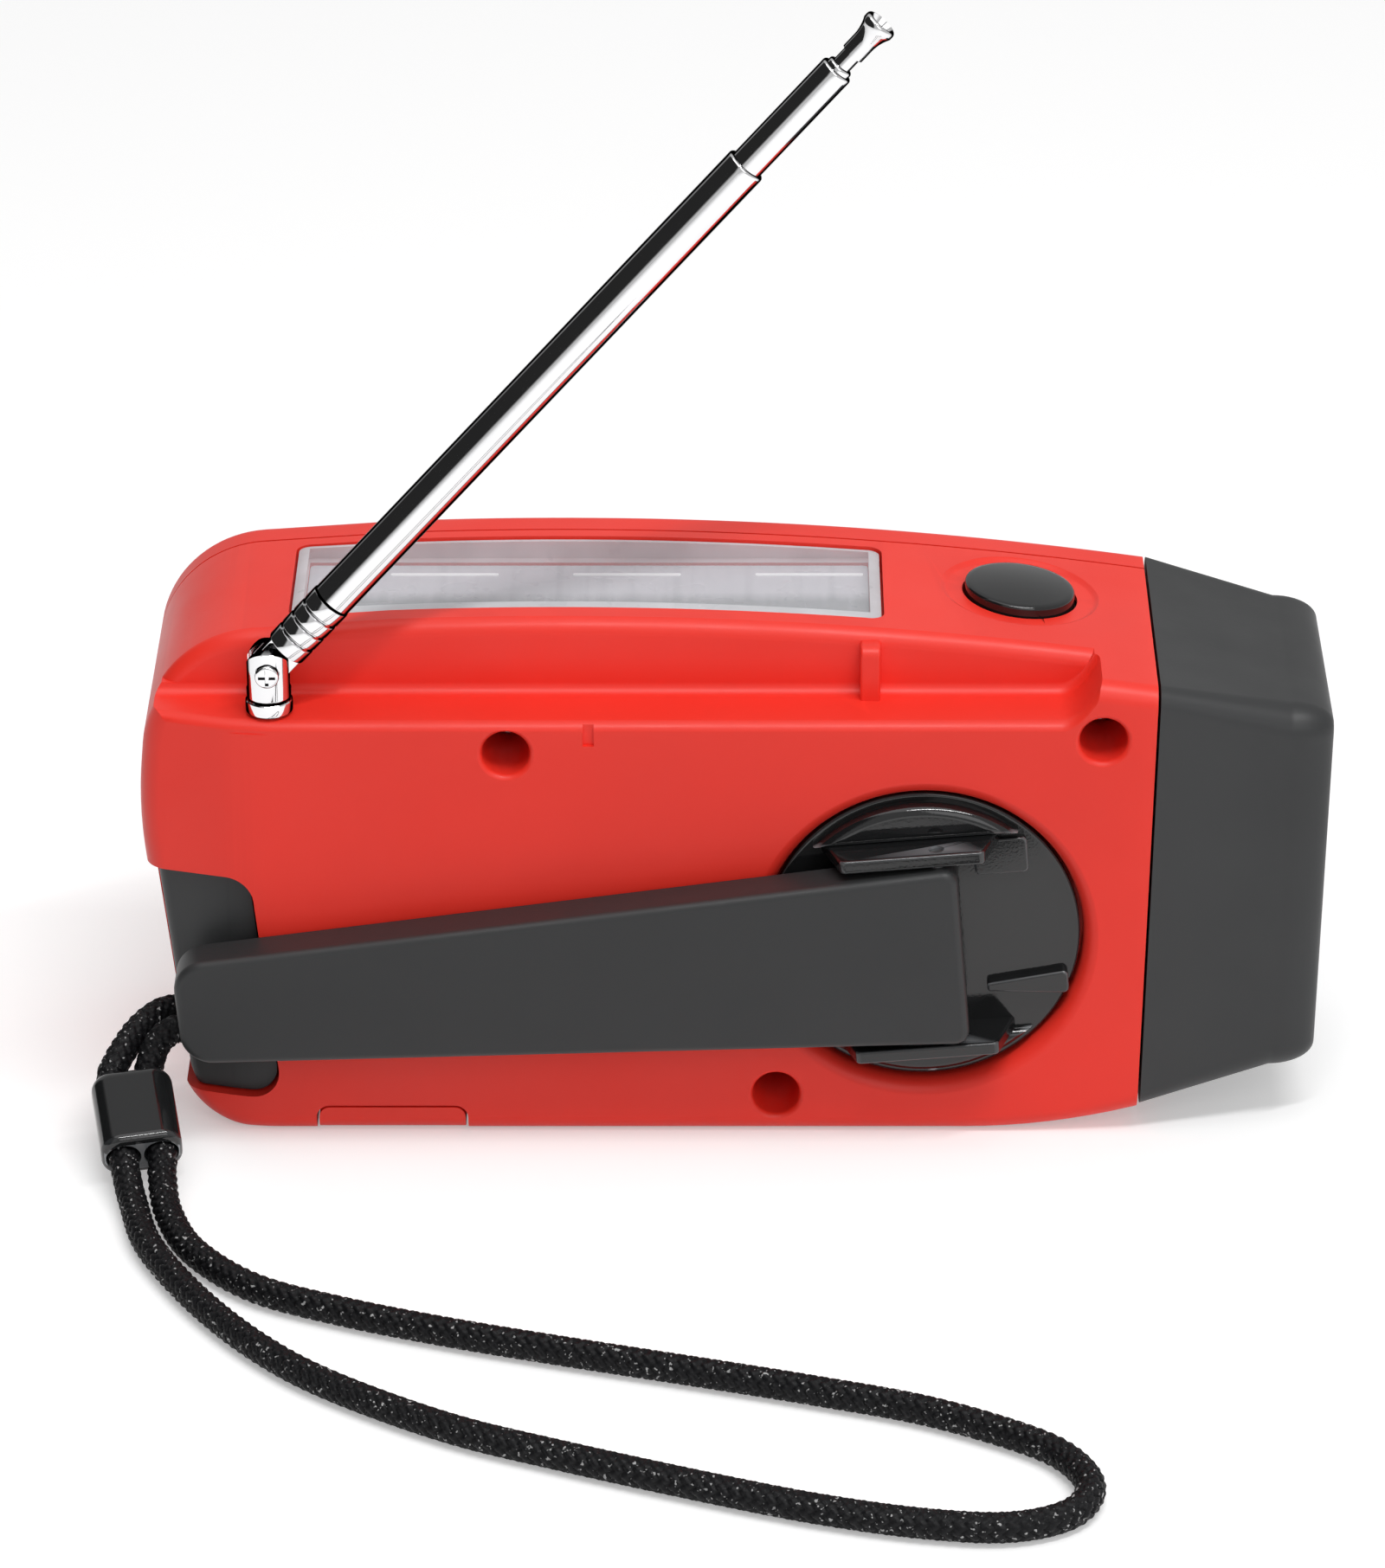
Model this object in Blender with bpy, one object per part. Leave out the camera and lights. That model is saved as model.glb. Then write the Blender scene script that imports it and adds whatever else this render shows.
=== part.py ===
"""Wind-up emergency radio with torch, solar top, folding crank and telescopic antenna.

Metres, +Z up. The radio stands on its long narrow side. +X points to the torch head, the crank and the
antenna are on the back, which faces -Y, and the loudspeaker is on the front, which faces +Y. The origin is
on the flat underside.
"""

import bmesh
import bpy
from math import acos, atan2, cos, pi, radians, sin, sqrt, tan
from mathutils import Matrix, Vector

# Clearances and cutting overruns
GAP = 0.0003
RUNNING = 0.00006
OVERRUN = 0.003

# Casing, side view in X and Z
CASE_BACK_Y = -0.019
CASE_FRONT_Y = 0.019
CASE_WALL = 0.002
CASE_RIM_RADIUS = 0.0022
CASE_LEFT_X = -0.0661
CASE_LEFT_Z = 0.038
CASE_LEFT_RADIUS = 0.050
CASE_FOOT_TUCK = 0.0043
CASE_FOOT_RADIUS = 0.008
CASE_FOOT_RIGHT_X = 0.025
CASE_RISE_RADIUS = 0.070
CASE_TOP_TUCK = 0.0018
CASE_TOP_RADIUS = 0.013
CROWN_X = -0.020
CROWN_Z = 0.059
CROWN_RADIUS = 0.446
CREASE_WIDTH = 0.0121
CREASE_DROP = 0.0035
SHELL_SEAM_Y = 0.014
HEAD_SEAM_X = 0.0455
SEAM_LEAN = radians(1.3)

# Antenna groove along the top edge of the back
LEDGE_Z = 0.0505
LEDGE_WALL_Y = -0.0108
LEDGE_END_X = 0.0348
LEDGE_END_RUN = 0.0046
LEDGE_END_RISE = 0.0048
LEDGE_EDGE_RADIUS = 0.0012
LEDGE_CORNER_RADIUS = 0.0008
CLIP_X = 0.0142
CLIP_WIDTH = 0.0022
CLIP_DEPTH = 0.0023
CLIP_HEIGHT = 0.0062
NOTCH_X = -0.0165
NOTCH_WIDTH = 0.0012
NOTCH_DEPTH = 0.0005
NOTCH_DROP = 0.0027

# Case screws in their wells
SCREW_PLACES = {
    "upper_left": (-0.0255, 0.0468),
    "upper_right": (0.0395, 0.0484),
    "lower": (0.0040, 0.0049),
}
WELL_RADIUS = 0.0026
WELL_EDGE = 0.0005
WELL_WALL = 0.0014
WELL_FLOOR_Y = -0.0080
WELL_FLOOR_THICK = 0.0016
PILLAR_RADIUS = 0.0026
SCREW_RADIUS = 0.0012
SCREW_HEAD_RADIUS = 0.0022
SCREW_HEAD_HEIGHT = 0.0014
SCREW_LENGTH = 0.014
SCREW_SLOT_WIDTH = 0.0006
SCREW_SLOT_DEPTH = 0.0006
SCREW_SLOT_SHARE = 0.8

# Solar window in the top
SOLAR_LEFT_INSET = 0.0169
SOLAR_RIGHT_X = 0.0155
SOLAR_Y = 0.0026
SOLAR_WIDTH = 0.0186
SOLAR_CORNER = 0.0012
SOLAR_COVER_UNDER_Z = 0.0564
SOLAR_CELL_THICK = 0.0009
SOLAR_CELL_MARGIN = 0.0012
SOLAR_TRAY_WALL = 0.0014

# Push button of the torch
BUTTON_X = 0.0310
BUTTON_Y = 0.0038
BUTTON_RADIUS = 0.0061
BUTTON_DOME = 0.0009
BUTTON_SKIRT = 0.0030
BUTTON_STAND = 0.0008
BUTTON_FLANGE = 0.0008
BUTTON_STEM_RADIUS = 0.0018
BUTTON_TRAVEL = 0.0008
BUTTON_DISH_RADIUS = 0.0091
BUTTON_DISH_Z = 0.0556
BUTTON_WELL_WALL = 0.0013
BUTTON_WELL_DEPTH = 0.0033
SWITCH_SIZE = 0.0062
SWITCH_POCKET_RADIUS = 0.0046
SWITCH_POCKET_DEPTH = 0.0026
SWITCH_POCKET_WALL = 0.0010

# Crank hub in its recess
HUB_X = 0.0202
HUB_Z = 0.0241
CRANK_ANGLE = radians(-4.7)
HUB_RADIUS = 0.0173
HUB_RECESS_RADIUS = 0.0177
HUB_RECESS_Y = -0.0146
HUB_RECESS_WALL = 0.0014
HUB_RIM_EDGE = 0.0006
HUB_FACE_Y = -0.0174
HUB_EDGE = 0.0004
EAR_TOP_Y = -0.0234
EAR_THICK = 0.0015
EAR_LEFT_X = -0.0105
EAR_RIGHT_X = 0.0095
EAR_SLOPE = 0.0022
PAD_MARGIN = 0.0007
UPPER_PAD_Y = -0.0196
LOWER_PAD_Y = -0.0187
CHANNEL_STEP_HALF = 0.0070
CHANNEL_STEP_LEFT_X = 0.0062
CHANNEL_STEP_HEIGHT = 0.0006
WEDGE_LEFT_X = 0.0066
WEDGE_RIGHT_X = 0.0156
WEDGE_Z = -0.0066
WEDGE_THIN = 0.0005
WEDGE_THICK = 0.0014
WEDGE_HEIGHT = 0.0012
WEDGE_CREST_INSET = 0.0002

# Crank arm and its finger knob, in the hub's own frame
ARM_OUTER_Y = -0.0243
ARM_THICK = 0.0050
ARM_RIGHT_X = 0.0043
ARM_END_INSET = 0.0039
ARM_HUB_HALF = 0.0107
ARM_FREE_HALF = 0.0061
ARM_END_RADIUS = 0.0036
ARM_CORNER_RADIUS = 0.0008
ARM_EDGE = 0.0009
ARM_BEVEL_SHARE = 0.3
ARM_WALL = 0.0014
ARM_SOLID_LENGTH = 0.0095
ARM_PIN_X = 0.0022
ARM_PIN_RADIUS = 0.0008
KNOB_INSET = 0.0068
KNOB_RADIUS = 0.0042
KNOB_EDGE = 0.0005
RIVET_RADIUS = 0.0012

# Gear train behind the hub
BUSH_RADIUS = 0.0040
SHAFT_RADIUS = 0.0020
SHAFT_HUB_DEPTH = 0.0016
CLIP_RING_RADIUS = 0.0034
CLIP_RING_THICK = 0.0006
FIRST_MODULE = 0.0006
SECOND_MODULE = 0.00045
DRIVE_TEETH = 44
IDLER_PINION_TEETH = 12
IDLER_GEAR_TEETH = 40
ROTOR_TEETH = 10
IDLER_BEARING = radians(172)
ROTOR_BEARING = radians(150)
TIP_SHARE = 0.9
ROOT_SHARE = 1.2
TOOTH_TIP_SHARE = 0.11
TOOTH_ROOT_SHARE = 0.29
DRIVE_BACK_Y = -0.0120
DRIVE_THICK = 0.0025
IDLER_BACK_Y = -0.0091
IDLER_THICK = 0.0018
IDLER_AXLE_RADIUS = 0.0010
AXLE_BOSS_RADIUS = 0.0022
PLATE_BACK_Y = -0.0066
PLATE_THICK = 0.0012
PLATE_LEFT_X = -0.0180
PLATE_RIGHT_X = 0.0335
PLATE_LOW_Z = 0.0095
PLATE_STEP_Z = 0.0160
PLATE_STEP_LEFT_X = 0.0020
PLATE_STEP_RIGHT_X = 0.0080
PLATE_HIGH_Z = 0.0440
PLATE_CORNER = 0.0025
POST_PLACES = {"left": (-0.0140, 0.0190), "upper": (0.0295, 0.0400), "lower": (0.0310, 0.0122)}
POST_RADIUS = 0.0016
GENERATOR_RADIUS = 0.0105
GENERATOR_LENGTH = 0.0090
GENERATOR_WALL = 0.0008
ROTOR_MAGNET_RADIUS = 0.0075
ROTOR_MAGNET_LENGTH = 0.0055
ROTOR_SHAFT_RADIUS = 0.0009

# Dark inlay of the left end, with the lanyard bar in its notch
INLAY_TOP_Z = 0.0313
INLAY_TOP_WIDTH = 0.0121
INLAY_LOW_Z = 0.0048
INLAY_LOW_WIDTH = 0.0149
INLAY_FRONT_Y = -0.0070
INLAY_CORNER = 0.0028
INLAY_DROP = 0.0012
INLAY_POCKET_WALL = 0.0013
LANYARD_NOTCH_Z = 0.0112
LANYARD_NOTCH_HEIGHT = 0.0044
LANYARD_NOTCH_BACK_Y = -0.0170
LANYARD_NOTCH_FRONT_Y = -0.0080
LANYARD_NOTCH_DEPTH = 0.0069
LANYARD_BAR_INSET = 0.0057
LANYARD_BAR_RADIUS = 0.0005
LANYARD_BAR_SEAT = 0.0008

# Cover of the charging socket in the bottom edge
PORT_LEFT_INSET = 0.0192
PORT_WIDTH = 0.0163
PORT_TOP_Z = 0.0032
PORT_HINGE_Y = -0.0095
PORT_DROP = 0.0001
PORT_THICK = 0.0015
PORT_CORNER = 0.0012
SOCKET_WIDTH = 0.0078
SOCKET_DEPTH = 0.0040
SOCKET_HEIGHT = 0.0050
SOCKET_LOW_Z = 0.0030
SOCKET_Y = -0.0144
SOCKET_MOUTH_WIDTH = 0.0066
SOCKET_MOUTH_DEPTH = 0.0026
SOCKET_MOUTH_REACH = 0.0036

# Torch head
HEAD_SHOULDER_X = 0.0600
HEAD_END_X = 0.0650
HEAD_SHOULDER_LOW_Z = 0.0064
HEAD_SHOULDER_HIGH_Z = 0.0508
HEAD_SHOULDER_HALF = 0.0170
HEAD_END_INSET = 0.0026
HEAD_CORNER = 0.0034
HEAD_INNER_CORNER = 0.0010
HEAD_WALL = 0.0018
HEAD_FACE_THICK = 0.0030
LENS_Z = 0.0290
LENS_RADIUS = 0.0132
LENS_THICK = 0.0014
LENS_RECESS = 0.0010
REFLECTOR_BACK_X = 0.0520
REFLECTOR_BASE_RADIUS = 0.0098
REFLECTOR_WALL = 0.0008
LED_ORBIT = 0.0052
LED_RADIUS = 0.0025
LED_LENGTH = 0.0070
LED_BOARD_RADIUS = 0.0115
LED_BOARD_THICK = 0.0012

# Antenna
ANTENNA_INSET = 0.0149
ANTENNA_Y = -0.0159
ANTENNA_HINGE_Z = 0.0559
ANTENNA_TILT = radians(48.2)
FOOT_RADIUS = 0.0026
FOOT_HEIGHT = 0.0015
FOOT_STEM_RADIUS = 0.0015
FOOT_STEM_LENGTH = 0.0050
FOOT_EDGE = 0.0003
SWIVEL_RADIUS = 0.00245
SWIVEL_SLOT = 0.0018
SWIVEL_SLOT_DROP = 0.0024
SWIVEL_PIVOT_RADIUS = 0.0008
SWIVEL_PIVOT_LENGTH = 0.0030
BLADE_THICK = 0.0014
BLADE_RADIUS = 0.0020
HINGE_PIN_RADIUS = 0.0007
HINGE_HEAD_RADIUS = 0.0013
HINGE_HEAD_HEIGHT = 0.0005
HINGE_SEAT_SHARE = 0.82
HINGE_DOME_SHARE = 0.6
FERRULE_START = 0.0031
FERRULE_END = 0.0106
FERRULE_RADIUS = 0.00235
FERRULE_RING_DEPTH = 0.0004
FERRULE_RINGS = 3
TUBE_WALL = 0.0003
TUBE_ONE_RADIUS = 0.00225
TUBE_TWO_RADIUS = 0.00185
TUBE_THREE_RADIUS = 0.00145
ROD_RADIUS = 0.00105
TUBE_ONE_TOP = 0.0779
TUBE_TWO_SHOWN = 0.0142
TUBE_TWO_LENGTH = 0.0660
TUBE_THREE_SHOWN = 0.0006
TUBE_THREE_LENGTH = 0.0640
ROD_SHOWN = 0.0033
ROD_LENGTH = 0.0660
TIP_HEIGHT = 0.0030
TIP_RADIUS = 0.00185
TIP_HOLLOW = 0.0008
TIP_NECK_RADIUS = 0.0013
TIP_NECK_LENGTH = 0.0016
TIP_DISH_SHARE = 0.6

# Electronics between the shells
BOARD_BACK_Y = 0.0075
BOARD_THICK = 0.0014
BOARD_LEFT_INSET = 0.0101
BOARD_RIGHT_X = 0.0040
BOARD_LOW_Z = 0.0095
BOARD_HIGH_Z = 0.0400
BOARD_POST_RADIUS = 0.0018
BOARD_POST_INSET = 0.0030
DIAL_SPACING = 0.0238
DIAL_Z = 0.0280
DIAL_RADIUS = 0.0130
DIAL_THICK = 0.0024
DIAL_EDGE = 0.0006
DIAL_STEM_RADIUS = 0.0024
CAPACITOR_SIZE = 0.0140
CAPACITOR_HEIGHT = 0.0060
CONTROLS_INSET = 0.0183
VOLUME_Z = 0.0370
VOLUME_RADIUS = 0.0055
VOLUME_THICK = 0.0040
VOLUME_STEM_RADIUS = 0.0018
VOLUME_BOX_SIZE = 0.0090
VOLUME_BOX_HEIGHT = 0.0044
BAND_Z = 0.0190
BAND_TRAVEL = 0.0040
BAND_CAP_WIDTH = 0.0050
BAND_CAP_LENGTH = 0.0058
BAND_CAP_THICK = 0.0016
BAND_STEM_WIDTH = 0.0024
BAND_STEM_LENGTH = 0.0030
BAND_BOX_WIDTH = 0.0070
BAND_BOX_LENGTH = 0.0130
BAND_BOX_HEIGHT = 0.0042
SPEAKER_X = 0.0240
SPEAKER_Z = 0.0280
SPEAKER_RADIUS = 0.0140
SPEAKER_FRAME_DEPTH = 0.0042
SPEAKER_WALL = 0.0009
SPEAKER_BASKET_RADIUS = 0.0075
SPEAKER_MAGNET_RADIUS = 0.0065
SPEAKER_MAGNET_LENGTH = 0.0036
GRILLE_ROWS = 9
GRILLE_PITCH = 0.0027
GRILLE_SLOT = 0.0012
GRILLE_RADIUS = 0.0125
SLOT_END_SHARE = 0.4
BATTERY_RADIUS = 0.0050
BATTERY_END_ROOM = 0.0018
BATTERY_Y = -0.0065
BATTERY_Z = 0.0088
BATTERY_LEFT_INSET = 0.0163
BATTERY_CAP_RADIUS = 0.0018
BATTERY_CAP_HEIGHT = 0.0008
CRADLE_THICK = 0.0014
CRADLE_INSET = 0.0040
CRADLE_REACH = 0.0024
FERRITE_LEFT_X = -0.0205
FERRITE_LENGTH = 0.0410
FERRITE_Y = 0.0010
FERRITE_Z = 0.0478
FERRITE_RADIUS = 0.0030
COIL_LEFT_X = -0.0165
COIL_LENGTH = 0.0160
COIL_WALL = 0.0008
SADDLE_THICK = 0.0016
SADDLE_RIGHT_X = 0.0175

# Wrist lanyard
CORD_RADIUS = 0.00165
CORD_STEP = 0.0075
SLIDER_TOP = (-0.0676, -0.0210, 0.0076)
SLIDER_FOOT = (-0.0656, -0.0315, 0.0040)
SLIDER_BORE_SPACING = 0.0042
SLIDER_WIDTH = 0.0090
SLIDER_DEPTH = 0.0058
SLIDER_CORNER = 0.0022
CORD_ROUTE = [
    (-0.0612, -0.0100, 0.0112),
    (-0.0629, -0.0102, 0.0112),
    (-0.0649, -0.0111, 0.0111),
    (-0.0670, -0.0138, 0.0105),
    (-0.0685, -0.0168, 0.0095),
    (-0.0695, -0.0192, 0.0084),
    (-0.0697, -0.0213, 0.0075),
    (-0.0677, -0.0318, 0.0039),
    (-0.0672, -0.0342, 0.0030),
    (-0.0662, -0.0384, 0.0019),
    (-0.0638, -0.0476, 0.0017),
    (-0.0580, -0.0590, 0.0017),
    (-0.0508, -0.0692, 0.0017),
    (-0.0428, -0.0771, 0.0017),
    (-0.0304, -0.0856, 0.0017),
    (-0.0183, -0.0913, 0.0017),
    (-0.0029, -0.0977, 0.0017),
    (0.0085, -0.1019, 0.0017),
    (0.0190, -0.1046, 0.0017),
    (0.0274, -0.1052, 0.0017),
    (0.0335, -0.1026, 0.0017),
    (0.0357, -0.0975, 0.0017),
    (0.0335, -0.0918, 0.0017),
    (0.0285, -0.0874, 0.0017),
    (0.0191, -0.0822, 0.0017),
    (0.0081, -0.0783, 0.0017),
    (-0.0030, -0.0748, 0.0017),
    (-0.0188, -0.0700, 0.0017),
    (-0.0311, -0.0660, 0.0017),
    (-0.0425, -0.0616, 0.0017),
    (-0.0520, -0.0566, 0.0017),
    (-0.0589, -0.0488, 0.0017),
    (-0.0622, -0.0406, 0.0019),
    (-0.0633, -0.0342, 0.0030),
    (-0.0635, -0.0312, 0.0041),
    (-0.0655, -0.0207, 0.0077),
    (-0.0655, -0.0187, 0.0087),
    (-0.0648, -0.0167, 0.0101),
    (-0.0632, -0.0154, 0.0111),
    (-0.0612, -0.0152, 0.0112),
]

# Places that follow the casing's left end
CASE_FOOT_LEFT_X = CASE_LEFT_X + CASE_FOOT_TUCK
CASE_TOP_LEFT_X = CASE_LEFT_X + CASE_TOP_TUCK
CREASE_X = CASE_LEFT_X + CREASE_WIDTH
INLAY_TOP_X = CASE_LEFT_X + INLAY_TOP_WIDTH
INLAY_LOW_X = CASE_LEFT_X + INLAY_LOW_WIDTH
LANYARD_NOTCH_X = CASE_LEFT_X + LANYARD_NOTCH_DEPTH
LANYARD_BAR_X = CASE_LEFT_X + LANYARD_BAR_INSET
ANTENNA_X = CASE_LEFT_X + ANTENNA_INSET
SOLAR_LEFT_X = CASE_LEFT_X + SOLAR_LEFT_INSET
PORT_LEFT_X = CASE_LEFT_X + PORT_LEFT_INSET
PORT_RIGHT_X = PORT_LEFT_X + PORT_WIDTH
BOARD_LEFT_X = CASE_LEFT_X + BOARD_LEFT_INSET
VOLUME_X = CASE_LEFT_X + CONTROLS_INSET
BAND_X = VOLUME_X
DIAL_X = VOLUME_X + DIAL_SPACING

# Each antenna section ends past the one that carries it
TUBE_TWO_TOP = TUBE_ONE_TOP + TUBE_TWO_SHOWN
TUBE_THREE_TOP = TUBE_TWO_TOP + TUBE_THREE_SHOWN
ROD_TOP = TUBE_THREE_TOP + ROD_SHOWN
ANTENNA_TIP = ROD_TOP + TIP_HEIGHT

# The arm reaches from the hub nearly to the casing's left end, in the hub's own frame
ARM_LEFT_X = CASE_LEFT_X - HUB_X + ARM_END_INSET
KNOB_X = ARM_LEFT_X + KNOB_INSET

# Two cells fill the room between the inlay and the lower screw's pillar
BATTERY_LEFT_X = CASE_LEFT_X + BATTERY_LEFT_INSET
BATTERY_RIGHT_X = SCREW_PLACES["lower"][0] - PILLAR_RADIUS - BATTERY_END_ROOM
BATTERY_LENGTH = (BATTERY_RIGHT_X - BATTERY_LEFT_X) / 2 - BATTERY_CAP_HEIGHT - GAP

# Smoothness
ROUND_STEPS = 8
RIM_STEPS = 3
FINE_SIDES = 32
SIDES = 20
TUBE_SIDES = 16
CROWN_STEPS = 7
RISE_STEPS = 3
CURVE_SAMPLES = 24


def clear_scene():
    """Remove what the scene holds."""
    for item in list(bpy.data.objects):
        bpy.data.objects.remove(item)


# Finishes: colour, roughness and metallic value
FINISHES = {
    "red_plastic": ((0.80, 0.045, 0.03, 1), 0.42, 0.0),
    "dark_grey_plastic": ((0.045, 0.046, 0.048, 1), 0.55, 0.0),
    "gloss_black_plastic": ((0.008, 0.008, 0.009, 1), 0.18, 0.0),
    "clear_plastic": ((0.80, 0.84, 0.86, 0.35), 0.08, 0.0),
    "solar_glass": ((0.03, 0.04, 0.07, 1), 0.25, 0.2),
    "chrome": ((0.80, 0.80, 0.81, 1), 0.10, 1.0),
    "steel": ((0.55, 0.55, 0.56, 1), 0.30, 1.0),
    "brass": ((0.70, 0.52, 0.25, 1), 0.30, 1.0),
    "copper": ((0.72, 0.35, 0.18, 1), 0.35, 1.0),
    "white_plastic": ((0.82, 0.81, 0.78, 1), 0.50, 0.0),
    "board_green": ((0.03, 0.16, 0.07, 1), 0.45, 0.0),
    "ferrite": ((0.03, 0.03, 0.033, 1), 0.65, 0.0),
    "paper_cone": ((0.10, 0.10, 0.11, 1), 0.80, 0.0),
    "cell_sleeve": ((0.05, 0.22, 0.12, 1), 0.35, 0.0),
    "led_resin": ((0.86, 0.88, 0.86, 1), 0.12, 0.0),
    "rubber": ((0.03, 0.03, 0.03, 1), 0.75, 0.0),
    "black_cord": ((0.015, 0.015, 0.016, 1), 0.85, 0.0),
}


def finish(name):
    """The Principled material of one finish."""
    if name in bpy.data.materials:
        return bpy.data.materials[name]
    colour, roughness, metallic = FINISHES[name]
    material = bpy.data.materials.new(name)
    material.use_nodes = True
    shader = material.node_tree.nodes["Principled BSDF"]
    shader.inputs["Base Color"].default_value = colour[:3] + (1,)
    shader.inputs["Alpha"].default_value = colour[3]
    shader.inputs["Roughness"].default_value = roughness
    shader.inputs["Metallic"].default_value = metallic
    material.diffuse_color = colour
    return material


# Outlines: lists of (u, v) points, counter-clockwise
def arc(centre, radius, start, end, steps):
    """Points of an arc between two angles, ends included."""
    turns = [start + (end - start) * k / steps for k in range(steps + 1)]
    return [(centre[0] + radius * cos(turn), centre[1] + radius * sin(turn)) for turn in turns]


def circle(radius, sides=SIDES, centre=(0, 0)):
    """Points round a circle."""
    return arc(centre, radius, 0, 2 * pi, sides)[:-1]


def filleted(corners, steps=4):
    """Outline through (u, v, radius) corners, each rounded by its radius."""
    points = []
    for k, (u, v, radius) in enumerate(corners):
        here = Vector((u, v))
        before = (Vector(corners[k - 1][:2]) - here).normalized()
        after = (Vector(corners[(k + 1) % len(corners)][:2]) - here).normalized()
        if radius == 0:
            points.append((u, v))
            continue
        half = acos(max(-1, min(1, before.dot(after)))) / 2
        centre = here + (before + after).normalized() * (radius / sin(half))
        first = here + before * (radius / tan(half)) - centre
        last = here + after * (radius / tan(half)) - centre
        start = atan2(first.y, first.x)
        sweep = (atan2(last.y, last.x) - start + pi) % (2 * pi) - pi
        points += arc(centre, radius, start, start + sweep, steps)
    return points


def rounded_box(u_low, u_high, v_low, v_high, radius, steps=4):
    """Rectangle with round corners."""
    corners = [(u_low, v_low), (u_high, v_low), (u_high, v_high), (u_low, v_high)]
    return filleted([(u, v, radius) for u, v in corners], steps)


def inset(points, distance):
    """The outline moved inwards by a distance; a negative distance moves it outwards."""
    moved = []
    for k, point in enumerate(points):
        here = Vector(point)
        into = (here - Vector(points[k - 1])).normalized()
        out = (Vector(points[(k + 1) % len(points)]) - here).normalized()
        side = Vector((-into.y - out.y, into.x + out.x)).normalized()
        lean = side.dot(Vector((-into.y, into.x)))
        moved.append(tuple(here + side * (distance / lean)))
    return moved


# Solids
def placed(axis, u, v, w):
    """World point of outline coordinates (u, v) at w along an axis."""
    return {"X": (w, u, v), "Y": (u, w, v), "Z": (u, v, w)}[axis]


def stacked(levels, axis):
    """Closed solid through equal outlines, each (outline, place along the axis)."""
    mesh = bmesh.new()
    rings = [[mesh.verts.new(placed(axis, u, v, w)) for u, v in outline] for outline, w in levels]
    count = len(rings[0])
    for low, high in zip(rings, rings[1:]):
        for k in range(count):
            after = (k + 1) % count
            mesh.faces.new((low[k], low[after], high[after], high[k]))
    mesh.faces.new(rings[0])
    mesh.faces.new(rings[-1])
    bmesh.ops.recalc_face_normals(mesh, faces=mesh.faces)
    return mesh


def prism(outline, low, high, axis="Y"):
    """Outline extruded along an axis."""
    return stacked([(outline, low), (outline, high)], axis)


def box(low, high):
    """Block between two corners."""
    outline = [(low[0], low[1]), (high[0], low[1]), (high[0], high[1]), (low[0], high[1])]
    return prism(outline, low[2], high[2], "Z")


def turned(profile, axis="Y", centre=(0, 0), sides=SIDES):
    """Solid of revolution; profile points are (radius, place along the axis)."""
    mesh = bmesh.new()
    rings = []
    for radius, w in profile:
        around = circle(radius, sides, centre) if radius else [centre]
        rings.append([mesh.verts.new(placed(axis, u, v, w)) for u, v in around])
    hollow = profile[0][0] > 0 and profile[-1][0] > 0
    pairs = list(zip(rings, rings[1:] + rings[:1])) if hollow else list(zip(rings, rings[1:]))
    for low, high in pairs:
        for k in range(sides):
            after = (k + 1) % sides
            corners = [low[k % len(low)], low[after % len(low)], high[after % len(high)], high[k % len(high)]]
            unique = list(dict.fromkeys(corners))
            if len(unique) > 2:
                mesh.faces.new(unique)
    bmesh.ops.recalc_face_normals(mesh, faces=mesh.faces)
    return mesh


def rod(radius, low, high, axis="Y", centre=(0, 0), sides=SIDES):
    """Plain round bar."""
    return prism(circle(radius, sides, centre), low, high, axis)


def ring(inner, outer, low, high, axis="Y", centre=(0, 0), sides=SIDES):
    """Plain round tube."""
    return turned([(inner, low), (outer, low), (outer, high), (inner, high)], axis, centre, sides)


def sliced(mesh, point, normal):
    """Take away what lies beyond a plane, and close the cut."""
    geometry = list(mesh.verts) + list(mesh.edges) + list(mesh.faces)
    bmesh.ops.bisect_plane(mesh, geom=geometry, plane_co=point, plane_no=normal, clear_outer=True)
    open_edges = [edge for edge in mesh.edges if edge.is_boundary]
    bmesh.ops.holes_fill(mesh, edges=open_edges)
    bmesh.ops.recalc_face_normals(mesh, faces=mesh.faces)
    return mesh


# Objects
def new_object(name, mesh, parent=None):
    """Object made of a solid."""
    data = bpy.data.meshes.new(name)
    mesh.to_mesh(data)
    mesh.free()
    item = bpy.data.objects.new(name, data)
    bpy.context.scene.collection.objects.link(item)
    item.parent = parent
    return item


def combine(item, mesh, operation):
    """Join, cut or trim an object by a solid in its own frame."""
    tool = new_object("tool", mesh)
    tool.matrix_world = item.matrix_world
    modifier = item.modifiers.new("shape", "BOOLEAN")
    modifier.operation = operation
    modifier.solver = "EXACT"
    modifier.object = tool
    bpy.context.view_layer.update()
    result = bpy.data.meshes.new_from_object(item.evaluated_get(bpy.context.evaluated_depsgraph_get()))
    item.modifiers.clear()
    before = item.data
    item.data = result
    bpy.data.meshes.remove(before)
    bpy.data.objects.remove(tool)


def cut(item, *meshes):
    """Cut solids out of an object."""
    for mesh in meshes:
        combine(item, mesh, "DIFFERENCE")


def join(item, *meshes):
    """Join solids to an object as one body."""
    for mesh in meshes:
        combine(item, mesh, "UNION")


def trim(item, mesh):
    """Keep only what an object shares with a solid."""
    combine(item, mesh, "INTERSECT")


def finished(item, finish_name, smooth=True):
    """Give an object its material and its shading."""
    data = item.data
    data.name = item.name
    data.materials.clear()
    data.materials.append(finish(finish_name))
    if smooth:
        data.shade_smooth()
        data.set_sharp_from_angle(angle=radians(32))
    return item


def piece(name, mesh, finish_name, parent=None):
    """One plain sub-part."""
    return finished(new_object(name, mesh, parent), finish_name)


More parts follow.
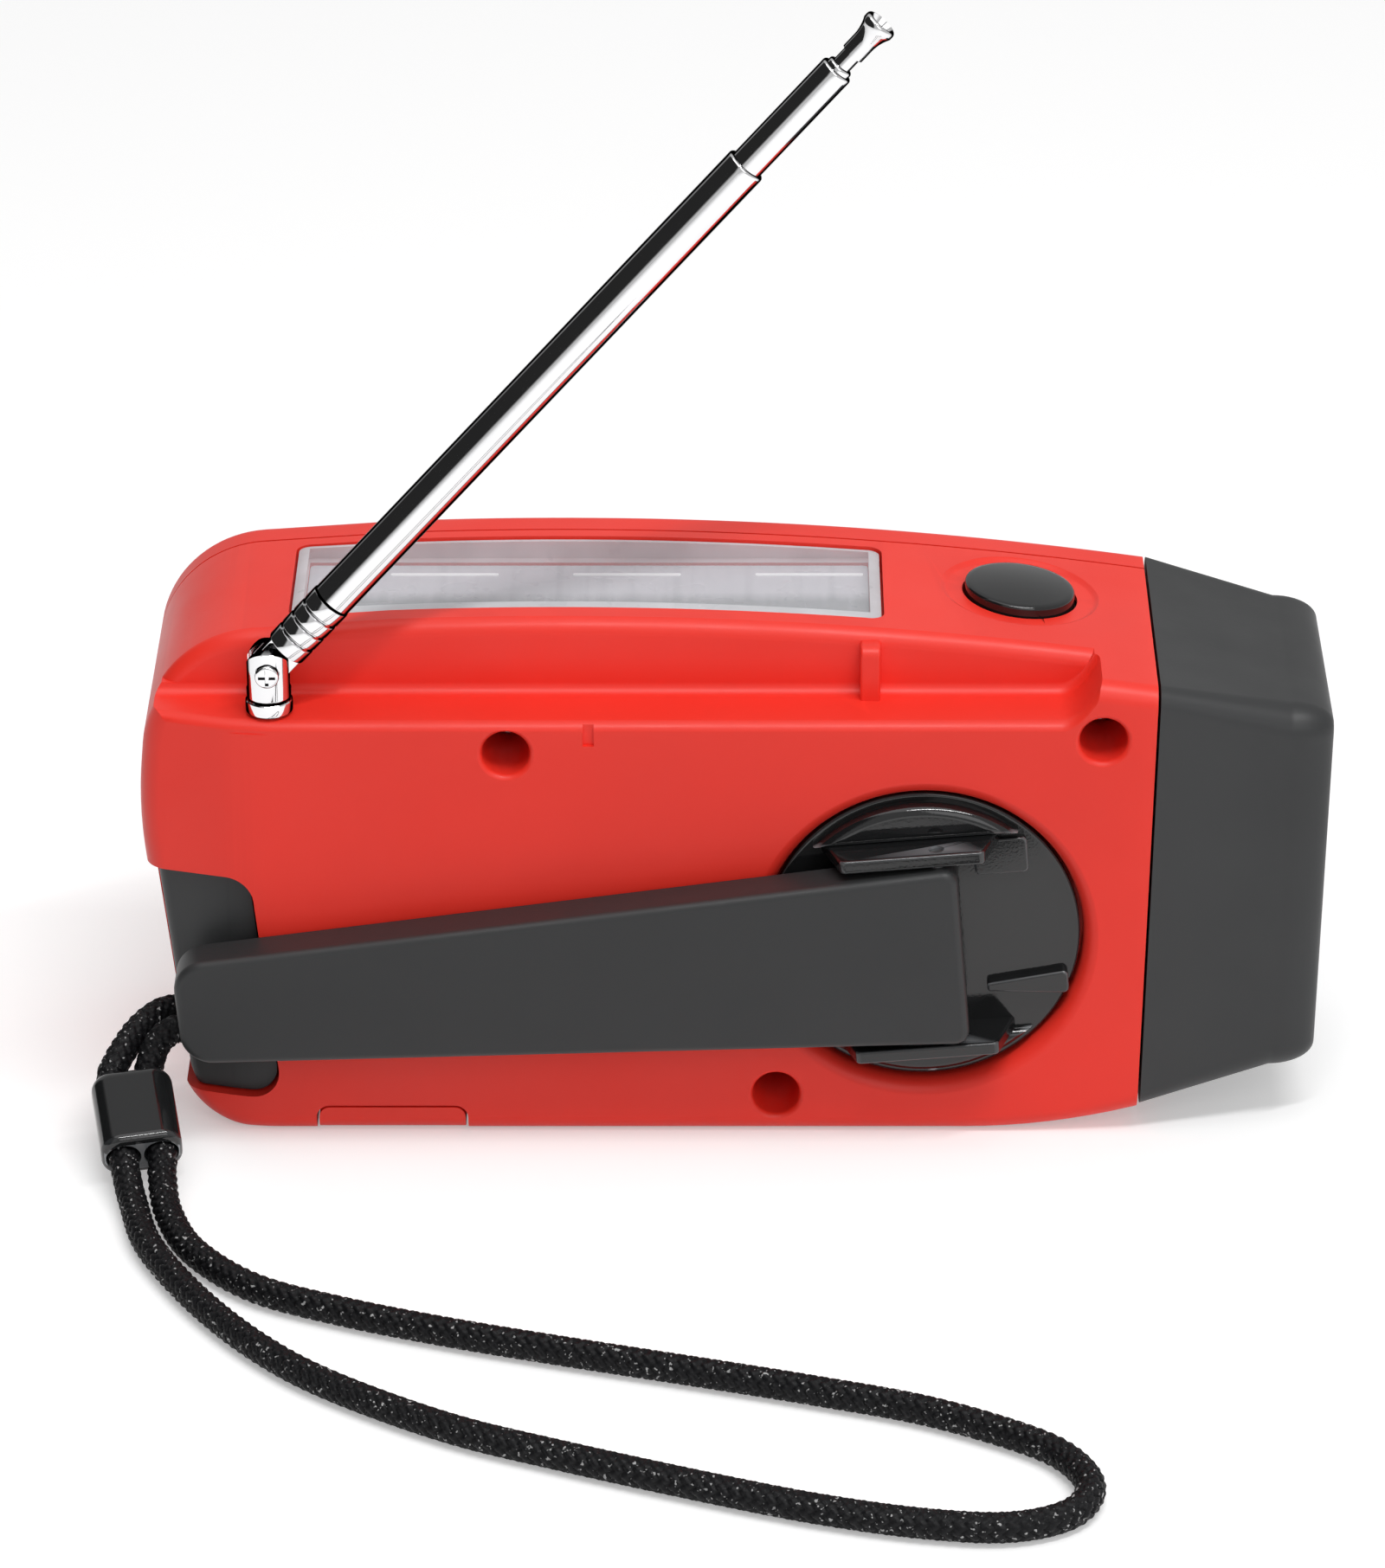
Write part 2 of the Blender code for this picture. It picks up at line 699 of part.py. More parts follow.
def axis_frame(name, place, turn=(0, 0, 0), parent=None):
    """Empty that stands on a joint's axis."""
    frame = bpy.data.objects.new(name, None)
    bpy.context.scene.collection.objects.link(frame)
    frame.parent = parent
    frame.location = place
    frame.rotation_euler = turn
    bpy.context.view_layer.update()
    return frame


def on_frame(item, frame):
    """Hang an object that was modelled in a frame's own coordinates on that frame."""
    item.parent = frame
    return item


# Casing
def crown_z(x):
    """Height of the crowned top at x."""
    return CROWN_Z - (x - CROWN_X) ** 2 / (2 * CROWN_RADIUS)


def rise_z(x):
    """Height of the underside at x, right of the flat foot."""
    return (x - CASE_FOOT_RIGHT_X) ** 2 / (2 * CASE_RISE_RADIUS)


def case_outline():
    """Side view of the casing in X and Z, run on past the head seam."""
    run_x = HEAD_SEAM_X + OVERRUN
    top_x = CASE_TOP_LEFT_X + 2 * CASE_TOP_RADIUS
    corners = [(CASE_FOOT_LEFT_X, 0, CASE_FOOT_RADIUS)]
    for k in range(RISE_STEPS + 1):
        x = CASE_FOOT_RIGHT_X + (run_x - CASE_FOOT_RIGHT_X) * k / RISE_STEPS
        corners.append((x, rise_z(x), 0))
    for k in range(CROWN_STEPS + 1):
        x = run_x + (top_x - run_x) * k / CROWN_STEPS
        corners.append((x, crown_z(x), 0))
    corners.append((CASE_TOP_LEFT_X, crown_z(CASE_TOP_LEFT_X), CASE_TOP_RADIUS))
    corners.append((CASE_LEFT_X, CASE_LEFT_Z, CASE_LEFT_RADIUS))
    return filleted(corners, RIM_STEPS + 1)


def case_block(depth, right_x):
    """The casing's full solid, a depth below its outside, cut off at right_x."""
    outline = case_outline()
    radius = CASE_RIM_RADIUS - depth if depth < CASE_RIM_RADIUS else 0
    back = []
    front = []
    for k in range(RIM_STEPS + 1):
        turn = pi / 2 * k / RIM_STEPS
        level = inset(outline, depth + radius * (1 - sin(turn)))
        back.append((level, CASE_BACK_Y + depth + radius * (1 - cos(turn))))
        front.append((level, CASE_FRONT_Y - depth - radius * (1 - cos(turn))))
    mesh = stacked(back + front[::-1], "Y")
    slope = Vector((CREASE_X - CASE_LEFT_X, -CREASE_DROP, 0)).normalized()
    outward = Vector((slope.y, -slope.x, 0))
    crease = Vector((CREASE_X, CASE_BACK_Y, 0)) - outward * depth
    mesh = sliced(mesh, crease, outward)
    return sliced(mesh, (right_x, 0, crown_z(HEAD_SEAM_X)), (1, 0, -tan(SEAM_LEAN)))


def groove_cutter():
    """Space of the antenna groove, open to the left, with round edges at its mouth."""
    left_x = CASE_LEFT_X - OVERRUN
    flare = LEDGE_EDGE_RADIUS
    lip = LEDGE_CORNER_RADIUS
    levels = []
    stations = [left_x] + [CASE_TOP_LEFT_X + (LEDGE_END_X - CASE_TOP_LEFT_X) * k / CROWN_STEPS
                           for k in range(1, CROWN_STEPS)]
    stations += [LEDGE_END_X, LEDGE_END_X + LEDGE_END_RUN / 2, LEDGE_END_X + LEDGE_END_RUN]
    lifts = [0] * CROWN_STEPS + [0, LEDGE_END_RISE / 3, LEDGE_END_RISE]
    for x, lift in zip(stations, lifts):
        floor = LEDGE_Z + lift
        brow = max(crown_z(max(x, CASE_TOP_LEFT_X)) - flare, floor + flare)
        section = [
            (CASE_BACK_Y - OVERRUN, floor - lip - OVERRUN / 2),
            (CASE_BACK_Y + lip / 5, floor - lip),
            (CASE_BACK_Y + lip, floor),
            (LEDGE_WALL_Y - flare, floor),
            (LEDGE_WALL_Y, floor + flare / 2),
            (LEDGE_WALL_Y, brow),
            (LEDGE_WALL_Y + flare / 3, brow + flare * 2 / 3),
            (LEDGE_WALL_Y + flare, brow + flare + OVERRUN / 10),
            (LEDGE_WALL_Y + flare, CROWN_Z + OVERRUN),
            (CASE_BACK_Y - OVERRUN, CROWN_Z + OVERRUN),
        ]
        levels.append((section, x))
    return stacked(levels, "X")


def screw_well(place):
    """Well of a case screw with a flared mouth."""
    profile = [(0, CASE_BACK_Y - OVERRUN), (WELL_RADIUS + WELL_EDGE, CASE_BACK_Y - OVERRUN),
               (WELL_RADIUS + WELL_EDGE, CASE_BACK_Y), (WELL_RADIUS, CASE_BACK_Y + WELL_EDGE),
               (WELL_RADIUS, WELL_FLOOR_Y), (0, WELL_FLOOR_Y)]
    return turned(profile, "Y", place, SIDES)


def inlay_outline(margin):
    """Side view of the left end's inlay, larger by a margin."""
    left_x = CASE_LEFT_X - OVERRUN
    corners = [(left_x, INLAY_LOW_Z, 0), (INLAY_LOW_X, INLAY_LOW_Z, INLAY_CORNER),
               (INLAY_TOP_X, INLAY_TOP_Z, INLAY_CORNER), (left_x, INLAY_TOP_Z, 0)]
    return inset(filleted(corners), -margin)


def solar_outline(margin):
    """Top view of the solar window, larger by a margin."""
    half = SOLAR_WIDTH / 2
    window = rounded_box(SOLAR_LEFT_X, SOLAR_RIGHT_X, SOLAR_Y - half, SOLAR_Y + half, SOLAR_CORNER, 2)
    return inset(window, -margin)


def solar_tray_z():
    """Height of the floor that the solar cell lies on."""
    return SOLAR_COVER_UNDER_Z - SOLAR_CELL_THICK - 2 * GAP


def port_outline(margin):
    """Back view of the socket cover in X and Z, larger by a margin."""
    low_z = -OVERRUN
    corners = [(PORT_LEFT_X, low_z, 0), (PORT_RIGHT_X, low_z, 0),
               (PORT_RIGHT_X, PORT_TOP_Z, PORT_CORNER), (PORT_LEFT_X, PORT_TOP_Z, PORT_CORNER)]
    return inset(filleted(corners, 2), -margin)


def switch_seat_z():
    """Floor of the pocket that holds the torch switch."""
    return BUTTON_DISH_Z - BUTTON_WELL_DEPTH - SWITCH_POCKET_DEPTH


def idler_place():
    """Axis of the intermediate gear in X and Z."""
    reach = FIRST_MODULE * (DRIVE_TEETH + IDLER_PINION_TEETH) / 2
    return (HUB_X + reach * cos(IDLER_BEARING), HUB_Z + reach * sin(IDLER_BEARING))


def axle_start_y():
    """Back end of the intermediate gear's axle, in the recess's floor."""
    return HUB_RECESS_Y + HUB_RECESS_WALL / 2


def rotor_place():
    """Axis of the generator in X and Z."""
    reach = SECOND_MODULE * (IDLER_GEAR_TEETH + ROTOR_TEETH) / 2
    x, z = idler_place()
    return (x + reach * cos(ROTOR_BEARING), z + reach * sin(ROTOR_BEARING))


def case_cavity():
    """Hollow of the casing, less all that its walls thicken to."""
    hollow = new_object("cavity", case_block(CASE_WALL, HEAD_SEAM_X - CASE_WALL))
    far_x = CASE_LEFT_X - OVERRUN
    cut(hollow, box((far_x, CASE_BACK_Y, LEDGE_Z - CASE_WALL),
                    (HEAD_SEAM_X, LEDGE_WALL_Y + CASE_WALL, CROWN_Z)))
    cut(hollow, rod(HUB_RECESS_RADIUS + HUB_RECESS_WALL, CASE_BACK_Y, HUB_RECESS_Y + HUB_RECESS_WALL,
                    "Y", (HUB_X, HUB_Z), FINE_SIDES))
    pocket_wall = GAP + INLAY_POCKET_WALL
    cut(hollow, prism(inlay_outline(pocket_wall), CASE_BACK_Y, INLAY_FRONT_Y + pocket_wall))
    for place in SCREW_PLACES.values():
        cut(hollow, rod(WELL_RADIUS + WELL_WALL, CASE_BACK_Y, WELL_FLOOR_Y + WELL_FLOOR_THICK, "Y", place))
    cut(hollow, prism(solar_outline(GAP + SOLAR_TRAY_WALL), solar_tray_z() - SOLAR_TRAY_WALL, CROWN_Z, "Z"))
    well = BUTTON_RADIUS + BUTTON_FLANGE + GAP + SWITCH_POCKET_WALL
    well_low_z = BUTTON_DISH_Z - BUTTON_WELL_DEPTH - SWITCH_POCKET_WALL
    pocket = SWITCH_POCKET_RADIUS + SWITCH_POCKET_WALL
    place = (BUTTON_X, BUTTON_Y)
    cut(hollow, rod(well, well_low_z, CROWN_Z, "Z", place, FINE_SIDES))
    cut(hollow, rod(pocket, switch_seat_z() - SWITCH_POCKET_WALL, CROWN_Z, "Z", place, FINE_SIDES))
    for place in POST_PLACES.values():
        cut(hollow, rod(POST_RADIUS, CASE_BACK_Y, PLATE_BACK_Y - GAP, "Y", place))
    cut(hollow, rod(AXLE_BOSS_RADIUS, CASE_BACK_Y, DRIVE_BACK_Y - GAP, "Y", idler_place()))
    return hollow


def cradle_places():
    """X of each rib under the battery cells."""
    spots = []
    for k in range(2):
        left_x = battery_left_x(k)
        spots += [left_x + CRADLE_INSET, left_x + BATTERY_LENGTH - CRADLE_INSET]
    return spots


def battery_left_x(index):
    """Left end of one battery cell."""
    return BATTERY_LEFT_X + index * (BATTERY_LENGTH + BATTERY_CAP_HEIGHT + GAP)


def back_shell():
    """The red back shell, with groove, hub recess, wells, tray, ribs and posts."""
    half_gap = GAP / 2
    shell = new_object("back_shell", case_block(0, HEAD_SEAM_X - half_gap))
    hollow = case_cavity()
    tool = bmesh.new()
    tool.from_mesh(hollow.data)
    bpy.data.objects.remove(hollow)
    cut(shell, tool)
    far_x = CASE_LEFT_X - OVERRUN
    cut(shell, box((far_x, SHELL_SEAM_Y - half_gap, -OVERRUN),
                   (HEAD_SEAM_X + OVERRUN, CASE_FRONT_Y + OVERRUN, CROWN_Z + OVERRUN)))
    cut(shell, groove_cutter())
    join(shell, antenna_clip())
    notch_left_x = NOTCH_X - NOTCH_WIDTH / 2
    notch_right_x = NOTCH_X + NOTCH_WIDTH / 2
    cut(shell, box((notch_left_x, CASE_BACK_Y - OVERRUN, LEDGE_Z - NOTCH_DROP),
                   (notch_right_x, CASE_BACK_Y + NOTCH_DEPTH, LEDGE_Z + NOTCH_DROP)))
    for place in SCREW_PLACES.values():
        cut(shell, screw_well(place))
        cut(shell, rod(SCREW_RADIUS + GAP, WELL_FLOOR_Y - GAP, WELL_FLOOR_Y + WELL_FLOOR_THICK + OVERRUN,
                       "Y", place))
    rim = HUB_RECESS_RADIUS + HUB_RIM_EDGE
    recess = [(0, CASE_BACK_Y - OVERRUN), (rim, CASE_BACK_Y - OVERRUN), (rim, CASE_BACK_Y),
              (HUB_RECESS_RADIUS, CASE_BACK_Y + HUB_RIM_EDGE), (HUB_RECESS_RADIUS, HUB_RECESS_Y),
              (0, HUB_RECESS_Y)]
    cut(shell, turned(recess, "Y", (HUB_X, HUB_Z), FINE_SIDES))
    cut(shell, rod(BUSH_RADIUS + RUNNING, HUB_RECESS_Y - GAP, HUB_RECESS_Y + HUB_RECESS_WALL + OVERRUN,
                   "Y", (HUB_X, HUB_Z)))
    cut(shell, prism(inlay_outline(GAP), CASE_BACK_Y - OVERRUN, INLAY_FRONT_Y + GAP))
    cut(shell, prism(solar_outline(GAP), solar_tray_z(), CROWN_Z + OVERRUN, "Z"))
    place = (BUTTON_X, BUTTON_Y)
    cut(shell, rod(BUTTON_DISH_RADIUS, BUTTON_DISH_Z, CROWN_Z + OVERRUN, "Z", place, FINE_SIDES))
    flange = BUTTON_RADIUS + BUTTON_FLANGE + GAP
    well_low_z = BUTTON_DISH_Z - BUTTON_WELL_DEPTH
    cut(shell, rod(BUTTON_RADIUS + GAP, well_low_z, CROWN_Z + OVERRUN, "Z", place, FINE_SIDES))
    cut(shell, rod(flange, well_low_z, BUTTON_DISH_Z - BUTTON_WELL_WALL, "Z", place, FINE_SIDES))
    cut(shell, rod(SWITCH_POCKET_RADIUS, switch_seat_z(), well_low_z + GAP, "Z", place, FINE_SIDES))
    cut(shell, rod(FOOT_STEM_RADIUS + RUNNING, LEDGE_Z - CASE_WALL - OVERRUN, LEDGE_Z + OVERRUN, "Z",
                   (ANTENNA_X, ANTENNA_Y)))
    cut(shell, prism(port_outline(GAP), CASE_BACK_Y - OVERRUN, PORT_HINGE_Y + GAP))
    cut(shell, rod(IDLER_AXLE_RADIUS + RUNNING, axle_start_y() - GAP, PLATE_BACK_Y, "Y", idler_place()))
    for x in cradle_places():
        rib = box((x - CRADLE_THICK / 2, PORT_HINGE_Y + 2 * GAP, CASE_WALL / 2),
                  (x + CRADLE_THICK / 2, BATTERY_Y + BATTERY_RADIUS, BATTERY_Z - CRADLE_REACH))
        join(shell, rib)
    cut(shell, rod(BATTERY_RADIUS + GAP, BATTERY_LEFT_X - OVERRUN, battery_left_x(2), "X",
                   (BATTERY_Y, BATTERY_Z), FINE_SIDES))
    for x in (FERRITE_LEFT_X + SADDLE_THICK, SADDLE_RIGHT_X):
        join(shell, ferrite_saddle(x))
    cut(shell, rod(FERRITE_RADIUS + GAP, FERRITE_LEFT_X - GAP, SADDLE_RIGHT_X + OVERRUN, "X",
                   (FERRITE_Y, FERRITE_Z)))
    return finished(shell, "red_plastic")


def antenna_clip():
    """Snap rib on the groove's wall that holds the folded antenna."""
    left_x = CLIP_X - CLIP_WIDTH / 2
    outline = filleted([(LEDGE_WALL_Y - CLIP_DEPTH, LEDGE_Z - GAP, 0), (LEDGE_WALL_Y + GAP, LEDGE_Z - GAP, 0),
                        (LEDGE_WALL_Y + GAP, LEDGE_Z + CLIP_HEIGHT, 0),
                        (LEDGE_WALL_Y - CLIP_DEPTH, LEDGE_Z + CLIP_HEIGHT, CLIP_DEPTH / 2)])
    return prism(outline, left_x, left_x + CLIP_WIDTH, "X")


def ferrite_saddle(x):
    """Hanger under the tray that holds the ferrite rod."""
    half = FERRITE_RADIUS + SADDLE_THICK
    return box((x - SADDLE_THICK / 2, FERRITE_Y - half, FERRITE_Z - SADDLE_THICK / 2),
               (x + SADDLE_THICK / 2, FERRITE_Y + half, solar_tray_z() - SOLAR_TRAY_WALL / 2))


def grille_slots():
    """Slots of the loudspeaker grille."""
    slots = []
    for k in range(GRILLE_ROWS):
        z = (k - (GRILLE_ROWS - 1) / 2) * GRILLE_PITCH
        half = sqrt(GRILLE_RADIUS ** 2 - z ** 2)
        centre_z = SPEAKER_Z + z
        outline = rounded_box(SPEAKER_X - half, SPEAKER_X + half, centre_z - GRILLE_SLOT / 2,
                              centre_z + GRILLE_SLOT / 2, GRILLE_SLOT * SLOT_END_SHARE, 1)
        slots.append(prism(outline, CASE_FRONT_Y - CASE_WALL - OVERRUN, CASE_FRONT_Y + OVERRUN))
    return slots


def front_shell():
    """The red front shell, with grille, control holes, screw pillars and board posts."""
    half_gap = GAP / 2
    shell = new_object("front_shell", case_block(0, HEAD_SEAM_X - half_gap))
    cut(shell, case_block(CASE_WALL, HEAD_SEAM_X - CASE_WALL))
    cut(shell, box((CASE_LEFT_X - OVERRUN, CASE_BACK_Y - OVERRUN, -OVERRUN),
                   (HEAD_SEAM_X + OVERRUN, SHELL_SEAM_Y + half_gap, CROWN_Z + OVERRUN)))
    inside_y = CASE_FRONT_Y - CASE_WALL / 2
    for place in SCREW_PLACES.values():
        join(shell, rod(PILLAR_RADIUS, WELL_FLOOR_Y + WELL_FLOOR_THICK + GAP, inside_y, "Y", place))
        cut(shell, rod(SCREW_RADIUS + RUNNING, WELL_FLOOR_Y, WELL_FLOOR_Y + SCREW_LENGTH + GAP, "Y", place))
    for place in board_posts():
        join(shell, rod(BOARD_POST_RADIUS, BOARD_BACK_Y + BOARD_THICK + GAP, inside_y, "Y", place))
    cut(shell, *grille_slots())
    out_y = CASE_FRONT_Y + OVERRUN
    in_y = CASE_FRONT_Y - CASE_WALL - OVERRUN
    cut(shell, rod(DIAL_STEM_RADIUS + GAP, in_y, out_y, "Y", (DIAL_X, DIAL_Z)))
    cut(shell, rod(VOLUME_STEM_RADIUS + GAP, in_y, out_y, "Y", (VOLUME_X, VOLUME_Z)))
    half_x = BAND_STEM_WIDTH / 2 + GAP
    slot_low_z = BAND_Z - BAND_STEM_LENGTH / 2 - GAP
    slot_high_z = BAND_Z + BAND_STEM_LENGTH / 2 + BAND_TRAVEL + GAP
    cut(shell, box((BAND_X - half_x, in_y, slot_low_z), (BAND_X + half_x, out_y, slot_high_z)))
    return finished(shell, "red_plastic")


def board_posts():
    """Posts that carry the main board, in X and Z."""
    left_x = BOARD_LEFT_X + BOARD_POST_INSET
    right_x = BOARD_RIGHT_X - BOARD_POST_INSET
    low_z = BOARD_LOW_Z + BOARD_POST_INSET
    high_z = BOARD_HIGH_Z - BOARD_POST_INSET
    return [(left_x + BOARD_POST_INSET, low_z), (right_x, low_z), (right_x, high_z)]


def case_screws():
    """One screw in each well."""
    for name, place in SCREW_PLACES.items():
        head_y = WELL_FLOOR_Y - SCREW_HEAD_HEIGHT - GAP
        profile = [(0, head_y), (SCREW_HEAD_RADIUS - SCREW_SLOT_DEPTH, head_y),
                   (SCREW_HEAD_RADIUS, head_y + SCREW_SLOT_DEPTH), (SCREW_HEAD_RADIUS, WELL_FLOOR_Y - GAP),
                   (SCREW_RADIUS, WELL_FLOOR_Y - GAP),
                   (SCREW_RADIUS, WELL_FLOOR_Y + SCREW_LENGTH - SCREW_RADIUS),
                   (0, WELL_FLOOR_Y + SCREW_LENGTH)]
        screw = new_object("case_screw_" + name, turned(profile, "Y", place, TUBE_SIDES))
        arm = SCREW_HEAD_RADIUS * SCREW_SLOT_SHARE
        half = SCREW_SLOT_WIDTH / 2
        x, z = place
        for half_x, half_z in ((arm, half), (half, arm)):
            cut(screw, box((x - half_x, head_y - OVERRUN, z - half_z),
                           (x + half_x, head_y + SCREW_SLOT_DEPTH, z + half_z)))
        finished(screw, "steel")


def solar_window():
    """Clear cover that follows the crowned top, and the cell under it."""
    cover = new_object("solar_cover", case_block(0, HEAD_SEAM_X))
    trim(cover, prism(solar_outline(0), SOLAR_COVER_UNDER_Z, CROWN_Z + OVERRUN, "Z"))
    finished(cover, "clear_plastic")
    cell = prism(solar_outline(-SOLAR_CELL_MARGIN), solar_tray_z() + GAP, SOLAR_COVER_UNDER_Z - GAP, "Z")
    piece("solar_cell", cell, "solar_glass")


def torch_button():
    """Domed push button, its switch and the frame on its axis."""
    frame = axis_frame("button_axis", (BUTTON_X, BUTTON_Y, BUTTON_DISH_Z))
    low = -BUTTON_SKIRT
    flange_top = -BUTTON_WELL_WALL - GAP
    flange_low = flange_top - BUTTON_FLANGE
    dome = [(BUTTON_RADIUS * cos(turn), BUTTON_STAND + BUTTON_DOME * sin(turn))
            for turn in [pi / 2 * k / RIM_STEPS for k in range(RIM_STEPS)]]
    profile = [(0, low), (BUTTON_STEM_RADIUS, low), (BUTTON_STEM_RADIUS, flange_low),
               (BUTTON_RADIUS + BUTTON_FLANGE, flange_low), (BUTTON_RADIUS + BUTTON_FLANGE, flange_top),
               (BUTTON_RADIUS, flange_top)] + dome + [(0, BUTTON_STAND + BUTTON_DOME)]
    on_frame(piece("torch_button", turned(profile, "Z", (0, 0), FINE_SIDES), "gloss_black_plastic"), frame)
    half = SWITCH_SIZE / 2
    low_z = switch_seat_z() + GAP
    top_z = BUTTON_DISH_Z - BUTTON_SKIRT - BUTTON_TRAVEL - GAP
    switch = box((BUTTON_X - half, BUTTON_Y - half, low_z), (BUTTON_X + half, BUTTON_Y + half, top_z))
    piece("torch_switch", switch, "steel")


def end_inlay():
    """Dark inlay of the left end, the lanyard bar in its notch."""
    inlay = new_object("end_inlay", case_block(INLAY_DROP, HEAD_SEAM_X))
    trim(inlay, prism(inlay_outline(0), CASE_BACK_Y - OVERRUN, INLAY_FRONT_Y))
    half = LANYARD_NOTCH_HEIGHT / 2
    low_z = LANYARD_NOTCH_Z - half
    high_z = LANYARD_NOTCH_Z + half
    cut(inlay, box((CASE_LEFT_X - OVERRUN, LANYARD_NOTCH_BACK_Y, low_z),
                   (LANYARD_NOTCH_X, LANYARD_NOTCH_FRONT_Y, high_z)))
    seat_low_z = low_z - LANYARD_BAR_SEAT
    seat_high_z = high_z + LANYARD_BAR_SEAT
    place = (LANYARD_BAR_X, (LANYARD_NOTCH_BACK_Y + LANYARD_NOTCH_FRONT_Y) / 2)
    cut(inlay, rod(LANYARD_BAR_RADIUS + RUNNING, seat_low_z, seat_high_z, "Z", place, TUBE_SIDES))
    finished(inlay, "dark_grey_plastic")
    bar = rod(LANYARD_BAR_RADIUS, seat_low_z + RUNNING, seat_high_z - RUNNING, "Z", place, TUBE_SIDES)
    piece("lanyard_bar", bar, "steel")


def port_cover():
    """Flap over the charging socket, hinged along its far edge, and the socket."""
    cover = new_object("port_cover", case_block(PORT_DROP, HEAD_SEAM_X))
    trim(cover, prism(port_outline(0), CASE_BACK_Y - OVERRUN, PORT_HINGE_Y))
    cut(cover, case_block(PORT_DROP + PORT_THICK, HEAD_SEAM_X + OVERRUN))
    frame = axis_frame("port_axis", (PORT_LEFT_X, PORT_HINGE_Y, 0))
    cover.data.transform(Matrix.Translation(-frame.location))
    on_frame(finished(cover, "red_plastic"), frame)
    x = (PORT_LEFT_X + PORT_RIGHT_X) / 2
    low = Vector((x - SOCKET_WIDTH / 2, SOCKET_Y - SOCKET_DEPTH / 2, SOCKET_LOW_Z))
    high = Vector((x + SOCKET_WIDTH / 2, SOCKET_Y + SOCKET_DEPTH / 2, SOCKET_LOW_Z + SOCKET_HEIGHT))
    socket = new_object("charging_socket", box(low, high))
    cut(socket, box((x - SOCKET_MOUTH_WIDTH / 2, SOCKET_Y - SOCKET_MOUTH_DEPTH / 2, SOCKET_LOW_Z - OVERRUN),
                    (x + SOCKET_MOUTH_WIDTH / 2, SOCKET_Y + SOCKET_MOUTH_DEPTH / 2,
                     SOCKET_LOW_Z + SOCKET_MOUTH_REACH)))
    finished(socket, "steel")


# Crank
def segment_outline(radius, inner_z, upper):
    """Part of a disc beyond a chord."""
    side = acos(inner_z / radius)
    middle = pi / 2 if upper else -pi / 2
    return arc((0, 0), radius, middle - side, middle + side, ROUND_STEPS)


def ear_outline():
    """Side view of one ear in X and Y, wider at its root."""
    top = EAR_TOP_Y
    root = HUB_FACE_Y + HUB_EDGE
    return filleted([(EAR_LEFT_X, root, 0), (EAR_LEFT_X + EAR_SLOPE, top, EAR_THICK / 2),
                     (EAR_RIGHT_X - EAR_SLOPE, top, EAR_THICK / 2), (EAR_RIGHT_X, root, 0)], 2)


def across(outline, low, high):
    """Outline in X and Y extruded along Z."""
    return prism(outline, low, high, "Z")


def crank_hub(frame):
    """Glossy hub disc with two ears, pads, channel step and wedge rib."""
    back_y = HUB_RECESS_Y - GAP
    disc = [(0, back_y), (HUB_RADIUS, back_y), (HUB_RADIUS, HUB_FACE_Y + HUB_EDGE),
            (HUB_RADIUS - HUB_EDGE, HUB_FACE_Y), (0, HUB_FACE_Y)]
    hub = new_object("crank_hub", turned(disc, "Y", (0, 0), FINE_SIDES))
    ear_low = ARM_HUB_HALF + GAP
    ear_high = ear_low + EAR_THICK
    embed = HUB_FACE_Y + HUB_EDGE
    pad_radius = HUB_RADIUS - PAD_MARGIN
    for upper, pad_y in ((True, UPPER_PAD_Y), (False, LOWER_PAD_Y)):
        outline = segment_outline(pad_radius, ear_high - GAP, upper)
        levels = [(outline, embed), (outline, pad_y + HUB_EDGE), (inset(outline, HUB_EDGE), pad_y)]
        join(hub, stacked(levels, "Y"))
    join(hub, across(ear_outline(), ear_low, ear_high), across(ear_outline(), -ear_high, -ear_low))
    step_right_x = sqrt(pad_radius ** 2 - ear_low ** 2)
    join(hub, box((CHANNEL_STEP_LEFT_X, HUB_FACE_Y - CHANNEL_STEP_HEIGHT, CHANNEL_STEP_HALF),
                  (step_right_x, embed, ear_low + GAP)))
    wedge = [(WEDGE_LEFT_X, WEDGE_Z - WEDGE_THIN), (WEDGE_RIGHT_X, WEDGE_Z - WEDGE_THICK),
             (WEDGE_RIGHT_X, WEDGE_Z + WEDGE_THICK), (WEDGE_LEFT_X, WEDGE_Z + WEDGE_THIN)]
    crest = inset(wedge, WEDGE_CREST_INSET)
    join(hub, stacked([(wedge, embed), (crest, HUB_FACE_Y - WEDGE_HEIGHT)], "Y"))
    cut(hub, rod(ARM_PIN_RADIUS + RUNNING, -ear_high - OVERRUN, ear_high + OVERRUN, "Z",
                 (ARM_PIN_X, arm_pin_y()), TUBE_SIDES))
    cut(hub, rod(SHAFT_RADIUS + RUNNING, back_y - SHAFT_HUB_DEPTH, back_y + OVERRUN, "Y", (0, 0)))
    return on_frame(finished(hub, "gloss_black_plastic"), frame)


def arm_pin_y():
    """Depth of the arm's pin, in the middle of the arm."""
    return ARM_OUTER_Y + ARM_THICK / 2


def arm_outline():
    """Back view of the arm, tapered to its free end."""
    return filleted([(ARM_LEFT_X, -ARM_FREE_HALF, ARM_END_RADIUS),
                     (ARM_RIGHT_X, -ARM_HUB_HALF, ARM_CORNER_RADIUS),
                     (ARM_RIGHT_X, ARM_HUB_HALF, ARM_CORNER_RADIUS),
                     (ARM_LEFT_X, ARM_FREE_HALF, ARM_END_RADIUS)])


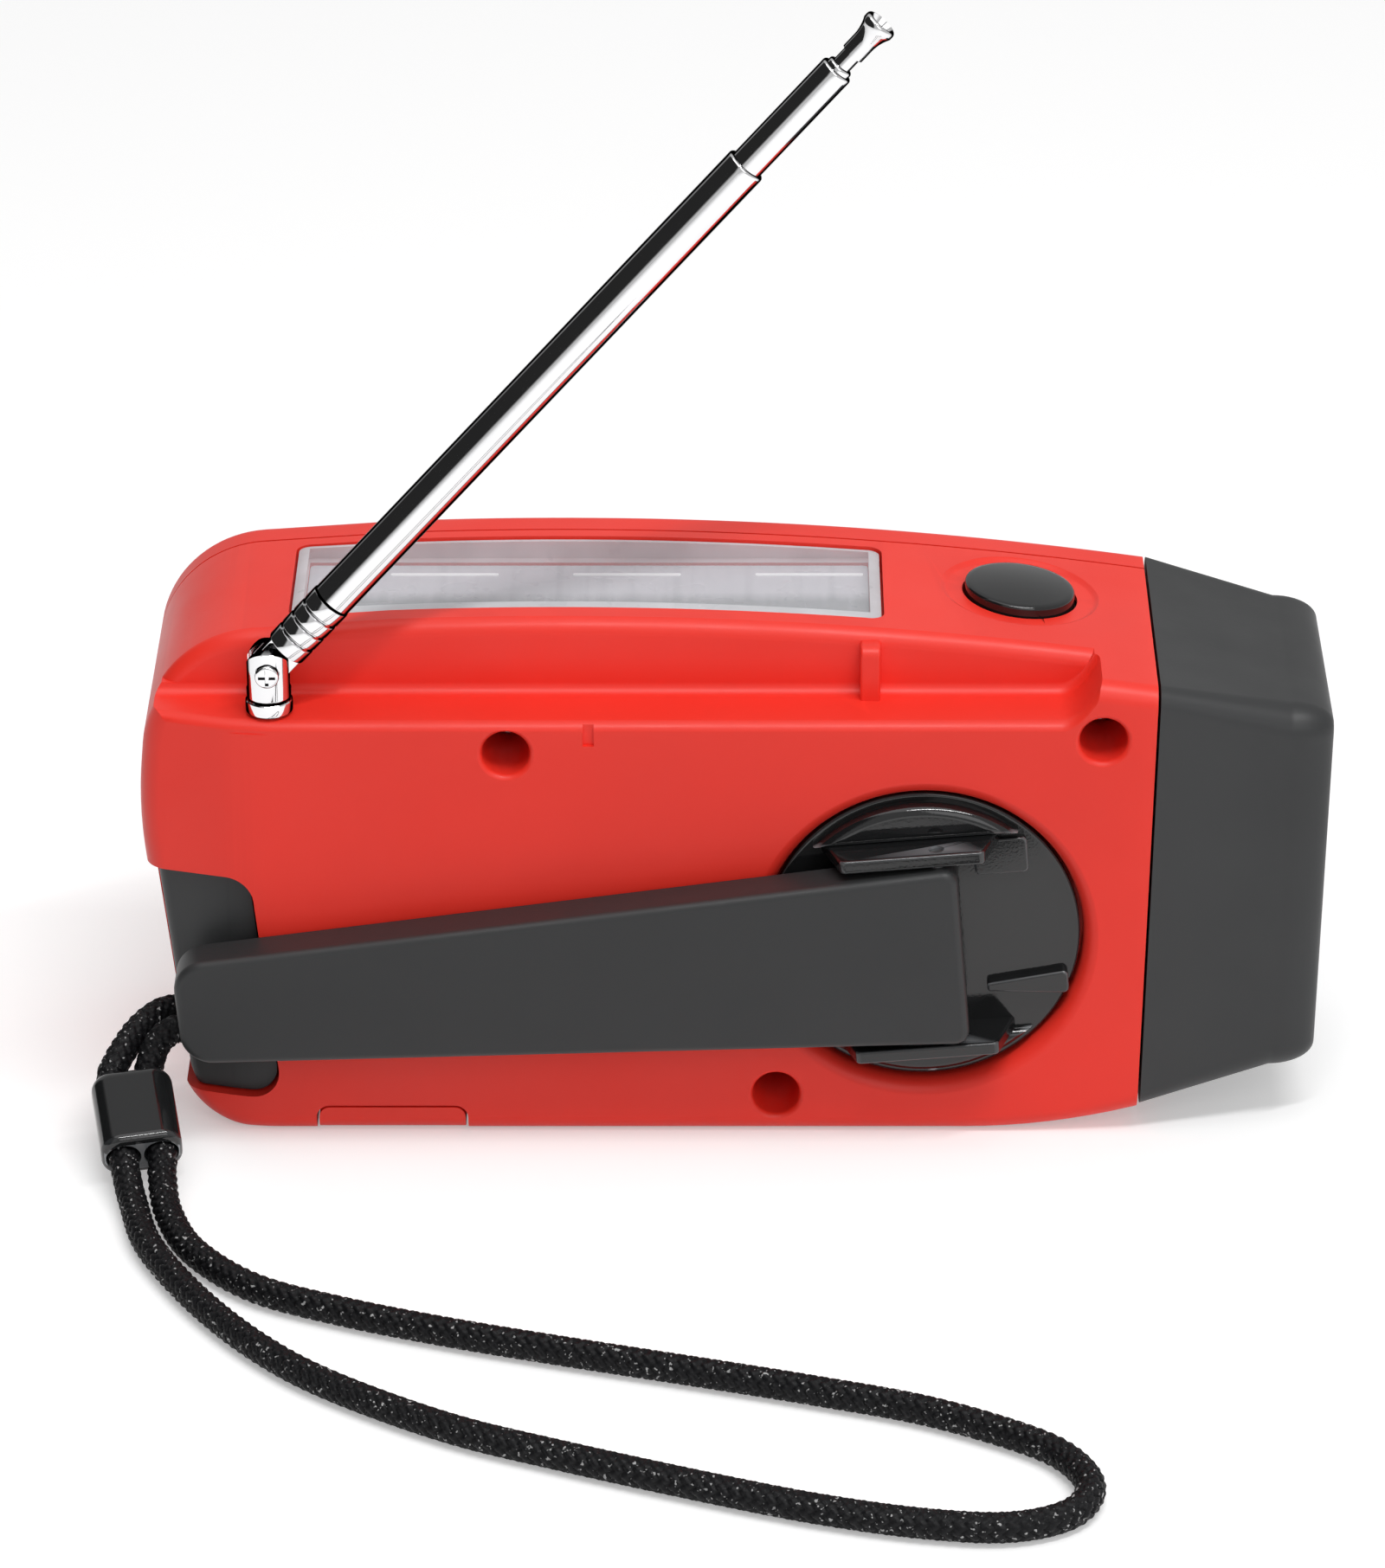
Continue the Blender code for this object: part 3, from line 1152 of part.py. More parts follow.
def crank_arm(hub_frame):
    """Arm, its pin, the finger knob in the arm's hollow and the knob's rivet."""
    pin_place = Vector((ARM_PIN_X, arm_pin_y(), 0))
    frame = axis_frame("arm_axis", pin_place, parent=hub_frame)
    home = Matrix.Translation(-pin_place)
    inner_y = ARM_OUTER_Y + ARM_THICK
    outline = arm_outline()
    bevel = ARM_EDGE * ARM_BEVEL_SHARE
    body = stacked([(inset(outline, ARM_EDGE), ARM_OUTER_Y), (inset(outline, bevel), ARM_OUTER_Y + bevel),
                    (outline, ARM_OUTER_Y + ARM_EDGE), (outline, inner_y)], "Y")
    arm = new_object("crank_arm", body)
    hollow_right_x = ARM_RIGHT_X - ARM_SOLID_LENGTH
    hollow = prism(inset(outline, ARM_WALL), ARM_OUTER_Y + ARM_WALL, inner_y + OVERRUN)
    cut(arm, sliced(hollow, (hollow_right_x, 0, 0), (1, 0, 0)))
    reach = ARM_HUB_HALF + OVERRUN
    cut(arm, rod(ARM_PIN_RADIUS + RUNNING, -reach, reach, "Z", (ARM_PIN_X, arm_pin_y()), TUBE_SIDES))
    arm.data.transform(home)
    on_frame(finished(arm, "dark_grey_plastic"), frame)
    pin_half = ARM_HUB_HALF + EAR_THICK
    pin = rod(ARM_PIN_RADIUS, -pin_half, pin_half, "Z", (ARM_PIN_X, arm_pin_y()), TUBE_SIDES)
    on_frame(piece("arm_pin", pin, "steel"), hub_frame)
    knob_frame = axis_frame("knob_axis", Vector((KNOB_X, 0, 0)) - pin_place, parent=frame)
    floor_y = ARM_OUTER_Y + ARM_WALL + GAP
    face_y = inner_y - GAP
    bore = RIVET_RADIUS + RUNNING
    profile = [(bore, floor_y), (KNOB_RADIUS - KNOB_EDGE, floor_y), (KNOB_RADIUS, floor_y + KNOB_EDGE),
               (KNOB_RADIUS, face_y - KNOB_EDGE), (KNOB_RADIUS - KNOB_EDGE, face_y), (bore, face_y)]
    on_frame(piece("crank_knob", turned(profile, "Y", (0, 0), SIDES), "gloss_black_plastic"), knob_frame)
    rivet = rod(RIVET_RADIUS, floor_y - GAP + RUNNING, face_y, "Y", (0, 0), SIDES)
    on_frame(piece("knob_rivet", rivet, "steel"), knob_frame)


# Gears
def gear_outline(teeth, module, phase):
    """Plain straight-sided teeth; phase is the angle of a tooth's middle."""
    pitch_radius = module * teeth / 2
    tip = pitch_radius + module * TIP_SHARE
    root = pitch_radius - module * ROOT_SHARE
    pitch = 2 * pi / teeth
    points = []
    for k in range(teeth):
        middle = phase + pitch * k
        for radius, share in ((root, -TOOTH_ROOT_SHARE), (tip, -TOOTH_TIP_SHARE),
                              (tip, TOOTH_TIP_SHARE), (root, TOOTH_ROOT_SHARE)):
            turn = middle + share * pitch
            points.append((radius * cos(turn), radius * sin(turn)))
    return points


def gear_train(hub_frame):
    """Shaft, drive gear, intermediate gear with its axle, bush, clip and plate."""
    turn_back = CRANK_ANGLE
    plate_front_y = PLATE_BACK_Y + PLATE_THICK
    shaft_end_y = plate_front_y + CLIP_RING_THICK + 2 * GAP
    hub_back_y = HUB_RECESS_Y - GAP
    shaft = rod(SHAFT_RADIUS, hub_back_y - SHAFT_HUB_DEPTH + RUNNING, shaft_end_y, "Y", (0, 0))
    on_frame(piece("crank_shaft", shaft, "steel"), hub_frame)
    outline = gear_outline(DRIVE_TEETH, FIRST_MODULE, IDLER_BEARING + turn_back)
    gear = new_object("drive_gear", prism(outline, DRIVE_BACK_Y, DRIVE_BACK_Y + DRIVE_THICK))
    cut(gear, rod(SHAFT_RADIUS + RUNNING, DRIVE_BACK_Y - OVERRUN, DRIVE_BACK_Y + OVERRUN + DRIVE_THICK, "Y"))
    on_frame(finished(gear, "white_plastic"), hub_frame)
    clip = ring(SHAFT_RADIUS + RUNNING, CLIP_RING_RADIUS, plate_front_y + GAP,
                plate_front_y + GAP + CLIP_RING_THICK, "Y")
    on_frame(piece("shaft_clip", clip, "steel"), hub_frame)
    bush = ring(SHAFT_RADIUS + RUNNING, BUSH_RADIUS, HUB_RECESS_Y, DRIVE_BACK_Y - GAP, "Y", (HUB_X, HUB_Z))
    piece("shaft_bush", bush, "brass")

    idler_x, idler_z = idler_place()
    idler_frame = axis_frame("idler_axis", (idler_x, 0, idler_z))
    gap_phase = IDLER_BEARING + pi + pi / IDLER_PINION_TEETH
    small = gear_outline(IDLER_PINION_TEETH, FIRST_MODULE, gap_phase)
    idler = new_object("idler_gear", prism(small, DRIVE_BACK_Y, IDLER_BACK_Y + GAP))
    wheel = gear_outline(IDLER_GEAR_TEETH, SECOND_MODULE, ROTOR_BEARING)
    join(idler, prism(wheel, IDLER_BACK_Y, IDLER_BACK_Y + IDLER_THICK))
    cut(idler, rod(IDLER_AXLE_RADIUS + RUNNING, DRIVE_BACK_Y - OVERRUN, IDLER_BACK_Y + OVERRUN, "Y"))
    on_frame(finished(idler, "white_plastic"), idler_frame)
    axle = rod(IDLER_AXLE_RADIUS, axle_start_y(), plate_front_y, "Y", idler_place())
    piece("idler_axle", axle, "steel")

    rotor_x, rotor_z = rotor_place()
    rotor_frame = axis_frame("rotor_axis", (rotor_x, 0, rotor_z))
    can_back_y = plate_front_y + GAP
    can_front_y = can_back_y + GENERATOR_LENGTH
    bore = ROTOR_SHAFT_RADIUS + RUNNING
    inner = GENERATOR_RADIUS - GENERATOR_WALL
    inner_front_y = can_front_y - GENERATOR_WALL
    inner_back_y = can_back_y + GENERATOR_WALL
    profile = [(bore, can_back_y), (GENERATOR_RADIUS, can_back_y), (GENERATOR_RADIUS, can_front_y),
               (bore, can_front_y), (bore, inner_front_y), (inner, inner_front_y),
               (inner, inner_back_y), (bore, inner_back_y)]
    piece("generator_can", turned(profile, "Y", rotor_place(), FINE_SIDES), "steel")
    middle_y = (can_back_y + can_front_y) / 2
    half = ROTOR_MAGNET_LENGTH / 2
    phase = ROTOR_BEARING + pi + pi / ROTOR_TEETH
    pinion = prism(gear_outline(ROTOR_TEETH, SECOND_MODULE, phase), IDLER_BACK_Y - GAP,
                   IDLER_BACK_Y + IDLER_THICK + GAP)
    rotor = new_object("generator_rotor", pinion)
    drum = [(0, IDLER_BACK_Y), (ROTOR_SHAFT_RADIUS, IDLER_BACK_Y), (ROTOR_SHAFT_RADIUS, middle_y - half),
            (ROTOR_MAGNET_RADIUS, middle_y - half), (ROTOR_MAGNET_RADIUS, middle_y + half),
            (ROTOR_SHAFT_RADIUS, middle_y + half), (ROTOR_SHAFT_RADIUS, can_front_y), (0, can_front_y)]
    join(rotor, turned(drum, "Y", (0, 0), SIDES))
    on_frame(finished(rotor, "steel"), rotor_frame)
    gear_plate(can_back_y)


def gear_plate(can_back_y):
    """Steel plate that carries shaft, axle and generator on three posts."""
    outline = filleted([
        (PLATE_LEFT_X, PLATE_STEP_Z, PLATE_CORNER), (PLATE_STEP_LEFT_X, PLATE_STEP_Z, PLATE_CORNER),
        (PLATE_STEP_RIGHT_X, PLATE_LOW_Z, PLATE_CORNER), (PLATE_RIGHT_X, PLATE_LOW_Z, PLATE_CORNER),
        (PLATE_RIGHT_X, PLATE_HIGH_Z, PLATE_CORNER), (PLATE_LEFT_X, PLATE_HIGH_Z, PLATE_CORNER)], 3)
    plate = new_object("gear_plate", prism(outline, PLATE_BACK_Y, PLATE_BACK_Y + PLATE_THICK))
    low = PLATE_BACK_Y - OVERRUN
    high = can_back_y + OVERRUN
    cut(plate, rod(SHAFT_RADIUS + RUNNING, low, high, "Y", (HUB_X, HUB_Z)))
    cut(plate, rod(IDLER_AXLE_RADIUS + RUNNING, low, high, "Y", idler_place()))
    cut(plate, rod(ROTOR_SHAFT_RADIUS + GAP, low, high, "Y", rotor_place()))
    finished(plate, "steel")


# Torch head
def head_ring(low_z, high_z, half, margin, corner):
    """Round-cornered section of the head in Y and Z."""
    radius = max(corner - margin, HEAD_INNER_CORNER)
    return rounded_box(margin - half, half - margin, low_z + margin, high_z - margin, radius, RIM_STEPS)


def head_block(depth):
    """The head's full solid, a depth below its outside; a hollow runs on past the seam."""
    seam = head_ring(rise_z(HEAD_SEAM_X), crown_z(HEAD_SEAM_X), CASE_FRONT_Y, depth, CASE_RIM_RADIUS)
    levels = [(seam, HEAD_SEAM_X + GAP / 2 - depth)]
    reach = HEAD_END_X - HEAD_SHOULDER_X - depth
    for k in range(RIM_STEPS + 1):
        turn = pi / 2 * k / RIM_STEPS
        margin = depth + HEAD_END_INSET * (1 - cos(turn))
        level = head_ring(HEAD_SHOULDER_LOW_Z, HEAD_SHOULDER_HIGH_Z, HEAD_SHOULDER_HALF, margin, HEAD_CORNER)
        levels.append((level, HEAD_SHOULDER_X + reach * sin(turn)))
    return stacked(levels, "X")


def head_leaned(item):
    """Lean a piece of the head with the seam, which runs to the left as it goes down."""
    top_z = crown_z(HEAD_SEAM_X)
    for vertex in item.data.vertices:
        vertex.co.x -= tan(SEAM_LEAN) * (top_z - vertex.co.z)
    return item


def torch_head():
    """Dark housing with lens, reflector, light-emitting diodes and their board."""
    housing = new_object("head_housing", head_block(0))
    hollow = sliced(head_block(HEAD_WALL), (HEAD_END_X - HEAD_FACE_THICK, 0, 0), (1, 0, 0))
    cut(housing, hollow)
    place = (0, LENS_Z)
    low_x = HEAD_END_X - HEAD_FACE_THICK - OVERRUN
    cut(housing, rod(LENS_RADIUS + GAP, low_x, HEAD_END_X + OVERRUN, "X", place, FINE_SIDES))
    head_leaned(finished(housing, "dark_grey_plastic"))
    lens_front_x = HEAD_END_X - LENS_RECESS
    lens_back_x = lens_front_x - LENS_THICK
    lens = rod(LENS_RADIUS, lens_back_x, lens_front_x, "X", place, FINE_SIDES)
    head_leaned(piece("head_lens", lens, "clear_plastic"))
    rim_x = lens_back_x - GAP
    base_x = REFLECTOR_BACK_X
    wall = REFLECTOR_WALL
    base_radius = REFLECTOR_BASE_RADIUS
    profile = [(0, base_x), (base_radius, base_x), (LENS_RADIUS, rim_x - wall), (LENS_RADIUS, rim_x),
               (LENS_RADIUS - wall, rim_x), (base_radius - wall, base_x + wall), (0, base_x + wall)]
    reflector = new_object("head_reflector", turned(profile, "X", place, FINE_SIDES))
    orbit = [(LED_ORBIT * cos(turn), LENS_Z + LED_ORBIT * sin(turn))
             for turn in (pi / 2, pi / 2 + 2 * pi / 3, pi / 2 - 2 * pi / 3)]
    for spot in orbit:
        cut(reflector, rod(LED_RADIUS + GAP, base_x - OVERRUN, base_x + OVERRUN, "X", spot, TUBE_SIDES))
    head_leaned(finished(reflector, "chrome"))
    board_front_x = base_x - GAP
    board = rod(LED_BOARD_RADIUS, board_front_x - LED_BOARD_THICK, board_front_x, "X", place, FINE_SIDES)
    head_leaned(piece("led_board", board, "board_green"))
    for number, spot in enumerate(orbit, 1):
        foot_x = board_front_x + GAP
        shoulder_x = foot_x + LED_LENGTH - LED_RADIUS
        dome = [(LED_RADIUS * cos(turn), shoulder_x + LED_RADIUS * sin(turn))
                for turn in [pi / 2 * k / RIM_STEPS for k in range(RIM_STEPS)]]
        profile = [(0, foot_x), (LED_RADIUS, foot_x)] + dome + [(0, foot_x + LED_LENGTH)]
        head_leaned(piece("led_" + str(number), turned(profile, "X", spot, TUBE_SIDES), "led_resin"))


# Antenna
def tube_profile(radius, start, end, lip):
    """Thin tube with a rolled-in lip at its far end."""
    inner = radius - TUBE_WALL
    return [(inner, start), (radius, start), (radius, end - lip), (radius - lip / 2, end), (inner, end)]


def antenna():
    """Foot in the ledge, swivel fork, hinge pin, ferrule, three tubes, rod and tip."""
    place = (ANTENNA_X, ANTENNA_Y)
    foot_low = LEDGE_Z + GAP
    foot_high = foot_low + FOOT_HEIGHT
    pivot = SWIVEL_PIVOT_RADIUS + RUNNING
    profile = [(pivot, foot_low - FOOT_STEM_LENGTH), (FOOT_STEM_RADIUS, foot_low - FOOT_STEM_LENGTH),
               (FOOT_STEM_RADIUS, foot_low), (FOOT_RADIUS, foot_low), (FOOT_RADIUS, foot_high - FOOT_EDGE),
               (FOOT_RADIUS - FOOT_EDGE, foot_high), (pivot, foot_high)]
    piece("antenna_foot", turned(profile, "Z", place), "chrome")

    swivel_frame = axis_frame("swivel_axis", (ANTENNA_X, ANTENNA_Y, 0))
    low = foot_high + GAP
    top = ANTENNA_HINGE_Z + SWIVEL_RADIUS
    bottom = low - SWIVEL_PIVOT_LENGTH
    barrel = [(0, bottom), (SWIVEL_PIVOT_RADIUS, bottom), (SWIVEL_PIVOT_RADIUS, low), (SWIVEL_RADIUS, low),
              (SWIVEL_RADIUS, top), (0, top)]
    swivel = new_object("antenna_swivel", turned(barrel, "Z"))
    cheek = [(-SWIVEL_RADIUS - GAP, bottom - GAP), (SWIVEL_RADIUS + GAP, bottom - GAP)]
    cheek += arc((0, ANTENNA_HINGE_Z), SWIVEL_RADIUS + RUNNING, 0, pi, ROUND_STEPS)
    trim(swivel, prism(cheek, -SWIVEL_RADIUS - OVERRUN, SWIVEL_RADIUS + OVERRUN))
    half_slot = SWIVEL_SLOT / 2
    cut(swivel, box((-OVERRUN, -half_slot, ANTENNA_HINGE_Z - SWIVEL_SLOT_DROP),
                    (OVERRUN, half_slot, top + OVERRUN)))
    bore = HINGE_PIN_RADIUS + RUNNING
    cut(swivel, rod(bore, -OVERRUN, OVERRUN, "Y", (0, ANTENNA_HINGE_Z), TUBE_SIDES))
    head_low = -SWIVEL_RADIUS - HINGE_HEAD_HEIGHT
    head_high = -SWIVEL_RADIUS * HINGE_SEAT_SHARE
    cut(swivel, rod(HINGE_HEAD_RADIUS + RUNNING, head_low - OVERRUN, head_high + RUNNING, "Y",
                    (0, ANTENNA_HINGE_Z), TUBE_SIDES))
    on_frame(finished(swivel, "chrome"), swivel_frame)
    pin_end = SWIVEL_RADIUS - GAP
    pin_profile = [(0, head_low), (HINGE_HEAD_RADIUS * HINGE_DOME_SHARE, head_low),
                   (HINGE_HEAD_RADIUS, head_high - HINGE_HEAD_HEIGHT / 2), (HINGE_HEAD_RADIUS, head_high),
                   (HINGE_PIN_RADIUS, head_high), (HINGE_PIN_RADIUS, pin_end), (0, pin_end)]
    pin = turned(pin_profile, "Y", (0, ANTENNA_HINGE_Z), TUBE_SIDES)
    on_frame(piece("antenna_pin", pin, "chrome"), swivel_frame)

    tilt_frame = axis_frame("tilt_axis", (0, 0, ANTENNA_HINGE_Z), (0, -ANTENNA_TILT, 0), swivel_frame)
    ferrule = new_object("antenna_ferrule", turned(ferrule_profile(), "X", (0, 0)))
    half_blade = BLADE_THICK / 2
    blade = [(FERRULE_START + GAP, -BLADE_RADIUS), (FERRULE_START + GAP, BLADE_RADIUS)]
    blade += arc((0, 0), BLADE_RADIUS, pi / 2, 3 * pi / 2, ROUND_STEPS)
    join(ferrule, prism(blade[::-1], -half_blade, half_blade))
    cut(ferrule, rod(bore, -OVERRUN, OVERRUN, "Y", (0, 0), TUBE_SIDES))
    on_frame(finished(ferrule, "chrome"), tilt_frame)

    lip = TUBE_WALL
    profile = tube_profile(TUBE_ONE_RADIUS, FERRULE_END + GAP, TUBE_ONE_TOP, lip)
    tube_one = turned(profile, "X", (0, 0), TUBE_SIDES)
    on_frame(piece("antenna_tube_1", tube_one, "chrome"), tilt_frame)
    frames = [tilt_frame]
    sliding_tubes = [(TUBE_TWO_RADIUS, TUBE_TWO_TOP, TUBE_TWO_LENGTH),
                     (TUBE_THREE_RADIUS, TUBE_THREE_TOP, TUBE_THREE_LENGTH)]
    for number, (radius, end, length) in enumerate(sliding_tubes, 2):
        frames.append(axis_frame("slide_" + str(number), (0, 0, 0), parent=frames[-1]))
        profile = tube_profile(radius, end - length, end, lip)
        tube = turned(profile, "X", (0, 0), TUBE_SIDES)
        on_frame(piece("antenna_tube_" + str(number), tube, "chrome"), frames[-1])
    rod_frame = axis_frame("slide_rod", (0, 0, 0), parent=frames[-1])
    bar = rod(ROD_RADIUS, ROD_TOP - ROD_LENGTH, ROD_TOP, "X", (0, 0), TUBE_SIDES)
    on_frame(piece("antenna_rod", bar, "chrome"), rod_frame)
    start = ROD_TOP - TIP_NECK_LENGTH
    dish = ANTENNA_TIP - TIP_HOLLOW
    bore = ROD_RADIUS + RUNNING
    tip = [(bore, start), (TIP_NECK_RADIUS, start), (TIP_NECK_RADIUS, ROD_TOP), (TIP_RADIUS, dish),
           (TIP_RADIUS, ANTENNA_TIP), (TIP_RADIUS * TIP_DISH_SHARE, dish),
           (0, dish), (0, ROD_TOP + RUNNING), (bore, ROD_TOP + RUNNING)]
    on_frame(piece("antenna_tip", tip_solid(tip), "chrome"), rod_frame)


def tip_solid(profile):
    """Flared tip with a blind bore; its two points on the axis are its hollow face and its bore's end."""
    mesh = bmesh.new()
    rings = [[mesh.verts.new((w, u, v)) for u, v in (circle(radius, TUBE_SIDES) if radius else [(0, 0)])]
             for radius, w in profile]
    for low, high in zip(rings, rings[1:] + rings[:1]):
        if len(low) == 1 and len(high) == 1:
            continue
        for k in range(TUBE_SIDES):
            after = (k + 1) % TUBE_SIDES
            corners = [low[k % len(low)], low[after % len(low)], high[after % len(high)], high[k % len(high)]]
            mesh.faces.new(list(dict.fromkeys(corners)))
    bmesh.ops.recalc_face_normals(mesh, faces=mesh.faces)
    return mesh


def ferrule_profile():
    """Turned profile of the ringed fitting between hinge and first tube."""
    profile = [(0, FERRULE_START), (FERRULE_RADIUS, FERRULE_START)]
    pitch = (FERRULE_END - FERRULE_START) / (FERRULE_RINGS + 1)
    for k in range(1, FERRULE_RINGS + 1):
        x = FERRULE_START + pitch * k
        half = FERRULE_RING_DEPTH / 2
        profile += [(FERRULE_RADIUS, x - half), (FERRULE_RADIUS - FERRULE_RING_DEPTH, x),
                    (FERRULE_RADIUS, x + half)]
    return profile + [(FERRULE_RADIUS, FERRULE_END), (0, FERRULE_END)]


# Electronics and controls
def loudspeaker():
    """Frame, paper cone and magnet behind the grille."""
    place = (SPEAKER_X, SPEAKER_Z)
    rim_y = CASE_FRONT_Y - CASE_WALL - GAP
    back_y = rim_y - SPEAKER_FRAME_DEPTH
    wall = SPEAKER_WALL
    basket = SPEAKER_BASKET_RADIUS
    outer = SPEAKER_RADIUS
    frame = [(basket - wall, back_y), (basket, back_y), (outer, rim_y - wall), (outer, rim_y),
             (outer - 2 * wall, rim_y), (basket - wall, back_y + wall)]
    piece("speaker_frame", turned(frame, "Y", place, FINE_SIDES), "steel")
    edge = outer - 2 * wall - 2 * GAP
    throat = basket - wall - GAP
    cone_back_y = back_y + 2 * wall
    cone = [(0, cone_back_y), (throat, cone_back_y), (edge, rim_y - GAP), (edge - wall, rim_y - GAP),
            (throat - wall, cone_back_y + wall), (0, cone_back_y + wall)]
    piece("speaker_cone", turned(cone, "Y", place, FINE_SIDES), "paper_cone")
    magnet = rod(SPEAKER_MAGNET_RADIUS, back_y - SPEAKER_MAGNET_LENGTH, back_y + wall, "Y", place, FINE_SIDES)
    piece("speaker_magnet", magnet, "steel")


def main_board():
    """Board with tuning capacitor, volume control and band switch."""
    plate = new_object("main_board", box((BOARD_LEFT_X, BOARD_BACK_Y, BOARD_LOW_Z),
                                         (BOARD_RIGHT_X, BOARD_BACK_Y + BOARD_THICK, BOARD_HIGH_Z)))
    finished(plate, "board_green")
    seat_y = BOARD_BACK_Y + BOARD_THICK + GAP
    half = CAPACITOR_SIZE / 2
    capacitor = box((DIAL_X - half, seat_y, DIAL_Z - half),
                    (DIAL_X + half, seat_y + CAPACITOR_HEIGHT, DIAL_Z + half))
    piece("tuning_capacitor", capacitor, "white_plastic")
    half = VOLUME_BOX_SIZE / 2
    control = box((VOLUME_X - half, seat_y, VOLUME_Z - half),
                  (VOLUME_X + half, seat_y + VOLUME_BOX_HEIGHT, VOLUME_Z + half))
    piece("volume_control", control, "steel")
    half_x = BAND_BOX_WIDTH / 2
    middle_z = BAND_Z + BAND_TRAVEL / 2
    half_z = BAND_BOX_LENGTH / 2
    switch = box((BAND_X - half_x, seat_y, middle_z - half_z),
                 (BAND_X + half_x, seat_y + BAND_BOX_HEIGHT, middle_z + half_z))
    piece("band_switch", switch, "steel")


def turning_knob(name, place, sizes, stem_end_y):
    """Knob on the front with a stem that runs in to its control."""
    radius, thick, stem_radius = sizes
    back_y = CASE_FRONT_Y + GAP
    front_y = back_y + thick
    profile = [(0, stem_end_y), (stem_radius, stem_end_y), (stem_radius, back_y), (radius, back_y),
               (radius, front_y - DIAL_EDGE), (radius - DIAL_EDGE, front_y), (0, front_y)]
    frame = axis_frame(name + "_axis", (place[0], 0, place[1]))
    on_frame(piece(name, turned(profile, "Y", (0, 0), FINE_SIDES), "dark_grey_plastic"), frame)


def front_controls():
    """Tuning dial, volume knob and band slider."""
    seat_y = BOARD_BACK_Y + BOARD_THICK + GAP
    turning_knob("tuning_dial", (DIAL_X, DIAL_Z), (DIAL_RADIUS, DIAL_THICK, DIAL_STEM_RADIUS),
                 seat_y + CAPACITOR_HEIGHT + GAP)
    turning_knob("volume_knob", (VOLUME_X, VOLUME_Z), (VOLUME_RADIUS, VOLUME_THICK, VOLUME_STEM_RADIUS),
                 seat_y + VOLUME_BOX_HEIGHT + GAP)
    frame = axis_frame("band_axis", (BAND_X, 0, BAND_Z))
    back_y = CASE_FRONT_Y + GAP
    cap_half_x = BAND_CAP_WIDTH / 2
    cap_half_z = BAND_CAP_LENGTH / 2
    cap = rounded_box(-cap_half_x, cap_half_x, -cap_half_z, cap_half_z, DIAL_EDGE, 2)
    slider = new_object("band_slider", prism(cap, back_y, back_y + BAND_CAP_THICK))
    stem_half_x = BAND_STEM_WIDTH / 2
    stem_half_z = BAND_STEM_LENGTH / 2
    join(slider, box((-stem_half_x, seat_y + BAND_BOX_HEIGHT + GAP, -stem_half_z),
                     (stem_half_x, back_y + BAND_CAP_THICK / 2, stem_half_z)))
    on_frame(finished(slider, "dark_grey_plastic"), frame)


def batteries():
    """Two cells in line on the shell's ribs."""
    for index in range(2):
        left_x = battery_left_x(index)
        end_x = left_x + BATTERY_LENGTH
        cap_x = end_x + BATTERY_CAP_HEIGHT
        profile = [(0, left_x), (BATTERY_RADIUS, left_x), (BATTERY_RADIUS, end_x),
                   (BATTERY_CAP_RADIUS, end_x), (BATTERY_CAP_RADIUS, cap_x), (0, cap_x)]
        piece("battery_cell_" + str(index + 1), turned(profile, "X", (BATTERY_Y, BATTERY_Z), FINE_SIDES),
              "cell_sleeve")


def ferrite_aerial():
    """Ferrite rod for medium wave and its coil."""
    place = (FERRITE_Y, FERRITE_Z)
    bar = rod(FERRITE_RADIUS, FERRITE_LEFT_X, FERRITE_LEFT_X + FERRITE_LENGTH, "X", place)
    piece("ferrite_rod", bar, "ferrite")
    bore = FERRITE_RADIUS + GAP
    coil = ring(bore, bore + COIL_WALL, COIL_LEFT_X, COIL_LEFT_X + COIL_LENGTH, "X", place)
    piece("ferrite_coil", coil, "copper")


# Wrist lanyard
def smooth_route(points, samples):
    """Points of a smooth curve through the route's own points."""
    padded = [points[0]] + list(points) + [points[-1]]
    route = []
    for before, start, end, after in zip(padded, padded[1:], padded[2:], padded[3:]):
        p0, p1, p2, p3 = (Vector(p) for p in (before, start, end, after))
        for k in range(samples):
            t = k / samples
            route.append(0.5 * (2 * p1 + (p2 - p0) * t + (2 * p0 - 5 * p1 + 4 * p2 - p3) * t ** 2
                                + (3 * p1 - p0 - 3 * p2 + p3) * t ** 3))
    return route + [Vector(points[-1])]


def evenly(route, step):
    """Points at equal steps along a route."""
    lengths = [0]
    for start, end in zip(route, route[1:]):
        lengths.append(lengths[-1] + (end - start).length)
    count = round(lengths[-1] / step)
    spaced = []
    k = 0
    for number in range(count + 1):
        wanted = lengths[-1] * number / count
        while k < len(route) - 2 and lengths[k + 1] < wanted:
            k += 1
        share = (wanted - lengths[k]) / (lengths[k + 1] - lengths[k])
        spaced.append(route[k].lerp(route[k + 1], min(share, 1)))
    return spaced


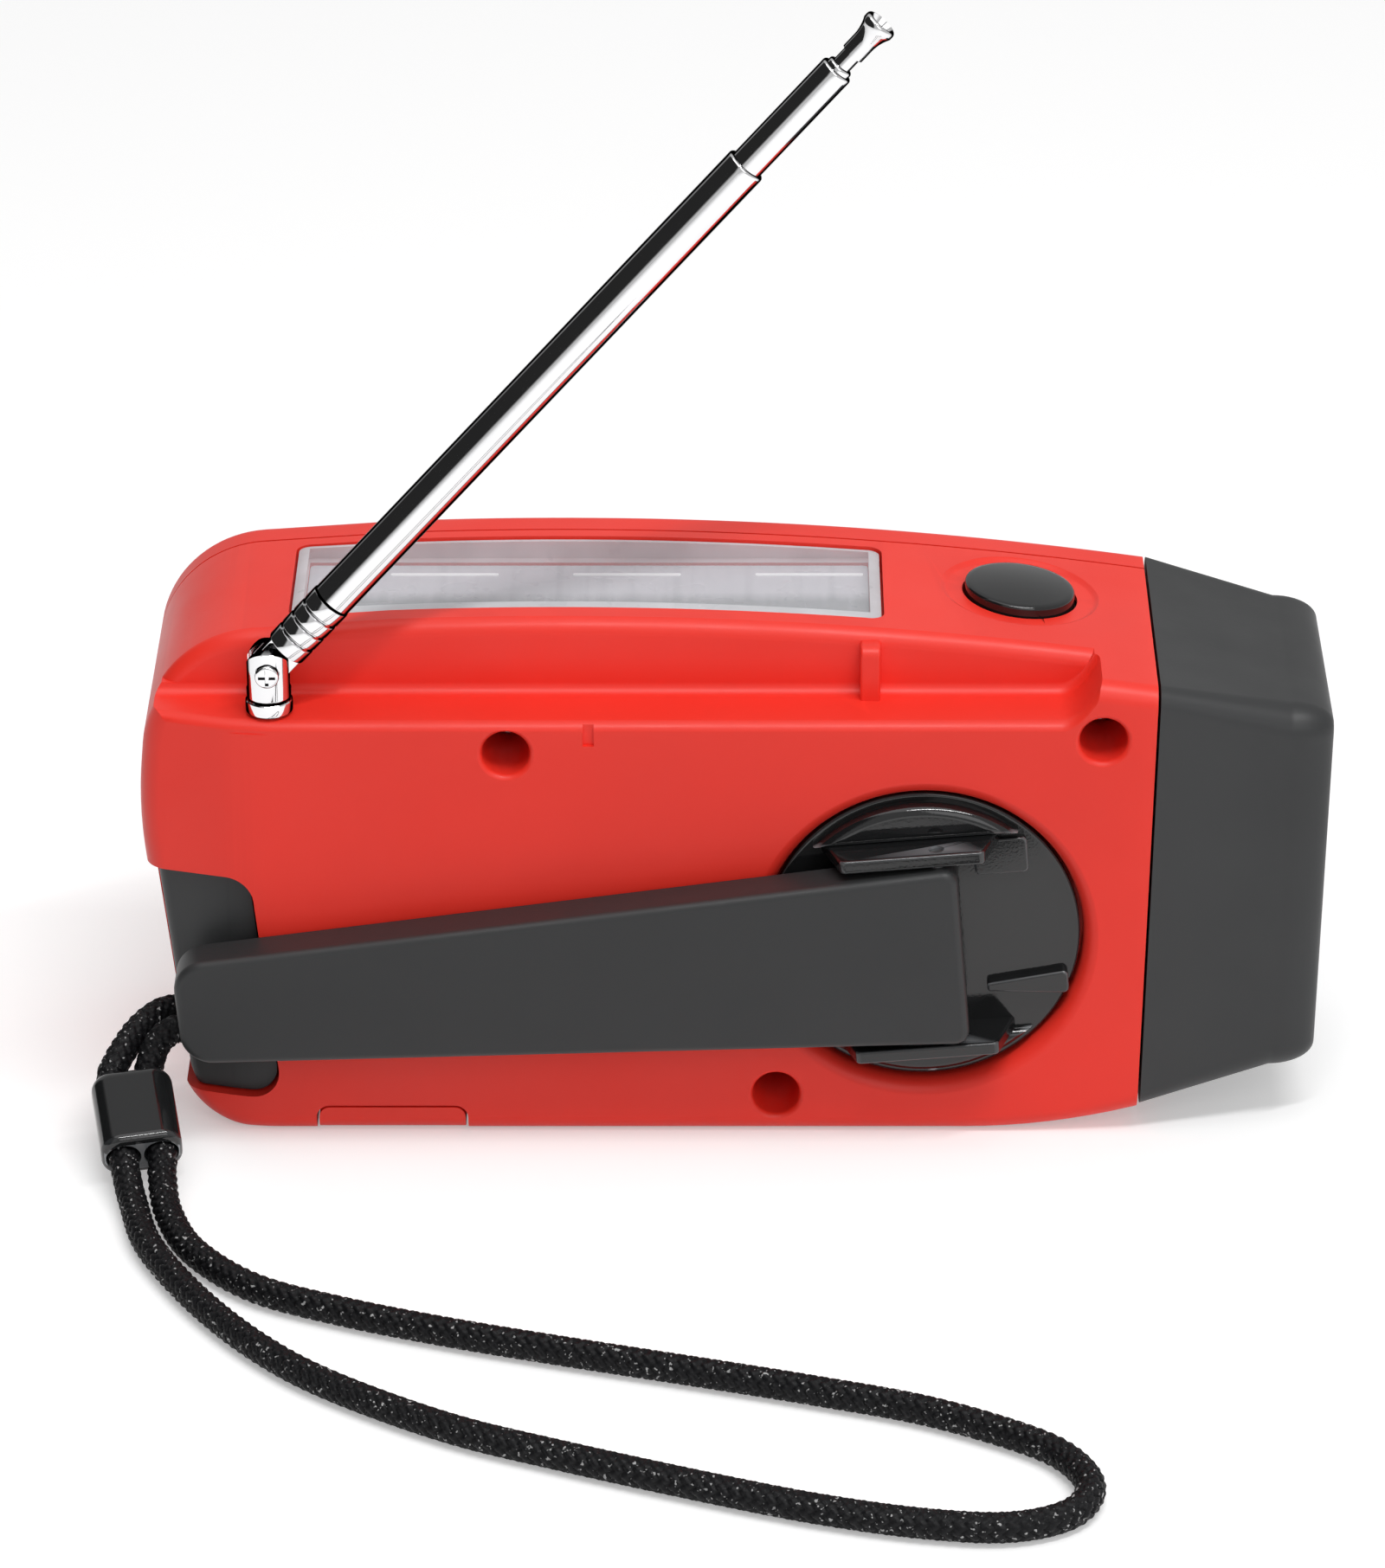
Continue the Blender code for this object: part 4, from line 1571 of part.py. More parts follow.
def lanyard():
    """Woven cord loop and the block that slides on its two strands."""
    path = evenly(smooth_route(CORD_ROUTE, CURVE_SAMPLES), CORD_STEP)
    curve = bpy.data.curves.new("lanyard_cord", "CURVE")
    curve.dimensions = "3D"
    curve.bevel_depth = CORD_RADIUS
    curve.bevel_resolution = 2
    curve.use_fill_caps = True
    spline = curve.splines.new("POLY")
    spline.points.add(len(path) - 1)
    for point, place in zip(spline.points, path):
        point.co = (*place, 1)
    cord = bpy.data.objects.new("lanyard_cord", curve)
    bpy.context.scene.collection.objects.link(cord)
    curve.materials.append(finish("black_cord"))

    top = Vector(SLIDER_TOP)
    foot = Vector(SLIDER_FOOT)
    length = (top - foot).length
    half_width = SLIDER_WIDTH / 2
    half_depth = SLIDER_DEPTH / 2
    outline = rounded_box(-half_width, half_width, -half_depth, half_depth, SLIDER_CORNER)
    slim = inset(outline, GAP)
    half = length / 2
    levels = [(slim, -half), (outline, -half + GAP), (outline, half - GAP), (slim, half)]
    slider = new_object("lanyard_slider", stacked(levels, "Z"))
    for side in (-1, 1):
        cut(slider, rod(CORD_RADIUS + GAP, -half - OVERRUN, half + OVERRUN, "Z",
                        (side * SLIDER_BORE_SPACING / 2, 0), TUBE_SIDES))
    finished(slider, "gloss_black_plastic")
    along = (top - foot).normalized()
    width = (Vector((1, 0, 0)) - along * along.x).normalized()
    depth = along.cross(width)
    turn = Matrix((width, depth, along)).transposed().to_4x4()
    slider.matrix_world = Matrix.Translation((top + foot) / 2) @ turn


def build():
    """Model the whole radio."""
    clear_scene()
    back_shell()
    front_shell()
    case_screws()
    solar_window()
    torch_button()
    end_inlay()
    port_cover()
    hub_frame = axis_frame("hub_axis", (HUB_X, 0, HUB_Z), (0, CRANK_ANGLE, 0))
    crank_hub(hub_frame)
    crank_arm(hub_frame)
    gear_train(hub_frame)
    torch_head()
    antenna()
    loudspeaker()
    main_board()
    front_controls()
    batteries()
    ferrite_aerial()
    lanyard()


build()
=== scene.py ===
"""Looks of the wind-up emergency radio: fine shapes, finishes, studio and camera.

Metres, +Z up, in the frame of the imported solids. +X points to the torch head, -Y is the back with the crank
and the antenna, and +Y is the front with the loudspeaker.
"""

import bmesh
import bpy
from bpy.props import FloatProperty, FloatVectorProperty, IntProperty, PointerProperty
from bpy.types import Operator, Panel, PropertyGroup
from math import acos, atan2, cos, floor, pi, radians, sin, sqrt, tan
from mathutils import Matrix, Vector


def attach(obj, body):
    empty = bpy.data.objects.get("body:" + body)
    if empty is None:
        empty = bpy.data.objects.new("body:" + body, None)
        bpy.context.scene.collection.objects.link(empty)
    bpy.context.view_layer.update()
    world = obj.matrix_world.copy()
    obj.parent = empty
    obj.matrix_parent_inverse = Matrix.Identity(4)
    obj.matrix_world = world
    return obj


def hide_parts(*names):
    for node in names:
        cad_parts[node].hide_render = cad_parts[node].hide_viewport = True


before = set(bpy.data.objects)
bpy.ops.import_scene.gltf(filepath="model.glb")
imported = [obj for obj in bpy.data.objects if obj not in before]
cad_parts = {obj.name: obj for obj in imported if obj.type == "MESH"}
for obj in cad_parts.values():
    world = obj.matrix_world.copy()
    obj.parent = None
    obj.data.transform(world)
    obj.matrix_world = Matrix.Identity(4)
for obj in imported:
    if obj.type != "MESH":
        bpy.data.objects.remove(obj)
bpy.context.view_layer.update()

bl_info = {
    "name": "Wind-up Emergency Radio",
    "version": (1, 0, 0),
    "blender": (4, 5, 0),
    "location": "3D View > Sidebar > Radio",
    "description": "Builds the fine shapes, the finishes and the studio of a wind-up emergency radio",
    "category": "Object",
}

# Clearances and cutting overruns
GAP = 0.0003
RUNNING = 0.00006
OVERRUN = 0.003

# Casing, side view in X and Z
CASE_BACK_Y = -0.019
CASE_FRONT_Y = 0.019
CASE_WALL = 0.002
CASE_RIM_RADIUS = 0.0022
CASE_LEFT_X = -0.0661
CASE_LEFT_Z = 0.038
CASE_LEFT_RADIUS = 0.050
CASE_FOOT_TUCK = 0.0043
CASE_FOOT_RADIUS = 0.008
CASE_FOOT_RIGHT_X = 0.025
CASE_RISE_RADIUS = 0.070
CASE_TOP_TUCK = 0.0018
CASE_TOP_RADIUS = 0.013
CROWN_X = -0.020
CROWN_Z = 0.059
CROWN_RADIUS = 0.446
CREASE_WIDTH = 0.0121
CREASE_DROP = 0.0035
SHELL_SEAM_Y = 0.014
HEAD_SEAM_X = 0.0455
SEAM_LEAN = radians(1.3)

# Antenna groove along the top edge of the back
LEDGE_Z = 0.0505
LEDGE_WALL_Y = -0.0108
LEDGE_END_X = 0.0348
LEDGE_END_RUN = 0.0046
LEDGE_END_RISE = 0.0048
CLIP_X = 0.0142
CLIP_WIDTH = 0.0022
CLIP_DEPTH = 0.0023
CLIP_HEIGHT = 0.0062
NOTCH_X = -0.0165
NOTCH_WIDTH = 0.0012
NOTCH_DEPTH = 0.0005
NOTCH_DROP = 0.0027

# Case screws in their wells
SCREW_PLACES = {
    "upper_left": (-0.0255, 0.0468),
    "upper_right": (0.0395, 0.0484),
    "lower": (0.0040, 0.0049),
}
WELL_RADIUS = 0.0026
WELL_WALL = 0.0014
WELL_FLOOR_Y = -0.0080
WELL_FLOOR_THICK = 0.0016
PILLAR_RADIUS = 0.0026
SCREW_RADIUS = 0.0012
SCREW_LENGTH = 0.014
SCREW_SLOT_WIDTH = 0.0006

# Solar window in the top
SOLAR_LEFT_INSET = 0.0169
SOLAR_RIGHT_X = 0.0155
SOLAR_Y = 0.0026
SOLAR_WIDTH = 0.0186
SOLAR_CORNER = 0.0012
SOLAR_COVER_UNDER_Z = 0.0564
SOLAR_CELL_THICK = 0.0009
SOLAR_CELL_MARGIN = 0.0012
SOLAR_TRAY_WALL = 0.0014

# Push button of the torch
BUTTON_X = 0.0310
BUTTON_Y = 0.0038
BUTTON_RADIUS = 0.0061
BUTTON_DOME = 0.0009
BUTTON_SKIRT = 0.0030
BUTTON_STAND = 0.0008
BUTTON_FLANGE = 0.0008
BUTTON_STEM_RADIUS = 0.0018
BUTTON_DISH_RADIUS = 0.0091
BUTTON_DISH_Z = 0.0556
BUTTON_WELL_WALL = 0.0013
BUTTON_WELL_DEPTH = 0.0033
SWITCH_POCKET_RADIUS = 0.0046
SWITCH_POCKET_DEPTH = 0.0026
SWITCH_POCKET_WALL = 0.0010

# Crank hub in its recess
HUB_X = 0.0202
HUB_Z = 0.0241
CRANK_ANGLE = radians(-4.7)
HUB_RADIUS = 0.0173
HUB_RECESS_RADIUS = 0.0177
HUB_RECESS_Y = -0.0146
HUB_RECESS_WALL = 0.0014
HUB_FACE_Y = -0.0174
HUB_EDGE = 0.0004
EAR_TOP_Y = -0.0234
EAR_THICK = 0.0015
EAR_LEFT_X = -0.0105
EAR_RIGHT_X = 0.0095
EAR_SLOPE = 0.0022
PAD_MARGIN = 0.0007
UPPER_PAD_Y = -0.0196
LOWER_PAD_Y = -0.0187
CHANNEL_STEP_HALF = 0.0070
CHANNEL_STEP_LEFT_X = 0.0062
CHANNEL_STEP_HEIGHT = 0.0006
WEDGE_LEFT_X = 0.0066
WEDGE_RIGHT_X = 0.0156
WEDGE_Z = -0.0066
WEDGE_THIN = 0.0005
WEDGE_THICK = 0.0014
WEDGE_HEIGHT = 0.0012

# Crank arm and its finger knob, in the hub's own frame
ARM_OUTER_Y = -0.0243
ARM_THICK = 0.0050
ARM_RIGHT_X = 0.0043
ARM_END_INSET = 0.0039
ARM_HUB_HALF = 0.0107
ARM_FREE_HALF = 0.0061
ARM_END_RADIUS = 0.0036
ARM_CORNER_RADIUS = 0.0008
ARM_EDGE = 0.0009
ARM_WALL = 0.0014
ARM_SOLID_LENGTH = 0.0095
ARM_PIN_X = 0.0022
ARM_PIN_RADIUS = 0.0008
KNOB_INSET = 0.0068
KNOB_RADIUS = 0.0042
KNOB_EDGE = 0.0005
RIVET_RADIUS = 0.0012

# Gear train behind the hub
BUSH_RADIUS = 0.0040
SHAFT_RADIUS = 0.0020
SHAFT_HUB_DEPTH = 0.0016
FIRST_MODULE = 0.0006
DRIVE_TEETH = 44
IDLER_PINION_TEETH = 12
IDLER_BEARING = radians(172)
DRIVE_BACK_Y = -0.0120
IDLER_AXLE_RADIUS = 0.0010
AXLE_BOSS_RADIUS = 0.0022
PLATE_BACK_Y = -0.0066
POST_PLACES = {"left": (-0.0140, 0.0190), "upper": (0.0295, 0.0400), "lower": (0.0310, 0.0122)}
POST_RADIUS = 0.0016

# Dark inlay of the left end, with the lanyard bar in its notch
INLAY_TOP_Z = 0.0313
INLAY_TOP_WIDTH = 0.0121
INLAY_LOW_Z = 0.0048
INLAY_LOW_WIDTH = 0.0149
INLAY_FRONT_Y = -0.0070
INLAY_CORNER = 0.0028
INLAY_DROP = 0.0012
INLAY_POCKET_WALL = 0.0013
LANYARD_NOTCH_Z = 0.0112
LANYARD_NOTCH_HEIGHT = 0.0044
LANYARD_NOTCH_BACK_Y = -0.0170
LANYARD_NOTCH_FRONT_Y = -0.0080
LANYARD_NOTCH_DEPTH = 0.0069
LANYARD_BAR_INSET = 0.0057
LANYARD_BAR_RADIUS = 0.0005
LANYARD_BAR_SEAT = 0.0008

# Cover of the charging socket in the bottom edge
PORT_LEFT_INSET = 0.0192
PORT_WIDTH = 0.0163
PORT_TOP_Z = 0.0032
PORT_HINGE_Y = -0.0095
PORT_DROP = 0.0001
PORT_THICK = 0.0015
PORT_CORNER = 0.0012

# Torch head
HEAD_SHOULDER_X = 0.0600
HEAD_END_X = 0.0650
HEAD_SHOULDER_LOW_Z = 0.0064
HEAD_SHOULDER_HIGH_Z = 0.0508
HEAD_SHOULDER_HALF = 0.0170
HEAD_END_INSET = 0.0026
HEAD_CORNER = 0.0034
HEAD_INNER_CORNER = 0.0010
HEAD_WALL = 0.0018
HEAD_FACE_THICK = 0.0030
LENS_Z = 0.0290
LENS_RADIUS = 0.0132
LENS_THICK = 0.0014
LENS_RECESS = 0.0010
REFLECTOR_BACK_X = 0.0520
REFLECTOR_BASE_RADIUS = 0.0098
REFLECTOR_WALL = 0.0008
REFLECTOR_CURVE = 1.4
LED_ORBIT = 0.0052
LED_RADIUS = 0.0025
LED_LENGTH = 0.0070

# Antenna
ANTENNA_INSET = 0.0149
ANTENNA_Y = -0.0159
ANTENNA_HINGE_Z = 0.0559
ANTENNA_TILT = radians(48.2)
FOOT_RADIUS = 0.0026
FOOT_HEIGHT = 0.0015
FOOT_STEM_RADIUS = 0.0015
FOOT_STEM_LENGTH = 0.0050
FOOT_EDGE = 0.0003
SWIVEL_RADIUS = 0.00245
SWIVEL_SLOT = 0.0018
SWIVEL_SLOT_DROP = 0.0024
SWIVEL_PIVOT_RADIUS = 0.0008
SWIVEL_PIVOT_LENGTH = 0.0030
BLADE_THICK = 0.0014
BLADE_RADIUS = 0.0020
HINGE_PIN_RADIUS = 0.0007
HINGE_HEAD_RADIUS = 0.0013
HINGE_HEAD_HEIGHT = 0.0005
HINGE_SEAT_SHARE = 0.82
HINGE_CROSS_SHARE = 0.72
HINGE_CROSS_DEPTH_SHARE = 0.7
FERRULE_START = 0.0031
FERRULE_END = 0.0106
FERRULE_RADIUS = 0.00235
FERRULE_RING_DEPTH = 0.0004
FERRULE_RINGS = 3
TUBE_WALL = 0.0003
TUBE_ONE_RADIUS = 0.00225
TUBE_TWO_RADIUS = 0.00185
TUBE_THREE_RADIUS = 0.00145
ROD_RADIUS = 0.00105
TUBE_ONE_TOP = 0.0779
TUBE_TWO_SHOWN = 0.0142
TUBE_TWO_LENGTH = 0.0660
TUBE_THREE_SHOWN = 0.0006
TUBE_THREE_LENGTH = 0.0640
ROD_SHOWN = 0.0033
ROD_LENGTH = 0.0660
TIP_HEIGHT = 0.0030
TIP_RADIUS = 0.00185
TIP_HOLLOW = 0.0008
TIP_NECK_RADIUS = 0.0013
TIP_NECK_LENGTH = 0.0016
TIP_DISH_SHARE = 0.6

# Electronics between the shells
BOARD_BACK_Y = 0.0075
BOARD_THICK = 0.0014
BOARD_LEFT_INSET = 0.0101
BOARD_RIGHT_X = 0.0040
BOARD_LOW_Z = 0.0095
BOARD_HIGH_Z = 0.0400
BOARD_POST_RADIUS = 0.0018
BOARD_POST_INSET = 0.0030
DIAL_SPACING = 0.0238
DIAL_Z = 0.0280
DIAL_RADIUS = 0.0130
DIAL_THICK = 0.0024
DIAL_EDGE = 0.0006
DIAL_STEM_RADIUS = 0.0024
DIAL_RIBS = 48
DIAL_NUMBERS = (88, 92, 96, 100, 104, 108)
DIAL_NUMBER_SIZE = 0.0026
DIAL_NUMBER_SHARE = 0.64
TICK_COUNT = 36
TICKS_TO_GAP = 12
TICKS_TO_LONG = 3
TICK_OUTER_SHARE = 0.91
TICK_INNER_SHARE = 0.84
LONG_TICK_INNER_SHARE = 0.80
CAPACITOR_HEIGHT = 0.0060
CONTROLS_INSET = 0.0183
VOLUME_Z = 0.0370
VOLUME_RADIUS = 0.0055
VOLUME_THICK = 0.0040
VOLUME_STEM_RADIUS = 0.0018
VOLUME_RIBS = 24
VOLUME_LINE_SHARE = 0.85
VOLUME_BOX_HEIGHT = 0.0044
BAND_Z = 0.0190
BAND_TRAVEL = 0.0040
BAND_CAP_WIDTH = 0.0050
BAND_CAP_LENGTH = 0.0058
BAND_CAP_THICK = 0.0016
BAND_STEM_WIDTH = 0.0024
BAND_STEM_LENGTH = 0.0030
BAND_BOX_HEIGHT = 0.0042
SPEAKER_X = 0.0240
SPEAKER_Z = 0.0280
GRILLE_ROWS = 9
GRILLE_PITCH = 0.0027
GRILLE_SLOT = 0.0012
GRILLE_RADIUS = 0.0125
SLOT_END_SHARE = 0.4
BATTERY_RADIUS = 0.0050
BATTERY_END_ROOM = 0.0018
BATTERY_Y = -0.0065
BATTERY_Z = 0.0088
BATTERY_LEFT_INSET = 0.0163
BATTERY_CAP_HEIGHT = 0.0008
CRADLE_THICK = 0.0014
CRADLE_INSET = 0.0040
CRADLE_REACH = 0.0024
FERRITE_LEFT_X = -0.0205
FERRITE_Y = 0.0010
FERRITE_Z = 0.0478
FERRITE_RADIUS = 0.0030
SADDLE_THICK = 0.0016
SADDLE_RIGHT_X = 0.0175

# Wrist lanyard
CORD_RADIUS = 0.00165
BRAID_SWELL = 0.45
BRAID_STEPS = 6
ROUTE_SAMPLES = 24
SLIDER_TOP = (-0.0676, -0.0210, 0.0076)
SLIDER_FOOT = (-0.0656, -0.0315, 0.0040)
SLIDER_BORE_SPACING = 0.0042
SLIDER_WIDTH = 0.0090
SLIDER_DEPTH = 0.0058
SLIDER_CORNER = 0.0022
CORD_ROUTE = [
    (-0.0612, -0.0100, 0.0112),
    (-0.0629, -0.0102, 0.0112),
    (-0.0649, -0.0111, 0.0111),
    (-0.0670, -0.0138, 0.0105),
    (-0.0685, -0.0168, 0.0095),
    (-0.0695, -0.0192, 0.0084),
    (-0.0697, -0.0213, 0.0075),
    (-0.0677, -0.0318, 0.0039),
    (-0.0672, -0.0342, 0.0030),
    (-0.0662, -0.0384, 0.0019),
    (-0.0638, -0.0476, 0.0017),
    (-0.0580, -0.0590, 0.0017),
    (-0.0508, -0.0692, 0.0017),
    (-0.0428, -0.0771, 0.0017),
    (-0.0304, -0.0856, 0.0017),
    (-0.0183, -0.0913, 0.0017),
    (-0.0029, -0.0977, 0.0017),
    (0.0085, -0.1019, 0.0017),
    (0.0190, -0.1046, 0.0017),
    (0.0274, -0.1052, 0.0017),
    (0.0335, -0.1026, 0.0017),
    (0.0357, -0.0975, 0.0017),
    (0.0335, -0.0918, 0.0017),
    (0.0285, -0.0874, 0.0017),
    (0.0191, -0.0822, 0.0017),
    (0.0081, -0.0783, 0.0017),
    (-0.0030, -0.0748, 0.0017),
    (-0.0188, -0.0700, 0.0017),
    (-0.0311, -0.0660, 0.0017),
    (-0.0425, -0.0616, 0.0017),
    (-0.0520, -0.0566, 0.0017),
    (-0.0589, -0.0488, 0.0017),
    (-0.0622, -0.0406, 0.0019),
    (-0.0633, -0.0342, 0.0030),
    (-0.0635, -0.0312, 0.0041),
    (-0.0655, -0.0207, 0.0077),
    (-0.0655, -0.0187, 0.0087),
    (-0.0648, -0.0167, 0.0101),
    (-0.0632, -0.0154, 0.0111),
    (-0.0612, -0.0152, 0.0112),
]

# Places that follow the casing's left end
CASE_FOOT_LEFT_X = CASE_LEFT_X + CASE_FOOT_TUCK
CASE_TOP_LEFT_X = CASE_LEFT_X + CASE_TOP_TUCK
CREASE_X = CASE_LEFT_X + CREASE_WIDTH
INLAY_TOP_X = CASE_LEFT_X + INLAY_TOP_WIDTH
INLAY_LOW_X = CASE_LEFT_X + INLAY_LOW_WIDTH
LANYARD_NOTCH_X = CASE_LEFT_X + LANYARD_NOTCH_DEPTH
LANYARD_BAR_X = CASE_LEFT_X + LANYARD_BAR_INSET
ANTENNA_X = CASE_LEFT_X + ANTENNA_INSET
SOLAR_LEFT_X = CASE_LEFT_X + SOLAR_LEFT_INSET
PORT_LEFT_X = CASE_LEFT_X + PORT_LEFT_INSET
PORT_RIGHT_X = PORT_LEFT_X + PORT_WIDTH
BOARD_LEFT_X = CASE_LEFT_X + BOARD_LEFT_INSET
VOLUME_X = CASE_LEFT_X + CONTROLS_INSET
BAND_X = VOLUME_X
DIAL_X = VOLUME_X + DIAL_SPACING

# Each antenna section ends past the one that carries it
TUBE_TWO_TOP = TUBE_ONE_TOP + TUBE_TWO_SHOWN
TUBE_THREE_TOP = TUBE_TWO_TOP + TUBE_THREE_SHOWN
ROD_TOP = TUBE_THREE_TOP + ROD_SHOWN
ANTENNA_TIP = ROD_TOP + TIP_HEIGHT

# Seats of the antenna's foot and of its hinge screw
FOOT_LOW_Z = LEDGE_Z + GAP
FOOT_HIGH_Z = FOOT_LOW_Z + FOOT_HEIGHT
HINGE_HEAD_LOW_Y = -SWIVEL_RADIUS - HINGE_HEAD_HEIGHT
HINGE_HEAD_HIGH_Y = -SWIVEL_RADIUS * HINGE_SEAT_SHARE

# The arm reaches from the hub nearly to the casing's left end, in the hub's own frame
ARM_LEFT_X = CASE_LEFT_X - HUB_X + ARM_END_INSET
KNOB_X = ARM_LEFT_X + KNOB_INSET

# Two cells fill the room between the inlay and the lower screw's pillar
BATTERY_LEFT_X = CASE_LEFT_X + BATTERY_LEFT_INSET
BATTERY_RIGHT_X = SCREW_PLACES["lower"][0] - PILLAR_RADIUS - BATTERY_END_ROOM
BATTERY_LENGTH = (BATTERY_RIGHT_X - BATTERY_LEFT_X) / 2 - BATTERY_CAP_HEIGHT - GAP

# Front of the main board, on which the controls' boxes sit
BOARD_SEAT_Y = BOARD_BACK_Y + BOARD_THICK + GAP

# Camera, calibrated on the photograph's 1600 by 1812 pixels
IMAGE_HEIGHT = 1812
CAMERA_FOCAL = 8400
CAMERA_SENSOR = 36
CAMERA_ELEVATION = 27
CAMERA_DISTANCE = 0.8
CAMERA_TARGET = (0, CASE_BACK_Y, 0.025)
CAMERA_SHIFT = (-55 / IMAGE_HEIGHT, 173 / IMAGE_HEIGHT)
CAMERA_NEAR = 0.01

# Solar cell's contact ribbons, and the range in Y over which its grey turns pale with a painted reflection
RIBBON_COUNT = 3
RIBBON_LENGTH = 0.0120
RIBBON_PITCH = 0.0203
RIBBON_WIDTH = 0.0006
RIBBON_INSET = 0.0030
RIBBON_END_ROOM = 3 * RIBBON_WIDTH
CELL_REFLECTION_RANGE = (0.0008, 0.0034)

# Ranges in which a finish changes: edges lightened by rubbing and by painted highlights, painted dark
# reflections at chrome's rims, painted sparkle in the cord
WEAR_AND_GLINT_POINTINESS = (0.53, 0.60)
CHROME_DARK_REFLECTION_FACING = (0.46, 0.58)
SPARKLE_NOISE = (0.67, 0.72)

# Share of a side that one rounded corner of a turned profile may take
SOFT_REACH = 0.45

# Studio
FLOOR_HALF = 3.0
FLOOR_GLOW = 0.34
KEY_PLACE = (-0.10, -0.10, 0.95)
KEY_SIZE = (0.70, 0.70)
FILL_PLACE = (0.35, -0.90, 0.65)
FILL_SIZE = (0.60, 0.60)
STRIP_PLACE = (0.16, -0.32, 0.78)
STRIP_SIZE = (0.55, 0.04)
DARK_SIDE = (-0.95, -0.15, 0.25)
DARK_EDGE = (0.62, 0.74)


# Sizes and colours that a user may change
class RadioShape(PropertyGroup):
    """Sizes of the fine shapes."""

    brow_radius: FloatProperty(
        name="Brow radius", description="Rounding above the antenna groove", default=0.0018, unit="LENGTH")
    lip_radius: FloatProperty(
        name="Lip radius", description="Rounding of the groove's front lip", default=0.0013, unit="LENGTH")
    floor_fillet: FloatProperty(
        name="Floor fillet", description="Hollow between groove floor and wall", default=0.0012,
        unit="LENGTH")
    crease_blend: FloatProperty(
        name="Crease blend", description="Half width of the soft crease left", default=0.0028, unit="LENGTH")
    recess_flare: FloatProperty(
        name="Recess flare", description="Rounding of the hub recess's mouth", default=0.0020, unit="LENGTH")
    well_flare: FloatProperty(
        name="Well flare", description="Rounding of a screw well's mouth", default=0.0007, unit="LENGTH")
    dish_depth: FloatProperty(
        name="Dish depth", description="Depth of the ring round the button", default=0.00045, unit="LENGTH")
    window_bevel: FloatProperty(
        name="Window bevel", description="Width of the window's clear bevel", default=0.0012, unit="LENGTH")
    edge_radius: FloatProperty(
        name="Edge radius", description="Rounding of the crank's edges", default=0.0003, unit="LENGTH")
    braid_relief: FloatProperty(
        name="Braid relief", description="Depth between the cord's strands", default=0.00036, unit="LENGTH")
    braid_strands: IntProperty(
        name="Braid strands", description="Strands that wind each way round the cord", default=8, min=3)
    corner_steps: IntProperty(
        name="Corner steps", description="Steps round a corner of the casing", default=20, min=4)
    crown_steps: IntProperty(
        name="Crown steps", description="Steps along the crowned top", default=40, min=8)
    rim_steps: IntProperty(
        name="Rim steps", description="Steps round a rounded rim", default=8, min=3)


class RadioFinish(PropertyGroup):
    """Colours of the finishes."""

    red: FloatVectorProperty(
        name="Red", description="Moulded shells", subtype="COLOR", default=(0.86, 0.034, 0.020))
    dark_grey: FloatVectorProperty(
        name="Dark grey", description="Torch head, arm and knobs", subtype="COLOR",
        default=(0.030, 0.031, 0.032))
    hub_grey: FloatVectorProperty(
        name="Hub grey", description="Hub, button, finger knob and slider", subtype="COLOR",
        default=(0.010, 0.0105, 0.011))
    cord_black: FloatVectorProperty(
        name="Cord black", description="Braided lanyard", subtype="COLOR", default=(0.006, 0.006, 0.007))
    chrome: FloatVectorProperty(
        name="Chrome", description="Antenna and reflector", subtype="COLOR", default=(0.86, 0.86, 0.87))
    grain: FloatProperty(
        name="Grain", description="Size of the moulded grain", default=0.00030, unit="LENGTH", precision=5)


class RadioStudio(PropertyGroup):
    """Light and floor."""

    key_power: FloatProperty(
        name="Key power", description="Soft lamp overhead, in watts", default=1.6, unit="POWER")
    strip_power: FloatProperty(
        name="Strip power", description="Narrow lamp that draws bright lines on edges, in watts",
        default=2.8, unit="POWER")
    fill_power: FloatProperty(
        name="Fill power", description="Soft lamp beside the camera, in watts", default=1.6, unit="POWER")
    sky_level: FloatProperty(
        name="Sky level", description="Brightness of the white surroundings", default=0.55)
    dark_level: FloatProperty(
        name="Dark level", description="Brightness of the dark side that metal reflects", default=0.02)
    floor_colour: FloatVectorProperty(
        name="Floor", description="Pale floor", subtype="COLOR", default=(0.80, 0.80, 0.80))


def shape():
    """The fine shapes' sizes."""
    return bpy.context.scene.radio_shape


def finishes():
    """The finishes' colours."""
    return bpy.context.scene.radio_finish


def studio():
    """The studio's levels."""
    return bpy.context.scene.radio_studio


# Outlines: lists of (u, v) points, counter-clockwise
def arc(centre, radius, start, end, steps):
    """Points of an arc between two angles, ends included."""
    turns = [start + (end - start) * k / steps for k in range(steps + 1)]
    return [(centre[0] + radius * cos(turn), centre[1] + radius * sin(turn)) for turn in turns]


def shares(steps):
    """Equal shares from 0 to 1, ends included."""
    return [k / steps for k in range(steps + 1)]


def quarter_round(radius, steps):
    """Steps round an edge, each (distance inwards, distance along)."""
    turns = [pi / 2 * k / steps for k in range(steps + 1)] if radius else [pi / 2]
    return [(radius * (1 - sin(turn)), radius * (1 - cos(turn))) for turn in turns]


def circle(radius, sides, centre=(0, 0)):
    """Points round a circle."""
    return arc(centre, radius, 0, 2 * pi, sides)[:-1]


def filleted(corners, steps=6):
    """Outline through (u, v, radius) corners, each rounded by its radius."""
    points = []
    for k, (u, v, radius) in enumerate(corners):
        here = Vector((u, v))
        before = (Vector(corners[k - 1][:2]) - here).normalized()
        after = (Vector(corners[(k + 1) % len(corners)][:2]) - here).normalized()
        if radius == 0:
            points.append((u, v))
            continue
        half = acos(max(-1, min(1, before.dot(after)))) / 2
        centre = here + (before + after).normalized() * (radius / sin(half))
        first = here + before * (radius / tan(half)) - centre
        last = here + after * (radius / tan(half)) - centre
        start = atan2(first.y, first.x)
        sweep = (atan2(last.y, last.x) - start + pi) % (2 * pi) - pi
        points += arc(centre, radius, start, start + sweep, steps)
    return points


